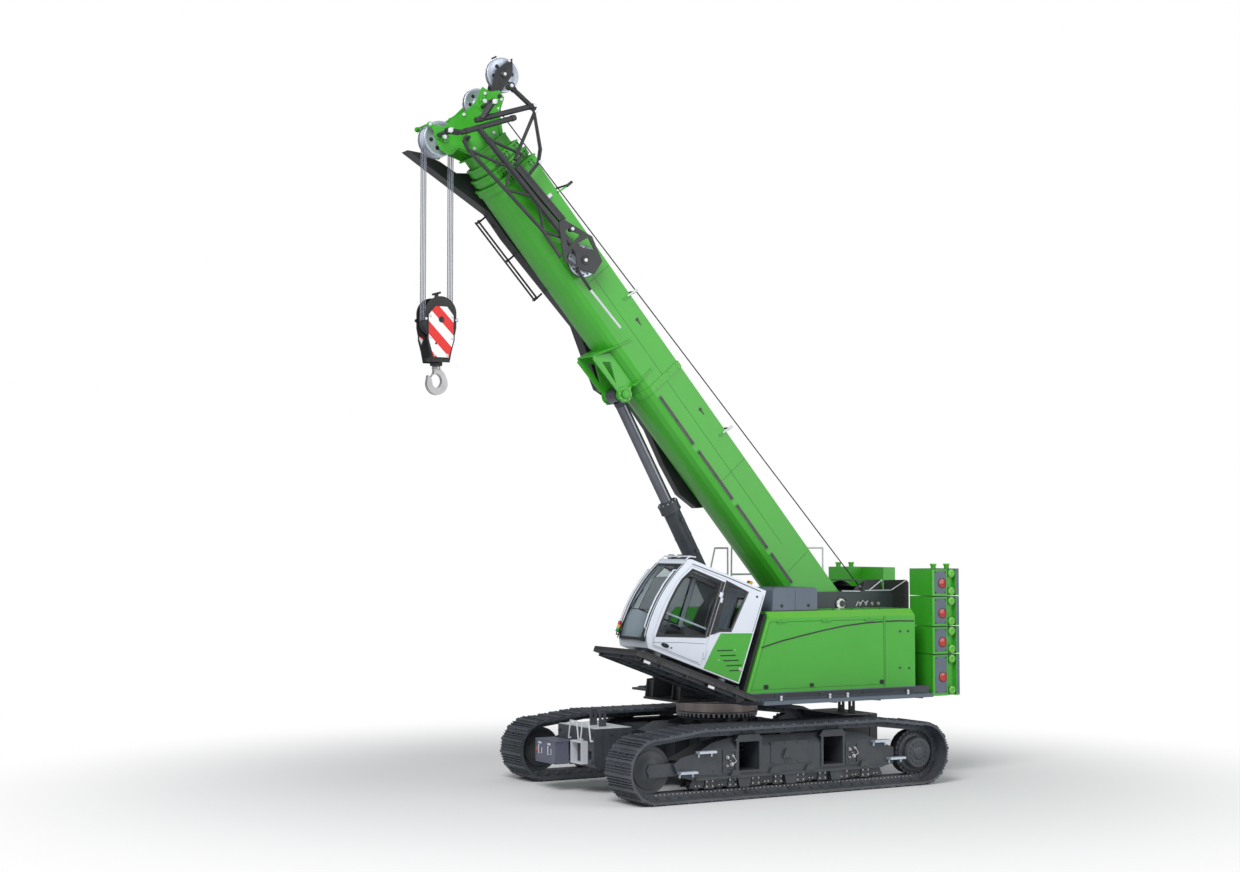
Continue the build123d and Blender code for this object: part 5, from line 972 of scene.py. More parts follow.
def inward(outline, distance):
    """A closed outline drawn in by a distance."""
    count = len(outline)
    area = sum(outline[i - 1][0] * outline[i][1] - outline[i][0] * outline[i - 1][1] for i in range(count))
    sign = 1 if area > 0 else -1
    drawn = []
    for i in range(count):
        before = Vector(outline[i]) - Vector(outline[i - 1])
        after = Vector(outline[(i + 1) % count]) - Vector(outline[i])
        before.normalize()
        after.normalize()
        n0, n1 = Vector((-before.y, before.x)), Vector((-after.y, after.x))
        middle = (n0 + n1) * (sign * distance / max(0.3, 1 + n0.dot(n1)))
        drawn.append((outline[i][0] + middle.x, outline[i][1] + middle.y))
    return drawn


def hoop(maker, outline, width, low, high, axis="Y"):
    """A band of even width along the inside of a closed outline."""
    inner = inward(outline, width)
    count = len(outline)
    for i in range(count):
        n = (i + 1) % count
        maker.plate([outline[i], outline[n], inner[n], inner[i]], low, high, axis)


# light_green is a lighter green; on the covers' top bevel and slanted front edge it is a painted highlight
light_green = finish("light_green", (0.115, 0.470, 0.035), (0.125, 0.500, 0.040), rough=0.3, coat=0.4,
                     grain=50.0, bump=0.04, dusty=0.08)
shade_green = finish("shade_green", (0.012, 0.070, 0.012), (0.016, 0.085, 0.015), rough=0.5, grain=60.0,
                     bump=0.05, dusty=0.1)

# %% [markdown]
# ## Covers and walks
# A thin dark line sweeps across each side cover, and the long upper edge catches the light. The
# flap has two latches and a lock, and its own part of the line. The walks beside the covers
# carry a grating, and the gap behind the cab has two black posts.

# %% Lines, painted edge highlights and latches of the covers
sweep = [(-0.69, 2.33), (-1.10, 2.43), (-1.47, 2.50), (-1.95, 2.585), (-2.39, 2.65), (-2.85, 2.69),
         (-3.195, 2.704)]
sweep_rear = [(-3.245, 2.706), (-3.50, 2.709), (-3.86, 2.70)]
line = Maker()
for a, b in zip(sweep, sweep[1:]):
    line.plate(strip([a, b], 0.024), 1.498, 1.503)
line.finish("flap_line", "side_flap", black_plastic, bevel=0)
line = Maker()
for a, b in zip(sweep_rear, sweep_rear[1:]):
    line.plate(strip([a, b], 0.024), 1.498, 1.503)
for a, b in zip(sweep, sweep[1:] + sweep_rear[:1]):
    line.plate(strip([a, b], 0.024), -1.503, -1.498)
for a, b in zip(sweep_rear, sweep_rear[1:]):
    line.plate(strip([a, b], 0.024), -1.503, -1.498)
line.finish("cover_lines", "superstructure", black_plastic, bevel=0)
# thin strips of lighter green along each cover's top bevel and slanted front edge: a painted highlight
edge = Maker()
(low_y, low_z), (top_y, top_z) = (1.5005, 2.802), (1.392, 2.9105)    # the bevel along a cover's top
for side in (-1, 1):
    edge.plate([(side * low_y, low_z), (side * top_y, top_z), (side * (top_y - 0.002), top_z - 0.004),
                (side * (low_y - 0.004), low_z - 0.002)], -3.876, -0.86, "X")
    edge.plate([(-0.430, 1.60), (-0.408, 1.60), (-0.828, 2.80), (-0.850, 2.80)], *span(side, 1.496, 1.502))
edge.finish("cover_edges", "superstructure", light_green, bevel=0.0015)
seams = Maker()
for side in (-1, 1):
    seams.plate([(-3.21 - 0.006, 1.60), (-3.21 + 0.006, 1.60), (-3.21 + 0.006, 2.80), (-3.21 - 0.006, 2.80)],
                *span(side, 1.49, 1.5006))
    for x in (-3.6, -2.95, -2.2, -1.2):
        seams.block(x - 0.004, x + 0.004, *span(side, 0.62, 1.385), 2.909, 2.9115)
seams.finish("cover_seams", "superstructure", shade_green, bevel=0)
latch = Maker()
for x, z in ((-0.78, 1.69), (-3.16, 1.69)):
    latch.plate([(x - 0.045, z - 0.02), (x - 0.03, z - 0.035), (x + 0.03, z - 0.035), (x + 0.045, z - 0.02),
                 (x + 0.045, z + 0.02), (x + 0.03, z + 0.035), (x - 0.03, z + 0.035), (x - 0.045, z + 0.02)],
                1.498, 1.512)
    latch.boss([(0.0, 0.016), (0.01, 0.014)], (x, 1.511, z), (0, 1, 0), 14)
latch.block(-1.74, -1.66, 1.498, 1.508, 1.66, 1.72)
latch.block(-1.725, -1.675, 1.507, 1.516, 1.675, 1.69)
latch.finish("flap_latches", "side_flap", black_plastic, bevel=0.003)
spots = [((x, 1.5, z), (0, 1, 0)) for x, z in ((-3.56, 2.53), (-3.73, 2.53), (-3.55, 1.91), (-3.75, 1.90))]
spots += [((x, -1.5, z), (0, -1, 0)) for x in (-3.75, -3.3, -2.7, -2.1, -1.5, -0.9) for z in (1.68, 2.2)]
spots += [((x, side * y, 2.91), (0, 0, 1)) for side in (-1, 1) for x in (-3.78, -3.3, -2.7, -2.3)
          for y in (0.75, 1.28)]
screw_set("cover_screws", "superstructure", spots, 0.03, 0.012, dark_grey)

# %% Louvres on the right cover
slat = Maker()
slat.plate([(-1.501, 2.06), (-1.509, 2.058), (-1.502, 2.03), (-1.4985, 2.03)], -2.55, -1.55, "X")
row("right_louvres", "superstructure", slat, 9, (0.0, 0.0, 0.052), shade_green)
slat = Maker()
slat.plate([(-1.501, 2.06), (-1.509, 2.058), (-1.502, 2.03), (-1.4985, 2.03)], -1.40, -0.95, "X")
row("right_louvres_front", "superstructure", slat, 5, (0.0, 0.0, 0.052), shade_green)

# %% Walk gratings, brackets and sill strips
for side, name in both_sides:
    bars = Maker()
    bars.block(-3.868, -3.863, *span(side, 1.515, 1.965), 1.4795, 1.498)
    row(f"walk_grating_{name}", "superstructure", bars, 112, (0.0308, 0.0, 0.0), dark_grey)
    rails = Maker()
    for y in (1.512, 1.60, 1.70, 1.80, 1.90, 1.968):
        rails.block(-3.875, -0.42, *span(side, y, y + 0.006), 1.4795, 1.50)
    rails.block(-3.88, -0.41, *span(side, 1.976, 1.983), 1.436, 1.486)
    rails.block(-3.88, -0.47, *span(side, 1.499, 1.506), 1.574, 1.592)
    rails.finish(f"walk_rails_{name}", "superstructure", slate, bevel=0.0015)
    mounts = Maker()
    for x in (-3.34, -2.08, -1.72, -0.75):
        mounts.plate([(side * 1.90, 1.498), (side * 1.978, 1.498), (side * 1.978, 1.585), (side * 1.955, 1.60)],
                     x - 0.006, x + 0.006, "X")
        mounts.block(x - 0.04, x + 0.04, *span(side, 1.955, 1.978), 1.50, 1.58)
    for x in (-3.7, -2.8, -1.9, -1.0):
        mounts.block(x - 0.05, x + 0.05, *span(side, 1.49, 1.515), 1.42, 1.56)
    mounts.finish(f"walk_brackets_{name}", "superstructure", dark_grey, bevel=0.003)
    spots = [((x, side * 1.978, z), (0, side, 0)) for x in (-3.34, -2.08, -1.72, -0.75) for z in (1.52, 1.56)]
    screw_set(f"walk_screws_{name}", "superstructure", spots, 0.03, 0.014, pin_white)

# %% Posts behind the cab, hood seams and exhaust
posts = Maker()
for y0, y1 in ((1.30, 1.47), (0.75, 0.92)):
    posts.plate([(-0.38, 1.60), (-0.345, 1.60), (-0.775, 2.86), (-0.82, 2.88)], y0, y1)
for k in range(6):
    x, z = -0.43 - 0.062 * k, 1.76 + 0.18 * k
    posts.block(x - 0.02, x + 0.03, 0.9, 1.32, z - 0.012, z + 0.012)
posts.finish("gap_posts", "superstructure", black_plastic, bevel=0.004)
hood = Maker()
for x in (-1.78, -1.59, -1.40, -1.21):
    for k in range(5):
        hood.block(x + 0.012 + 0.022 * k, x + 0.016 + 0.022 * k, 0.7, 1.3, 3.262, 3.292)
hood.block(-1.452, -1.446, 1.386, 1.3925, 2.92, 3.25)
hood.block(-1.90, -1.00, 1.386, 1.394, 2.911, 2.925)
hood.boss([(0.0, 0.028), (0.012, 0.024)], (-1.72, 1.39, 3.0), (0, 1, 0), 16)
hood.boss([(0.0, 0.028), (0.012, 0.024)], (-1.18, 1.39, 3.0), (0, 1, 0), 16)
hood.finish("hood_fittings", "superstructure", black_plastic, bevel=0.0015)
exhaust = Maker()
exhaust.boss([(0.0, 0.12), (0.02, 0.12), (0.02, 0.075), (0.34, 0.075), (0.36, 0.07), (0.36, 0.062),
              (0.05, 0.062)], (-3.45, -0.85, 2.91), (0.12, 0, 1), 28)
for z in (3.0, 3.08, 3.16):
    exhaust.boss([(0.0, 0.084), (0.012, 0.084)], (-3.439 + (z - 3.0) * 0.12, -0.85, z), (0.12, 0, 1), 28)
exhaust.finish("exhaust", "superstructure", cast_steel, bevel=0.002)

# %% [markdown]
# ## Winch and counterweights
# The drum is wound with rope in even laps. The weights carry slate panels with round red
# reflectors, and each plate of the stack is locked by round bosses.

# %% Rope on the drum, fittings on the winch frame
laps = Maker()
profile = [(-0.375, 0.0), (-0.375, 0.242)]
for k in range(41):
    middle = -0.366 + 0.0183 * k
    profile += [(middle - 0.0075, 0.247), (middle, 0.2575), (middle + 0.0075, 0.247)]
profile += [(0.386, 0.242), (0.386, 0.0)]
laps.turned([(a * 0.97, r) for a, r in profile], (-3.705, 0.0, 3.01), (0, 1, 0), 40)
laps.finish("drum_rope", "winch_drum", hoist_wire, bevel=0)
spots = [((-3.705 + a, side * 0.4, 3.01 + b), (0, side, 0)) for side in (-1, 1) for a, b in ring(12, 0.30)]
screw_set("drum_screws", "winch_drum", spots, 0.03, 0.014, bright_steel)
fittings = Maker()
for x in (-3.45, -3.58, -3.72, -3.86):
    fittings.boss([(0.0, 0.032), (0.012, 0.032), (0.012, 0.022), (0.026, 0.022), (0.026, 0.012),
                   (0.016, 0.012)], (x, 0.515, 2.97), (0, 1, 0), 18)
fittings.finish("ring_fittings", "superstructure", ring_steel, bevel=0.0015)
pipes = Maker()
pipes.tube([(-3.36, 0.53, 2.93), (-3.40, 0.535, 3.01), (-3.45, 0.535, 2.97), (-3.50, 0.535, 3.03),
            (-3.56, 0.535, 2.98), (-3.62, 0.53, 3.02)], 0.009, 8)
for a, b in (((-3.67, 3.19), (-3.98, 3.385)), ((-3.60, 3.20), (-4.16, 3.20)), ((-4.18, 3.20), (-4.52, 3.375))):
    pipes.tube([(a[0], 0.478, a[1]), (b[0], 0.478, b[1])], 0.010, 8)
pipes.tube([(-3.06, 0.53, 3.20), (-3.45, 0.53, 3.19)], 0.010, 8)
pipes.finish("winch_pipes", "superstructure", pin_white, bevel=0)
pin_plate = Maker()
for side in (-1, 1):
    pin_plate.boss([(0.0, 0.125), (0.014, 0.125), (0.02, 0.118)], (-3.05, side * 0.515, 2.98), (0, side, 0), 36)
    pin_plate.boss([(0.0, 0.06), (0.008, 0.055)], (-3.05, side * 0.549, 2.98), (0, side, 0), 30)
pin_plate.finish("foot_pin_caps", "superstructure", dark_grey, bevel=0.002)
spots = [((-3.05 + a, side * 0.535, 2.98 + b), (0, side, 0)) for side in (-1, 1) for a, b in ring(8, 0.105)]
screw_set("foot_pin_screws", "superstructure", spots, 0.022, 0.012, dark_grey)
frame_bits = Maker()
for side in (-1, 1):
    for x in (-3.9, -3.5, -2.7, -2.2, -1.9):
        frame_bits.plate([(x - 0.05, 2.62), (x + 0.05, 2.62), (x + 0.03, 2.8), (x - 0.03, 2.8)],
                         *span(side, 0.514, 0.53))
    frame_bits.tube([(-3.9, side * 0.545, 2.55), (-2.4, side * 0.545, 2.55), (-1.6, side * 0.545, 2.1),
                     (-0.5, side * 0.545, 1.75)], 0.018, 8)
    frame_bits.tube([(-3.9, side * 0.545, 2.49), (-2.4, side * 0.545, 2.49), (-1.6, side * 0.545, 2.04),
                     (-0.5, side * 0.545, 1.69)], 0.014, 8)
frame_bits.block(-3.95, -3.35, -0.40, 0.40, 3.37, 3.385)
frame_bits.finish("frame_ribs", "superstructure", dark_grey, bevel=0.003)

# %% Counterweight panels, reflectors and bosses
levels = (1.40, 2.11, 2.59, 3.11, 3.59)
reflector_heights = (1.72, 2.32, 2.82, 3.34)
panels, lenses, rims, bosses = Maker(), Maker(), Maker(), Maker()
for side in (-1, 1):
    for low, high, middle in zip(levels, levels[1:], reflector_heights):
        panels.block(-4.572, -4.328, *span(side, 1.491, 1.4985), low + 0.048, high - 0.038)
        panels.block(-4.86, -4.80, *span(side, 1.499, 1.504), low + 0.03, high - 0.02)
        for x, facing in ((-4.49, "side"), (-4.862, "rear")):
            start = (x, side * 1.498, middle) if facing == "side" else (x, side * 1.36, middle)
            ahead = (0, side, 0) if facing == "side" else (-1, 0, 0)
            rims.boss([(0.0, 0.088), (0.006, 0.088), (0.008, 0.080)], start, ahead, 28)
            lenses.turned([(0.004, 0.0), (0.004, 0.079), (0.010, 0.076), (0.014, 0.060), (0.015, 0.0)], start,
                          ahead, 28)
        for z in (low + 0.09, high - 0.08):
            bosses.boss([(0.0, 0.072), (0.016, 0.072), (0.022, 0.064), (0.022, 0.030), (0.012, 0.026)],
                          (-4.695, side * 1.488, z), (0, side, 0), 24)
    for x in (-4.695, -4.40):
        bosses.boss([(0.0, 0.052), (0.008, 0.058), (0.026, 0.058), (0.034, 0.048)], (x, side * 1.37, 3.643),
                    (0, 0, 1), 24)
panels.finish("weight_panels", "superstructure", slate, bevel=0.002)
rims.finish("reflector_rims", "superstructure", black_plastic, bevel=0.001)
lenses.finish("reflectors", "superstructure", signal_red, bevel=0)
bosses.finish("weight_bosses", "superstructure", light_green, bevel=0.002)
edges_up = Maker()
for side in (-1, 1):
    for low, high in zip(levels, levels[1:]):
        edges_up.block(-4.862, -4.27, *span(side, 1.4995, 1.503), high - 0.012, high + 0.001)
edges_up.finish("weight_seams", "superstructure", shade_green, bevel=0)
spots = [((x, side * 1.4985, z), (0, side, 0)) for side in (-1, 1) for low, high in zip(levels, levels[1:])
         for x in (-4.555, -4.345) for z in (low + 0.07, high - 0.06)]
screw_set("panel_screws", "superstructure", spots, 0.018, 0.008, dark_grey)
# %% [markdown]
# ## Cab outside
# The cab is white with black window borders. The door has an oval handle, the roof carries lamps and
# grooves, a wiper lies on the screen, and a lamp stack beside the screen shows the load. The roof's
# grooves are black strips laid on it, a painted shade. The green panel behind the door has its own latch.

# %% Window borders, pillars and door details
side_glass = [(0.860, 0.505), (1.750, 0.225), (1.738, 0.48), (1.705, 0.80), (1.655, 1.06), (1.600, 1.230),
              (1.465, 1.445), (0.860, 1.445)]
quarter_glass = [(0.735, 0.610), (0.640, 0.680), (0.430, 0.750), (0.330, 1.450), (0.735, 1.480)]
border = Maker(cab)
hoop(border, side_glass, 0.034, 1.4925, 1.4945)
hoop(border, inward(side_glass, -0.012), 0.012, 1.4995, 1.504)
border.plate([(0.808, 0.53), (0.856, 0.51), (0.856, 1.45), (0.808, 1.46)], 1.4995, 1.503)
border.plate([(1.60, 0.115), (1.625, 0.14), (1.60, 0.165), (1.53, 0.175), (1.49, 0.165), (1.475, 0.14),
              (1.49, 0.115), (1.53, 0.105)], 1.4995, 1.512)
border.tube([(1.49, 1.512, 0.14), (1.50, 1.545, 0.14), (1.59, 1.545, 0.145), (1.605, 1.512, 0.145)], 0.009, 8)
border.finish("door_borders", "cab_door", black_plastic, bevel=0.0015)
door_trim = Maker(cab)
door_trim.boss([(0.0, 0.016), (0.01, 0.013)], (1.42, 1.4995, 0.14), (0, 1, 0), 16)
door_trim.plate(strip([(0.84, 0.075), (1.74, 0.075), (1.785, 0.20)], 0.008), 1.4995, 1.5015)
door_trim.plate(strip([(0.84, 0.40), (1.30, 0.27), (1.78, 0.11)], 0.007), 1.4995, 1.5015)
door_trim.tube([(0.90, 1.45, 0.66), (0.90, 1.42, 0.75), (0.90, 1.42, 1.05), (0.90, 1.45, 1.12)], 0.012, 8)
door_trim.finish("door_trim", "cab_door", console_grey, bevel=0.001)
pillar = Maker(cab)
hoop(pillar, quarter_glass, 0.03, 1.4925, 1.4945)
hoop(pillar, inward(quarter_glass, -0.012), 0.012, 1.4995, 1.5035)
pillar.plate([(0.742, 0.60), (0.795, 0.56), (0.795, 1.50), (0.742, 1.485)], 1.4995, 1.503)
pillar.boss([(0.0, 0.02), (0.008, 0.018)], (0.14, 1.4995, 1.44), (0, 1, 0), 18)
pillar.plate(strip([(0.10, 1.545), (0.80, 1.545), (1.50, 1.525)], 0.014), 1.4995, 1.5025)
pillar.plate(strip([(0.03, 0.87), (0.03, 1.50)], 0.008), 1.4995, 1.5015)
right_glass = [(0.90, 0.65), (1.73, 0.65), (1.63, 1.22), (1.48, 1.48), (0.90, 1.48)]
right_rear = [(0.30, 0.70), (0.84, 0.70), (0.84, 1.48), (0.30, 1.48)]
for outline in (right_glass, right_rear):
    hoop(pillar, outline, 0.03, 0.6255, 0.6275)
    hoop(pillar, inward(outline, -0.012), 0.012, 0.6165, 0.6205)
hoop(pillar, [(0.74, 0.90), (1.38, 0.90), (1.38, 1.45), (0.74, 1.45)], 0.03, -0.0045, 0.0005, "X")
pillar.finish("cab_borders", "cab", black_plastic, bevel=0.001)


# %% Screen borders, wiper and grooves
def screen_point(z, out=0.0):
    """A point of the curved screen at a height, moved out along its normal."""
    (x0, z0), (x1, z1), (x2, z2) = (1.930, 0.180), (1.900, 0.760), (1.600, 1.545)
    a, b = x1 - x0, z1 - z0
    c, d = x2 - x0, z2 - z0
    e, f = a * a + b * b, c * c + d * d
    g = 2 * (a * d - b * c)
    cx, cz = x0 + (d * e - b * f) / g, z0 + (a * f - c * e) / g
    radius = math.hypot(x0 - cx, z0 - cz)
    x = cx + math.sqrt(max(0.0, radius ** 2 - (z - cz) ** 2))
    return x + out * (x - cx) / radius, z + out * (z - cz) / radius


screen = Maker(cab)
heights = [0.10 + 0.115 * k for k in range(13)]
for y0, y1 in ((0.68, 0.72), (1.40, 1.44)):
    outline = [screen_point(z, -0.007) for z in heights] + [screen_point(z, -0.003) for z in reversed(heights)]
    screen.plate(outline, y0, y1)
for z0, z1 in ((0.095, 0.14), (1.43, 1.475), (0.60, 0.612)):
    outline = [screen_point(z0, -0.007), screen_point(z1, -0.007), screen_point(z1, -0.003),
               screen_point(z0, -0.003)]
    screen.plate(outline, 0.68, 1.44)
for y in (0.622, 1.478):
    outline = [screen_point(z, -0.002) for z in heights] + [screen_point(z, 0.004) for z in reversed(heights)]
    screen.plate(outline, y, y + 0.02)
arm = [(*screen_point(z, 0.022), 0.80 + (z - 0.63) * 0.3) for z in (0.20, 0.45, 0.72, 0.95)]
screen.tube([(x, y, z) for x, z, y in arm], 0.009, 8)
blade = [(*screen_point(z, 0.009), 0.84) for z in (0.60, 0.80, 1.0, 1.2, 1.35)]
screen.tube([(x, y, z) for x, z, y in blade], 0.008, 6)
screen.turned([(0.0, 0.0), (0.0, 0.03), (0.03, 0.026), (0.04, 0.0)], (1.925, 0.68, 0.20), (1, 0, 0), 16)
# the roof's grooves: black strips laid on the roof, a painted shade
for y in (0.70, 0.86, 1.02, 1.18, 1.34):
    screen.block(0.12, 0.66, y, y + 0.012, 1.5895, 1.593)
for y in (0.662, 1.452):
    screen.block(0.05, 1.50, y, y + 0.01, 1.5895, 1.594)
screen.tube([(1.42, 0.74, 1.44), (1.42, 1.38, 1.44)], 0.03, 12)
screen.finish("screen_borders", "cab", black_plastic, bevel=0.001)

# %% White bars in front of the screen, roof frame and lamp brackets
bars = Maker(cab)
for y in (0.66, 1.46):
    path = [(screen_point(z, 0.05)[0], y, screen_point(z, 0.05)[1]) for z in (0.30, 0.55, 0.80, 1.05, 1.30)]
    first, last = screen_point(0.28, 0.0), screen_point(1.34, 0.0)
    bars.tube([(first[0], y, first[1])] + path + [(last[0], y, last[1])], 0.012, 10)
bars.tube([(1.44, 0.68, 1.66), (1.56, 0.68, 1.63), (1.60, 0.68, 1.56)], 0.012, 8)
bars.tube([(1.44, 1.44, 1.66), (1.56, 1.44, 1.63), (1.60, 1.44, 1.56)], 0.012, 8)
bars.tube([(1.56, 0.68, 1.63), (1.56, 1.44, 1.63)], 0.012, 8)
bars.plate([(1.08, 1.590), (1.55, 1.588), (1.62, 1.548), (1.60, 1.540)], 0.64, 0.70)
bars.plate([(1.08, 1.590), (1.55, 1.588), (1.62, 1.548), (1.60, 1.540)], 1.42, 1.48)
bars.tube([(1.78, 0.60, 0.30), (1.86, 0.58, 0.45), (1.80, 0.58, 0.95), (1.66, 0.61, 1.10)], 0.011, 8)
bars.block(0.86, 1.22, 0.72, 0.80, 1.589, 1.600)
bars.finish("cab_bars", "cab", cab_white, bevel=0.002)

# %% Lamps: lenses and bezels, the load lamp, panel latch
lens, bezel = Maker(cab), Maker(cab)
for y0, y1 in ((0.70, 0.83), (0.98, 1.11), (1.28, 1.41)):
    lens.plate([(y0 + 0.012, 1.622), (y1 - 0.012, 1.622), (y1 - 0.012, 1.668), (y0 + 0.012, 1.668)], 1.500,
               1.504, "X")
    hoop(bezel, [(y0, 1.612), (y1, 1.612), (y1, 1.678), (y0, 1.678)], 0.012, 1.4995, 1.510, "X")
for x0 in (1.96, 0.70):
    lens.plate([(x0 + 0.012, -0.298), (x0 + 0.138, -0.298), (x0 + 0.138, -0.252), (x0 + 0.012, -0.252)], 1.940,
               1.944)
    hoop(bezel, [(x0, -0.308), (x0 + 0.15, -0.308), (x0 + 0.15, -0.242), (x0, -0.242)], 0.012, 1.9395, 1.948)
lens.finish("lamp_lenses", "cab", lamp_white, bevel=0.0015)
bezel.boss([(0.0, 0.070), (0.018, 0.066), (0.024, 0.052)], (0.07, 1.06, 1.592), (0, 0, 1), 24)
bezel.tube([(1.93, 0.66, 0.16), (1.98, 0.66, 0.14), (1.98, 0.66, 0.20)], 0.012, 8)
bezel.boss([(0.0, 0.03), (0.012, 0.03)], (1.98, 0.66, 0.19), (0, 0, 1), 18)
bezel.boss([(0.0, 0.03), (0.012, 0.028)], (1.98, 0.66, 0.352), (0, 0, 1), 18)
bezel.finish("lamp_bezels", "cab", black_plastic, bevel=0.0015)
stack_red = finish("stack_red", (0.55, 0.02, 0.01), (0.60, 0.03, 0.015), rough=0.15, coat=0.8, grain=200.0,
                   bump=0.1, dusty=0.0)
stack_yellow = finish("stack_yellow", (0.75, 0.42, 0.02), (0.80, 0.48, 0.03), rough=0.15, coat=0.8, grain=200.0,
                      bump=0.1, dusty=0.0)
stack_green = finish("stack_green", (0.02, 0.42, 0.05), (0.03, 0.48, 0.06), rough=0.15, coat=0.8, grain=200.0,
                     bump=0.1, dusty=0.0)
for k, (colour, label) in enumerate(((stack_green, "green"), (stack_yellow, "yellow"), (stack_red, "red"))):
    lamp = Maker(cab)
    lamp.boss([(0.0, 0.026), (0.008, 0.028), (0.042, 0.028), (0.05, 0.026)], (1.98, 0.66, 0.202 + 0.05 * k),
              (0, 0, 1), 20)
    lamp.finish(f"load_lamp_{label}", "cab", colour, bevel=0)
latch = Maker(cab)
latch.plate([(0.035, 0.205), (0.085, 0.205), (0.085, 0.255), (0.035, 0.255)], 1.4995, 1.508)
latch.boss([(0.0, 0.014), (0.006, 0.012)], (0.06, 1.508, 0.23), (0, 1, 0), 14)
latch.boss([(0.0, 0.012), (0.006, 0.010)], (0.26, 1.4995, 0.49), (0, 1, 0), 14)
latch.boss([(0.0, 0.012), (0.006, 0.010)], (0.50, 1.4995, 0.24), (0, 1, 0), 14)
latch.finish("panel_latch", "cab", bright_steel, bevel=0.001)
shade = Maker(cab)
for k in range(5):
    x, z = 0.44 - 0.33 * k / 4, 0.42 - 0.23 * k / 4
    ca, sa = math.cos(math.radians(-cab_angle)), math.sin(math.radians(-cab_angle))
    corners = [(-0.148, -0.010), (0.148, -0.010), (0.148, 0.010), (-0.148, 0.010)]
    shade.plate([(x + a * ca - b * sa, z + a * sa + b * ca) for a, b in corners], 1.4845, 1.4862)
shade.finish("slot_shades", "cab", shade_green, bevel=0)

# %% Platform: grating, marks, edge rail, column below
bar_piece = Maker(cab)
bar_piece.block(0.075, 0.080, 1.545, 1.905, -0.174, -0.158)
row("platform_grating", "cab", bar_piece, 68, cab.to_3x3() @ Vector((0.0315, 0.0, 0.0)), dark_grey)
edge = Maker(cab)
edge.block(-0.105, 2.255, 1.955, 1.966, -0.175, -0.150)
edge.block(2.255, 2.266, 0.62, 1.95, -0.20, -0.150)
for y in (1.60, 1.70, 1.80, 1.88):
    edge.block(0.065, 2.195, y, y + 0.005, -0.174, -0.159)
for x in (0.44, 1.82):
    edge.block(x - 0.05, x + 0.05, 1.9595, 1.968, -0.225, -0.185)
edge.finish("platform_edges", "cab", black_plastic, bevel=0.002)
under = Maker(cab)
for x in (0.25, 0.75, 1.25, 1.75, 2.15):
    under.block(x - 0.02, x + 0.02, 0.66, 1.92, -0.275, -0.238)
for y in (0.72, 1.34, 1.86):
    under.block(0.06, 2.20, y - 0.02, y + 0.02, -0.29, -0.238)
under.tube([(0.15, 1.0, -0.27), (1.0, 1.0, -0.30), (2.0, 1.0, -0.27)], 0.02, 8)
under.finish("platform_ribs", "cab", dark_grey, bevel=0.003)
column = Maker()
for side in (-1, 1):
    column.plate([(-0.10, 1.44), (0.30, 1.44), (0.26, 1.78), (0.02, 1.84), (-0.10, 1.80)],
                 *span(side, 0.30, 0.33))
    column.plate([(-0.10, 1.44), (0.30, 1.44), (0.26, 1.74), (-0.10, 1.76)], *span(side, 0.52, 0.55))
    for x in (-0.06, 0.04, 0.14, 0.22):
        column.block(x - 0.012, x + 0.012, *span(side, 0.33, 0.52), 1.44, 1.72)
    column.boss([(0.0, 0.07), (0.24, 0.07)], (0.08, side * 0.31, 1.66), (0, side, 0), 24)
    column.tube([(-0.08, side * 0.57, 1.47), (0.20, side * 0.57, 1.50), (0.28, side * 0.57, 1.62)], 0.018, 8)
column.block(-0.12, 0.32, -0.56, 0.56, 1.405, 1.442)
column.finish("front_consoles", "superstructure", jib_grey, bevel=0.004)
spots = [((x, 1.93, -0.159), (0, 0, 1)) for x in (0.03, 0.5, 1.0, 1.5, 2.0, 2.23)]
spots += [((x, 1.96, -0.20), (0, 1, 0)) for x in (0.1, 0.7, 1.2, 1.5, 2.1)]
screw_set("platform_screws", "cab", spots, 0.028, 0.012, dark_grey, cab)

# %% [markdown]
# ## Cab inside
# Through the glass one sees the suspended seat with its cushions, two arm consoles with levers, a
# screen on a stalk, and pedals.

# %% Cushions
def cushion(name, centre, size, lean, body="cab", material=seat_cloth, crown=0.12):
    """A stuffed cushion: a rounded box that swells in the middle, with two stitched channels."""
    shape = bmesh.new()
    bmesh.ops.create_cube(shape, size=2.0)
    bmesh.ops.subdivide_edges(shape, edges=shape.edges, cuts=13, use_grid_fill=True)
    turn = Matrix.Rotation(math.radians(lean), 4, "Y")
    for vertex in shape.verts:
        u, v, w = vertex.co
        r = (abs(u) ** 5 + abs(v) ** 5 + abs(w) ** 5) ** 0.2
        u, v, w = u / r, v / r, w / r
        swell = 1.0 + crown * (1 - u * u) * (1 - v * v)
        channel = math.exp(-((abs(v) - 0.55) / 0.05) ** 2) + 0.7 * math.exp(-((u - 0.35) / 0.05) ** 2)
        w *= swell - 0.10 * channel * (w > 0)
        vertex.co = cab @ (Vector(centre) + turn @ Vector((u * size[0] / 2, v * size[1] / 2, w * size[2] / 2)))
    bmesh.ops.recalc_face_normals(shape, faces=shape.faces)
    data = bpy.data.meshes.new(name)
    shape.to_mesh(data)
    shape.free()
    for face in data.polygons:
        face.use_smooth = True
    data.materials.append(material)
    piece = show(name, data)
    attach(piece, body)
    return piece


base = cushion("seat_cushion", (0.985, 1.06, 0.405), (0.54, 0.48, 0.13), -4)
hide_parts("seat")
cushion("seat_back", (0.735, 1.06, 0.80), (0.11, 0.46, 0.72), -9, crown=0.05)
cushion("head_rest", (0.665, 1.06, 1.215), (0.09, 0.28, 0.17), -9, crown=0.05)
cushion("arm_pad_left", (0.99, 1.33, 0.585), (0.30, 0.075, 0.055), -2)
cushion("arm_pad_right", (0.99, 0.79, 0.585), (0.30, 0.075, 0.055), -2)

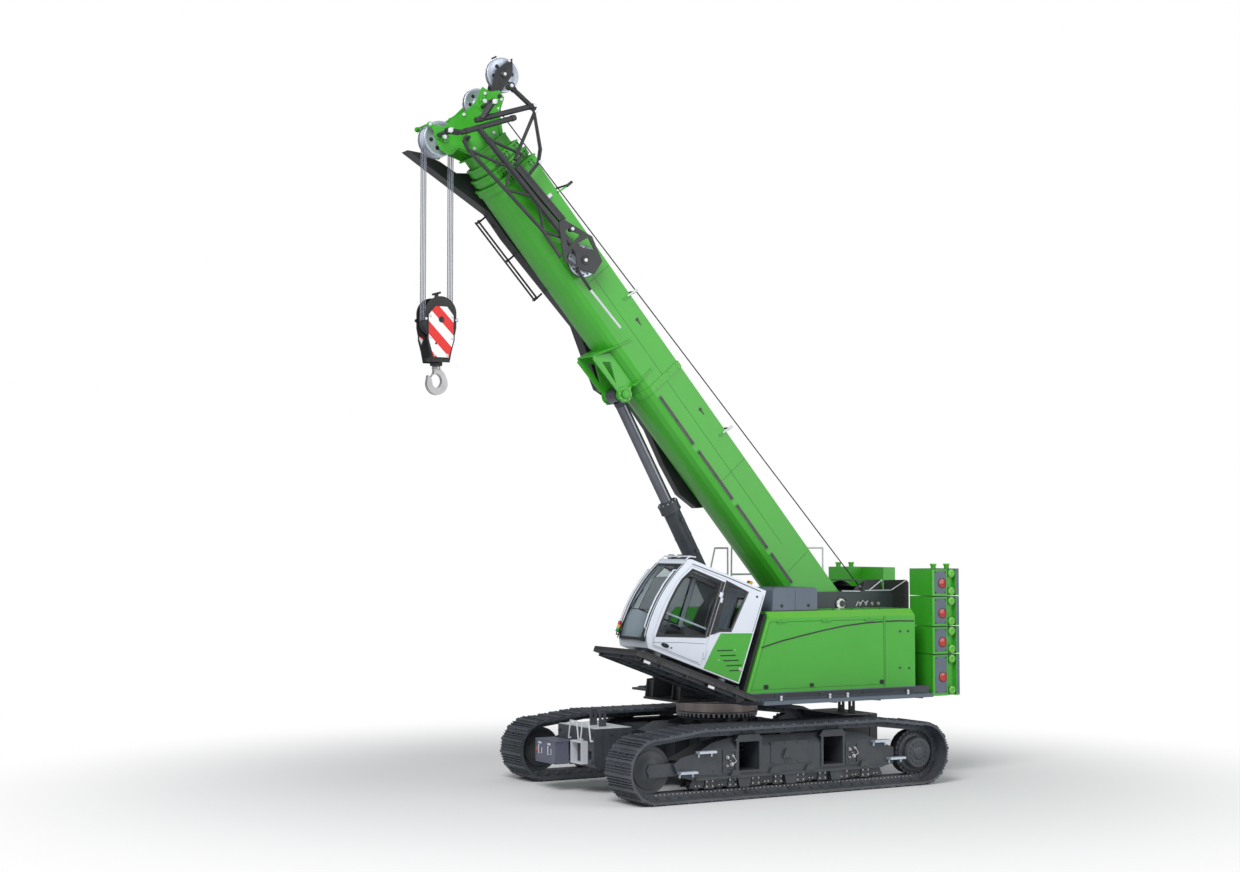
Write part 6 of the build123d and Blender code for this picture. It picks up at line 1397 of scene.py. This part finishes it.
# %% Seat frame, consoles, levers, screen and pedals
inside = Maker(cab)
for k in range(6):
    inside.block(0.88 + 0.012 * (k % 2), 1.10 - 0.012 * (k % 2), 0.94 + 0.012 * (k % 2), 1.18 - 0.012 * (k % 2),
                 0.06 + 0.04 * k, 0.10 + 0.04 * k)
inside.block(0.80, 1.20, 0.88, 1.24, 0.30, 0.345)
inside.block(0.64, 0.69, 0.86, 1.26, 0.46, 1.12)
for y in (0.79, 1.33):
    inside.plate([(0.80, 0.40), (1.18, 0.42), (1.24, 0.52), (1.22, 0.56), (0.82, 0.56)], y - 0.05, y + 0.05)
    inside.turned([(0.0, 0.0), (0.0, 0.035), (0.03, 0.028), (0.05, 0.014), (0.10, 0.012), (0.11, 0.022),
                   (0.17, 0.026), (0.21, 0.020), (0.215, 0.0)], (1.17, y, 0.55), (0.12, 0, 1), 16)
inside.block(1.35, 1.55, 0.70, 0.78, 0.05, 0.62)
inside.plate([(1.38, 0.70), (1.42, 0.68), (1.50, 0.93), (1.46, 0.95)], 0.70, 0.96)
inside.tube([(1.48, 0.74, 0.50), (1.50, 0.76, 0.70), (1.45, 0.83, 0.80)], 0.014, 8)
for y in (0.95, 1.10):
    inside.plate([(1.55, 0.05), (1.70, 0.20), (1.69, 0.21), (1.54, 0.06)], y, y + 0.08)
    inside.tube([(1.60, y + 0.04, 0.12), (1.60, y + 0.04, 0.34)], 0.010, 8)
inside.block(0.10, 0.55, 0.68, 1.44, 0.05, 0.60)
inside.block(0.12, 0.52, 0.70, 1.42, 0.60, 0.64)
inside.block(0.60, 1.80, 0.67, 1.44, 0.046, 0.058)
inside.block(0.30, 1.35, 0.72, 0.80, 1.46, 1.52)
inside.block(0.30, 1.35, 1.32, 1.40, 1.46, 1.52)
inside.finish("cab_interior", "cab", console_grey, bevel=0.006)
display = Maker(cab)
display.plate([(1.374, 0.705), (1.380, 0.703), (1.455, 0.94), (1.449, 0.942)], 0.715, 0.945)
display.finish("display", "cab", black_plastic, bevel=0)
# %% [markdown]
# ## Boom
# The base section has a weld seam along its side, plum cover strips with screws, white-capped guide
# posts for the rope, and a keyhole plate at two places. Each mouth has a collar with pad screws.

# %% Seams, strips, caps and keyholes
seam = Maker(boom)
for side in (-1, 1):
    seam.block(1.6, 8.3, *span(side, 0.4195, 0.4212), 0.077, 0.083)
    for s in (1.15, 3.2, 7.3):
        seam.block(s, s + 0.006, *span(side, 0.4195, 0.4208), -0.16, 0.43)
for y in (-0.2, 0.2):
    seam.block(0.9, 9.3, y, y + 0.006, 0.4495, 0.4515)
seam.finish("boom_seams", "boom_base", shade_green, bevel=0)
strips = Maker(boom)
for start, end in ((0.96, 1.64), (1.74, 2.72), (2.83, 3.90), (4.03, 5.06)):
    for side in (-1, 1):
        strips.block(start + 0.008, end - 0.008, *span(side, 0.4335, 0.4385), -0.231, -0.177)
strips.finish("boom_strips", "boom_base", strip_plum, bevel=0.0015)
spots = [((s, side * 0.4385, -0.204), (0, side, 0)) for side in (-1, 1) for start,
         end in ((0.96, 1.64), (1.74, 2.72), (2.83, 3.90), (4.03, 5.06))
         for s in (start + 0.05, (start + end) / 2, end - 0.05)]
screw_set("strip_screws", "boom_base", spots, 0.024, 0.010, dark_grey, boom)
caps = Maker(boom)
for s, t in ((6.69, 0.57), (3.80, 0.56)):
    for side in (-1, 1):
        caps.boss([(0.0, 0.024), (0.09, 0.024), (0.10, 0.016)], (s - 0.006, side * 0.428, t - 0.06),
                  (-0.115, 0, 1), 14)
        caps.tube([(s + 0.01, side * 0.428, t - 0.18), (s - 0.008, side * 0.428, t - 0.02)], 0.017, 10)
caps.block(8.79, 8.85, 0.4195, 0.45, 0.23, 0.31)
caps.finish("post_caps", "boom_base", pin_white, bevel=0.002)
bars = Maker(boom)
for s, t in ((8.745, 0.715), (6.676, 0.555), (3.786, 0.545)):
    bars.tube([(s, -0.43, t), (s, 0.43, t)], 0.016, 12)
for s in (6.24, 4.34):
    for side in (-1, 1):
        bars.boss([(0.0, 0.032), (0.004, 0.03)], (s + 0.058, side * 0.414, 0.287), (0, side, 0), 20)
        bars.plate([(s - 0.06, 0.281), (s + 0.03, 0.272), (s + 0.03, 0.303), (s - 0.06, 0.294)],
                   *span(side, 0.414, 0.4165))
bars.block(8.74, 8.78, 0.422, 0.47, 0.62, 0.75)
bars.finish("rope_guides", "boom_base", jib_grey, bevel=0.002)

# %% Collars: pads, screws and lumps round each mouth
ends = ((0, 9.513, "boom_base"), (1, 9.683, "boom_1"), (2, 9.853, "boom_2"))
for index, end, body in ends:
    half, top = 0.444 - 0.038 * index, 0.474 - 0.038 * index
    lumps = Maker(boom)
    for side in (-1, 1):
        for t in (-0.14, 0.10, 0.34):
            lumps.plate([(end - 0.125, t - 0.055), (end - 0.035, t - 0.055), (end - 0.035, t + 0.055),
                         (end - 0.125, t + 0.055)], *span(side, half - 0.001, half + 0.012))
    for y in (-0.26, 0.0, 0.26):
        lumps.block(end - 0.125, end - 0.035, y - 0.07, y + 0.07, top - 0.001, top + 0.014)
    lumps.finish(f"collar_lumps_{index}", body, crane_green, bevel=0.005)
    spots = [((end - 0.08 + a, side * (half + 0.012), t + b), (0, side, 0)) for side in (-1, 1)
             for t in (-0.14, 0.10, 0.34) for a in (-0.025, 0.025) for b in (-0.03, 0.03)]
    spots += [((end - 0.08 + a, y + b, top + 0.014), (0, 0, 1)) for y in (-0.26, 0.0, 0.26)
              for a in (-0.025, 0.025) for b in (-0.045, 0.045)]
    screw_set(f"collar_screws_{index}", body, spots, 0.022, 0.012, dark_grey, boom)

# %% Saddle, foot and band of the base section
saddle = Maker(boom)
for side in (-1, 1):
    saddle.boss([(0.0, 0.135), (0.012, 0.135), (0.016, 0.12)], (5.453, side * 0.264, -0.626), (0, side, 0), 32)
    saddle.boss([(0.0, 0.070), (0.022, 0.070), (0.026, 0.06)], (5.453, side * 0.294, -0.626), (0, side, 0), 28)
    saddle.plate([(5.47, -0.31), (6.06, -0.31), (6.05, -0.335), (5.48, -0.335)], *span(side, 0.26, 0.30))
    saddle.plate(strip([(5.60, -0.70), (6.26, -0.72)], 0.022), *span(side, 0.262, 0.285))
    saddle.boss([(0.0, 0.20), (0.014, 0.20), (0.018, 0.185)], (0.062, side * 0.4195, 0.281), (0, side, 0), 36)
saddle.finish("saddle_bosses", "boom_base", crane_green, bevel=0.003)
spots = [((5.453 + a, side * 0.28, -0.626 + b), (0, side, 0)) for side in (-1, 1) for a, b in ring(8, 0.105)]
spots += [((5.24 + a, side * 0.434, t), (0, side, 0)) for side in (-1, 1) for a in (-0.035, 0.035)
          for t in (-0.15, 0.0, 0.2, 0.4)]
screw_set("saddle_screws", "boom_base", spots, 0.026, 0.012, light_green, boom)
lines_on = Maker(boom)
for y in (-0.30, -0.26):
    lines_on.tube([(0.9, y, 0.475), (9.2, y, 0.475)], 0.012, 8)
for s in range(1, 10):
    lines_on.block(s, s + 0.04, -0.33, -0.23, 0.449, 0.492)
lines_on.finish("boom_pipes", "boom_base", jib_grey, bevel=0.001)

# %% [markdown]
# ## Boom head and sheaves
# The sheaves are cast wheels with round holes, a deep rope groove and a bearing cap; the holes are
# black discs on the faces, a painted shade. The head plates carry bearing caps with screws and white
# pins through the guards.

# %% Sheave faces
def sheave_face(maker, s, t, radius, y, side):
    """A turned face on one side of a sheave: rim, dished web and hub."""
    maker.boss([(0.0, radius * 0.995), (0.006, radius * 0.995), (0.010, radius * 0.97), (0.008, radius * 0.86),
                (0.001, radius * 0.82), (0.001, radius * 0.36), (0.008, radius * 0.33), (0.02, radius * 0.31)],
               (s, y, t), (0, side, 0), 48)


front, front_s, front_t = Maker(boom), 10.593, -0.572
# black discs on each face stand in for the sheave's round holes: painted shade
front_hole_shades = Maker(boom)
for side in (-1, 1):
    sheave_face(front, front_s, front_t, 0.285, side * 0.12, side)
    for a, b in ring(6, 0.165):
        front_hole_shades.boss([(0.0, 0.034), (0.004, 0.034)], (front_s + a, side * 0.121, front_t + b), (0, side, 0),
                         18)
profile = [(-0.105, 0.0), (-0.105, 0.22)]
for k in range(4):
    y = -0.09 + 0.06 * k
    profile += [(y - 0.028, 0.280), (y - 0.016, 0.232), (y, 0.2265), (y + 0.016, 0.232), (y + 0.028, 0.280)]
profile += [(0.119, 0.22), (0.119, 0.0)]
front.turned(profile, (front_s, 0.0, front_t), (0, 1, 0), 48)
front.finish("front_sheave_faces", "front_sheaves", aluminium, bevel=0.001)
front_hole_shades.finish("front_sheave_holes", "front_sheaves", black_plastic, bevel=0)
for label, body, s, t, radius, half in (("rear", "rear_sheave", 10.633, 0.385, 0.25, 0.035),
                                        ("top", "top_sheave", 10.743, 1.06, 0.285, 0.035)):
    # the round holes of these sheaves are black discs too: painted shade
    wheel, hole_shades = Maker(boom), Maker(boom)
    for side in (-1, 1):
        sheave_face(wheel, s, t, radius, side * half, side)
        for a, b in ring(6, radius * 0.58):
            hole_shades.boss([(0.0, radius * 0.12), (0.003, radius * 0.12)], (s + a, side * (half + 0.001), t + b),
                       (0, side, 0), 18)
    wheel.boss([(-half, radius), (-0.016, radius * 0.87), (0.0, radius * 0.85), (0.016, radius * 0.87),
                (half, radius)], (s, 0.0, t), (0, 1, 0), 48)
    wheel.finish(f"{label}_sheave_faces", body, aluminium, bevel=0.001)
    hole_shades.finish(f"{label}_sheave_holes", body, black_plastic, bevel=0)

# %% Bearing caps, pins and plates of the head
head_caps, pins = Maker(boom), Maker(boom)
for side in (-1, 1):
    for s, t in ((10.593, -0.572), (10.633, 0.385)):
        head_caps.boss([(0.0, 0.085), (0.012, 0.085), (0.018, 0.07)], (s, side * 0.2565, t), (0, side, 0), 28)
        pins.boss([(0.0, 0.036), (0.014, 0.034)], (s, side * 0.2745, t), (0, side, 0), 20)
    for s, t in ((10.887, -0.637), (10.393, 0.524), (10.67, -0.05), (10.15, 0.2), (10.15, -0.25), (10.72, 0.48),
                 (10.48, 0.66)):
        pins.boss([(0.0, 0.026), (0.018, 0.026), (0.022, 0.018)], (s, side * 0.245, t), (0, side, 0), 18)
        head_caps.boss([(0.0, 0.044), (0.006, 0.042)], (s, side * 0.245, t), (0, side, 0), 22)
    head_caps.plate(strip([(10.06, 0.28), (10.33, 0.44), (10.46, 0.63)], 0.02), *span(side, 0.244, 0.27))
    head_caps.plate(strip([(10.06, -0.29), (10.33, -0.47), (10.31, -0.62)], 0.02), *span(side, 0.244, 0.27))
    head_caps.plate([(10.05, -0.05), (10.30, -0.02), (10.30, 0.02), (10.05, 0.05)], *span(side, 0.244, 0.30))
head_caps.finish("head_caps", "boom_3", crane_green, bevel=0.002)
pins.finish("head_pins", "boom_3", pin_white, bevel=0.002)
spots = [((s + a, side * 0.2745, t + b), (0, side, 0)) for side in (-1, 1) for s,
         t in ((10.593, -0.572), (10.633, 0.385)) for a, b in ring(6, 0.060)]
screw_set("head_screws", "boom_3", spots, 0.018, 0.010, dark_grey, boom)
tip = Maker(boom)
tip.tube([(10.06, -0.30, 0.30), (10.35, -0.36, 0.36), (10.60, -0.34, 0.52)], 0.014, 8)
tip.boss([(0.0, 0.05), (0.03, 0.05), (0.05, 0.03), (0.12, 0.03)], (10.36, 0.27, -0.28), (0, 1, 0), 20)
for side in (-1, 1):
    tip.boss([(0.0, 0.062), (0.012, 0.062), (0.02, 0.05)], (10.743, side * 0.092, 1.06), (0, side, 0), 24)
    tip.plate([(10.62, 0.86), (10.80, 1.02), (10.80, 1.14), (10.66, 1.02)], *span(side, 0.0795, 0.086))
    tip.boss([(0.0, 0.04), (0.016, 0.036)], (10.538, side * 0.245, 0.668), (0, side, 0), 20)
tip.tube([(11.045, -0.075, 1.13), (11.045, 0.075, 1.13)], 0.014, 10)
tip.finish("arm_details", "boom_3", jib_grey, bevel=0.002)
nuts = Maker(boom)
for side in (-1, 1):
    nuts.boss([(0.0, 0.030), (0.014, 0.028)], (10.743, side * 0.112, 1.06), (0, side, 0), 6)
    nuts.boss([(0.0, 0.022), (0.02, 0.02)], (10.86, side * 0.0795, 1.28), (0, side, 0), 12)
nuts.finish("arm_nuts", "boom_3", pin_white, bevel=0.001)

# %% [markdown]
# ## Jib pieces
# The lattice piece has pale pins in its forks, weld rings at its joints, and a pale quadrant behind
# its end plate, whose ring of holes is drawn as black dots, a painted shade. The sheet box piece on
# the far side has stiffening rings.

# %% Lattice jib: pins, collars and quadrant
h = boom_end
jib_pins, jib_dark, quadrant, quadrant_shade_dots = Maker(boom), Maker(boom), Maker(boom), Maker(boom)
for s, t in ((h + 0.65, -0.64), (h + 0.56, 0.29)):
    jib_pins.boss([(0.0, 0.042), (0.014, 0.042), (0.020, 0.034)], (s, 0.7095, t), (0, 1, 0), 20)
    jib_pins.tube([(s, 0.725, t - 0.06), (s, 0.725, t + 0.06)], 0.007, 8)
for s, t in ((h + 0.585, 0.715), (h + 0.11, 0.86), (h + 0.02, 0.81), (h - 0.64, 0.34), (h - 1.8, 0.12),
             (h - 2.33, -0.01)):
    jib_pins.boss([(0.0, 0.030), (0.010, 0.028)], (s, 0.7145 if s < h - 1.5 else 0.70, t), (0, 1, 0), 20)
for (s0, t0), (s1, t1), r in (((0.515, -0.15), (0.11, 0.86), 0.045), ((0.515, -0.49), (0.15, 0.47), 0.045),
                              ((0.39, -0.18), (-2.33, -0.01), 0.055), ((0.58, 0.715), (0.06, 0.838), 0.045)):
    for k in (0.08, 0.92):
        start = Vector((h + s0 + k * (s1 - s0), 0.64, t0 + k * (t1 - t0)))
        along = Vector((s1 - s0, 0.0, t1 - t0)).normalized()
        jib_dark.boss([(0.0, r + 0.006), (0.05, r + 0.006)], start, along, 20)
for s, t, r in ((h - 2.33, -0.01, 0.075), (h - 1.8, 0.12, 0.055)):
    jib_dark.boss([(0.0, r), (0.010, r), (0.014, r - 0.008)], (s, 0.70, t), (0, 1, 0), 28)
for (s0, t0), (s1, t1) in (((0.02, 0.81), (-0.36, 0.02)), ((-0.50, 0.51), (-0.64, 0.34)),
                           ((0.25, -0.21), (-0.38, 0.19))):
    jib_dark.tube([(h + s0, 0.60, t0), (h + s1, 0.60, t1)], 0.012, 8)
jib_dark.tube([(h + 0.10, 0.68, 0.80), (h - 0.46, 0.675, 0.48), (h - 0.62, 0.675, 0.30),
               (h - 0.68, 0.68, 0.02)], 0.012, 8)
jib_dark.plate([(h - 0.47, 0.045), (h - 1.61, 0.15), (h - 1.61, 0.11), (h - 0.47, 0.005)], 0.6745, 0.68)
quadrant.boss([(0.0, 0.262), (0.006, 0.262), (0.008, 0.255)], (h - 2.33, 0.5945, -0.01), (0, 1, 0), 56)
quadrant.boss([(0.0, 0.262), (0.006, 0.262), (0.008, 0.255)], (h - 2.33, 0.5555, -0.01), (0, -1, 0), 56)
# the quadrant's ring of holes is black dots on its face: painted shade
for a, b in ring(20, 0.225):
    quadrant_shade_dots.boss([(0.0, 0.014), (0.002, 0.014)], (h - 2.33 + a, 0.602, -0.01 + b), (0, 1, 0), 12)
jib_pins.tube([(7.27, 0.655, -0.227), (6.45, 0.655, -0.18)], 0.020, 10)
jib_dark.tube([(7.69, 0.64, -0.20), (7.26, 0.655, -0.227)], 0.026, 10)
jib_pins.finish("jib_pins", "boom_3", pin_white, bevel=0.0015)
jib_dark.finish("jib_collars", "boom_3", jib_grey, bevel=0.0015)
quadrant.finish("jib_quadrant", "boom_3", aluminium, bevel=0.001)
quadrant_shade_dots.finish("quadrant_holes", "boom_3", black_plastic, bevel=0)

# %% Sheet box jib: stiffening rings, screws, sheave face
far = Maker(boom)
for s in (-0.9, -1.35, -1.8, -2.25, -2.7, -3.15, -3.6, -4.2, -4.6):
    for y in (-0.7205, -0.4795):
        far.boss([(0.0, 0.075), (0.010, 0.073)], (h + s, y, -0.10), (0, 1 if y > -0.6 else -1, 0), 24)
for s0, s1 in ((-0.5, -0.52), (-1.15, -1.17), (-2.4, -2.42), (-3.4, -3.42), (-4.0, -4.02)):
    far.block(h + s1, h + s0, -0.735, -0.719, -0.24, 0.14)
far.block(h - 4.88, h - 0.70, -0.735, -0.719, 0.125, 0.15)
far.finish("far_jib_rings", "boom_base", jib_grey, bevel=0.003)
wheel = Maker(boom)
sheave_face(wheel, h - 1.19, -0.20, 0.15, -0.681, -1)
wheel.finish("far_sheave_face", "boom_base", aluminium, bevel=0.001)
spots = [((h + s, -0.735, t), (0, -1, 0)) for s in (-0.51, -1.16, -2.41, -3.41, -4.01)
         for t in (-0.18, 0.0, 0.1)]
spots += [((h + s, y, 0.15), (0, 0, 1)) for s in (-4.7, -4.2, -3.7, -3.2, -2.7, -2.2, -1.7, -1.2, -0.8)
          for y in (-0.62, -0.58)]
screw_set("far_jib_screws", "boom_base", spots, 0.026, 0.012, bright_steel, boom)

# %% [markdown]
# ## Luffing cylinder
# The barrel has a gland with screws, a foot boss, and two rigid pipes along it. The polished rod
# keeps its bare look, with a wiper ring at the gland.

# %% Gland, pipes and foot
gland = Maker(cylinder)
gland.boss([(2.995, 0.180), (3.02, 0.180), (3.02, 0.176), (3.13, 0.176), (3.13, 0.182), (3.16, 0.180),
            (3.175, 0.150), (3.19, 0.118), (3.19, 0.1005), (3.155, 0.1005)], (0, 0, 0), (1, 0, 0), 48)
for y in (-0.185, 0.185):
    gland.tube([(0.30, y * 0.8, 0.03), (0.34, y, 0.03), (2.88, y, 0.03), (2.93, y * 0.85, 0.03)], 0.013, 8)
    for s in (0.6, 1.4, 2.2, 2.8):
        gland.block(s, s + 0.04, y - 0.025 if y > 0 else y - 0.02, y + 0.02 if y > 0 else y + 0.025, 0.0, 0.06)
for s in (0.5, 1.5, 2.5):
    gland.boss([(s, 0.152), (s + 0.03, 0.152)], (0, 0, 0), (1, 0, 0), 40)
for side in (-1, 1):
    gland.boss([(0.0, 0.09), (0.006, 0.088)], (0.0, side * 0.149, 0.0), (0, side, 0), 28)
gland.finish("cylinder_gland", "luff_barrel", dark_grey, bevel=0.002)
spots = [((3.16, a, b), (1, 0, 0)) for a, b in ring(12, 0.160)]
screw_set("gland_screws", "luff_barrel", spots, 0.024, 0.014, bright_steel, cylinder)
eye = Maker(cylinder)
rise = 5.1926
for side in (-1, 1):
    eye.boss([(0.0, 0.062), (0.010, 0.058)], (rise, side * 0.295, 0.0), (0, side, 0), 28)
eye.boss([(rise - 0.20, 0.1015), (rise - 0.16, 0.108), (rise - 0.11, 0.108)], (0, 0, 0), (1, 0, 0), 40)
eye.finish("rod_eye_details", "luff_rod", dark_grey, bevel=0.002)
# %% [markdown]
# ## Hook block and hoist rope
# The cheeks of the block carry plates with slanting red and white bands. The hook hangs on a nut
# below the crosshead, and its latch has a spring. The hoist rope runs taut from the drum to the
# head, and the dead end of the reeving hangs from a socket on the head.

# %% Plates, bolts and latch of the block
axle = 7.55              # height of the block sheaves' axle
hook_x = sum(c[0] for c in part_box("hook_block")) / 2
bands = Maker()
outline = [(hook_x - 0.135, 6.955), (hook_x + 0.135, 6.955), (hook_x + 0.215, 7.24), (hook_x + 0.215, 7.62),
           (hook_x + 0.10, 7.76), (hook_x - 0.10, 7.76), (hook_x - 0.215, 7.62), (hook_x - 0.215, 7.24)]
for side in (-1, 1):
    bands.plate(outline, *span(side, 0.1795, 0.185))
bands.finish("warning_plates", "hook_block", warning_bands, bevel=0.001)
block_bits = Maker()
for side in (-1, 1):
    hoop(block_bits, inward(outline, -0.018), 0.018, *span(side, 0.1795, 0.190))
    block_bits.boss([(0.0, 0.045), (0.016, 0.045), (0.022, 0.034)], (hook_x, side * 0.1845, axle), (0, side, 0),
                    24)
    block_bits.boss([(0.0, 0.018), (0.008, 0.016)], (hook_x + 0.09, side * 0.1845, axle - 0.38), (0, side, 0),
                    16)
block_bits.boss([(0.0, 0.09), (0.02, 0.10), (0.05, 0.10), (0.07, 0.075)], (hook_x, 0.0, 6.83), (0, 0, 1), 32)
block_bits.tube([(hook_x, -0.14, 7.98), (hook_x, 0.14, 7.98)], 0.018, 12)
block_bits.finish("block_fittings", "hook_block", black_hook, bevel=0.0015)
spots = [((hook_x + a, side * 0.185, b), (0, side, 0)) for side in (-1, 1) for a,
         b in ((-0.105, 6.99), (0.105, 6.99), (-0.185, 7.26), (0.185, 7.26), (-0.185, 7.60), (0.185, 7.60))]
spots += [((hook_x + a, side * 0.192, axle), (0, side, 0)) for side in (-1, 1) for a in (-0.262, 0.262)]
screw_set("block_screws", "hook_block", spots, 0.030, 0.014, pin_white)
wheel = Maker()
for side in (-1, 1):
    wheel.boss([(0.0, 0.245), (0.006, 0.245), (0.008, 0.225), (0.001, 0.20), (0.001, 0.09), (0.012, 0.08)],
                 (hook_x, side * 0.12, axle), (0, side, 0), 40)
wheel.finish("block_sheave_faces", "block_sheaves", cast_steel, bevel=0.001)
hook_bits = Maker()
hook_bits.boss([(0.0, 0.062), (0.02, 0.068), (0.05, 0.068), (0.06, 0.058)], (hook_x, 0.0, 6.765), (0, 0, 1), 30)
hook_bits.tube([(hook_x + 0.036, 0.026, 6.72), (hook_x + 0.10, 0.026, 6.655)], 0.008, 8)
hook_bits.tube([(hook_x + 0.036, -0.026, 6.72), (hook_x + 0.10, -0.026, 6.655)], 0.008, 8)
for side in (-1, 1):
    hook_bits.boss([(0.0, 0.024), (0.008, 0.022)], (hook_x + 0.035, side * 0.042, 6.715), (0, side, 0), 18)
hook_bits.finish("hook_fittings", "hook", bright_steel, bevel=0.001)

# %% Hoist rope along the boom's back
rope = Maker(boom)
rope.tube([(-0.30, 0.02, 1.075), (5.0, 0.015, 0.867), (10.63, 0.0, 0.632)], 0.0105, 10)
rope.finish("hoist_rope", "boom_base", hoist_wire, bevel=0)
socket = Maker(boom)
socket.boss([(0.0, 0.028), (0.10, 0.028), (0.16, 0.016)], (10.40, 0.0, 0.64), (-1, 0, 0.043), 16)
socket.finish("rope_socket", "boom_3", cast_steel, bevel=0.001)
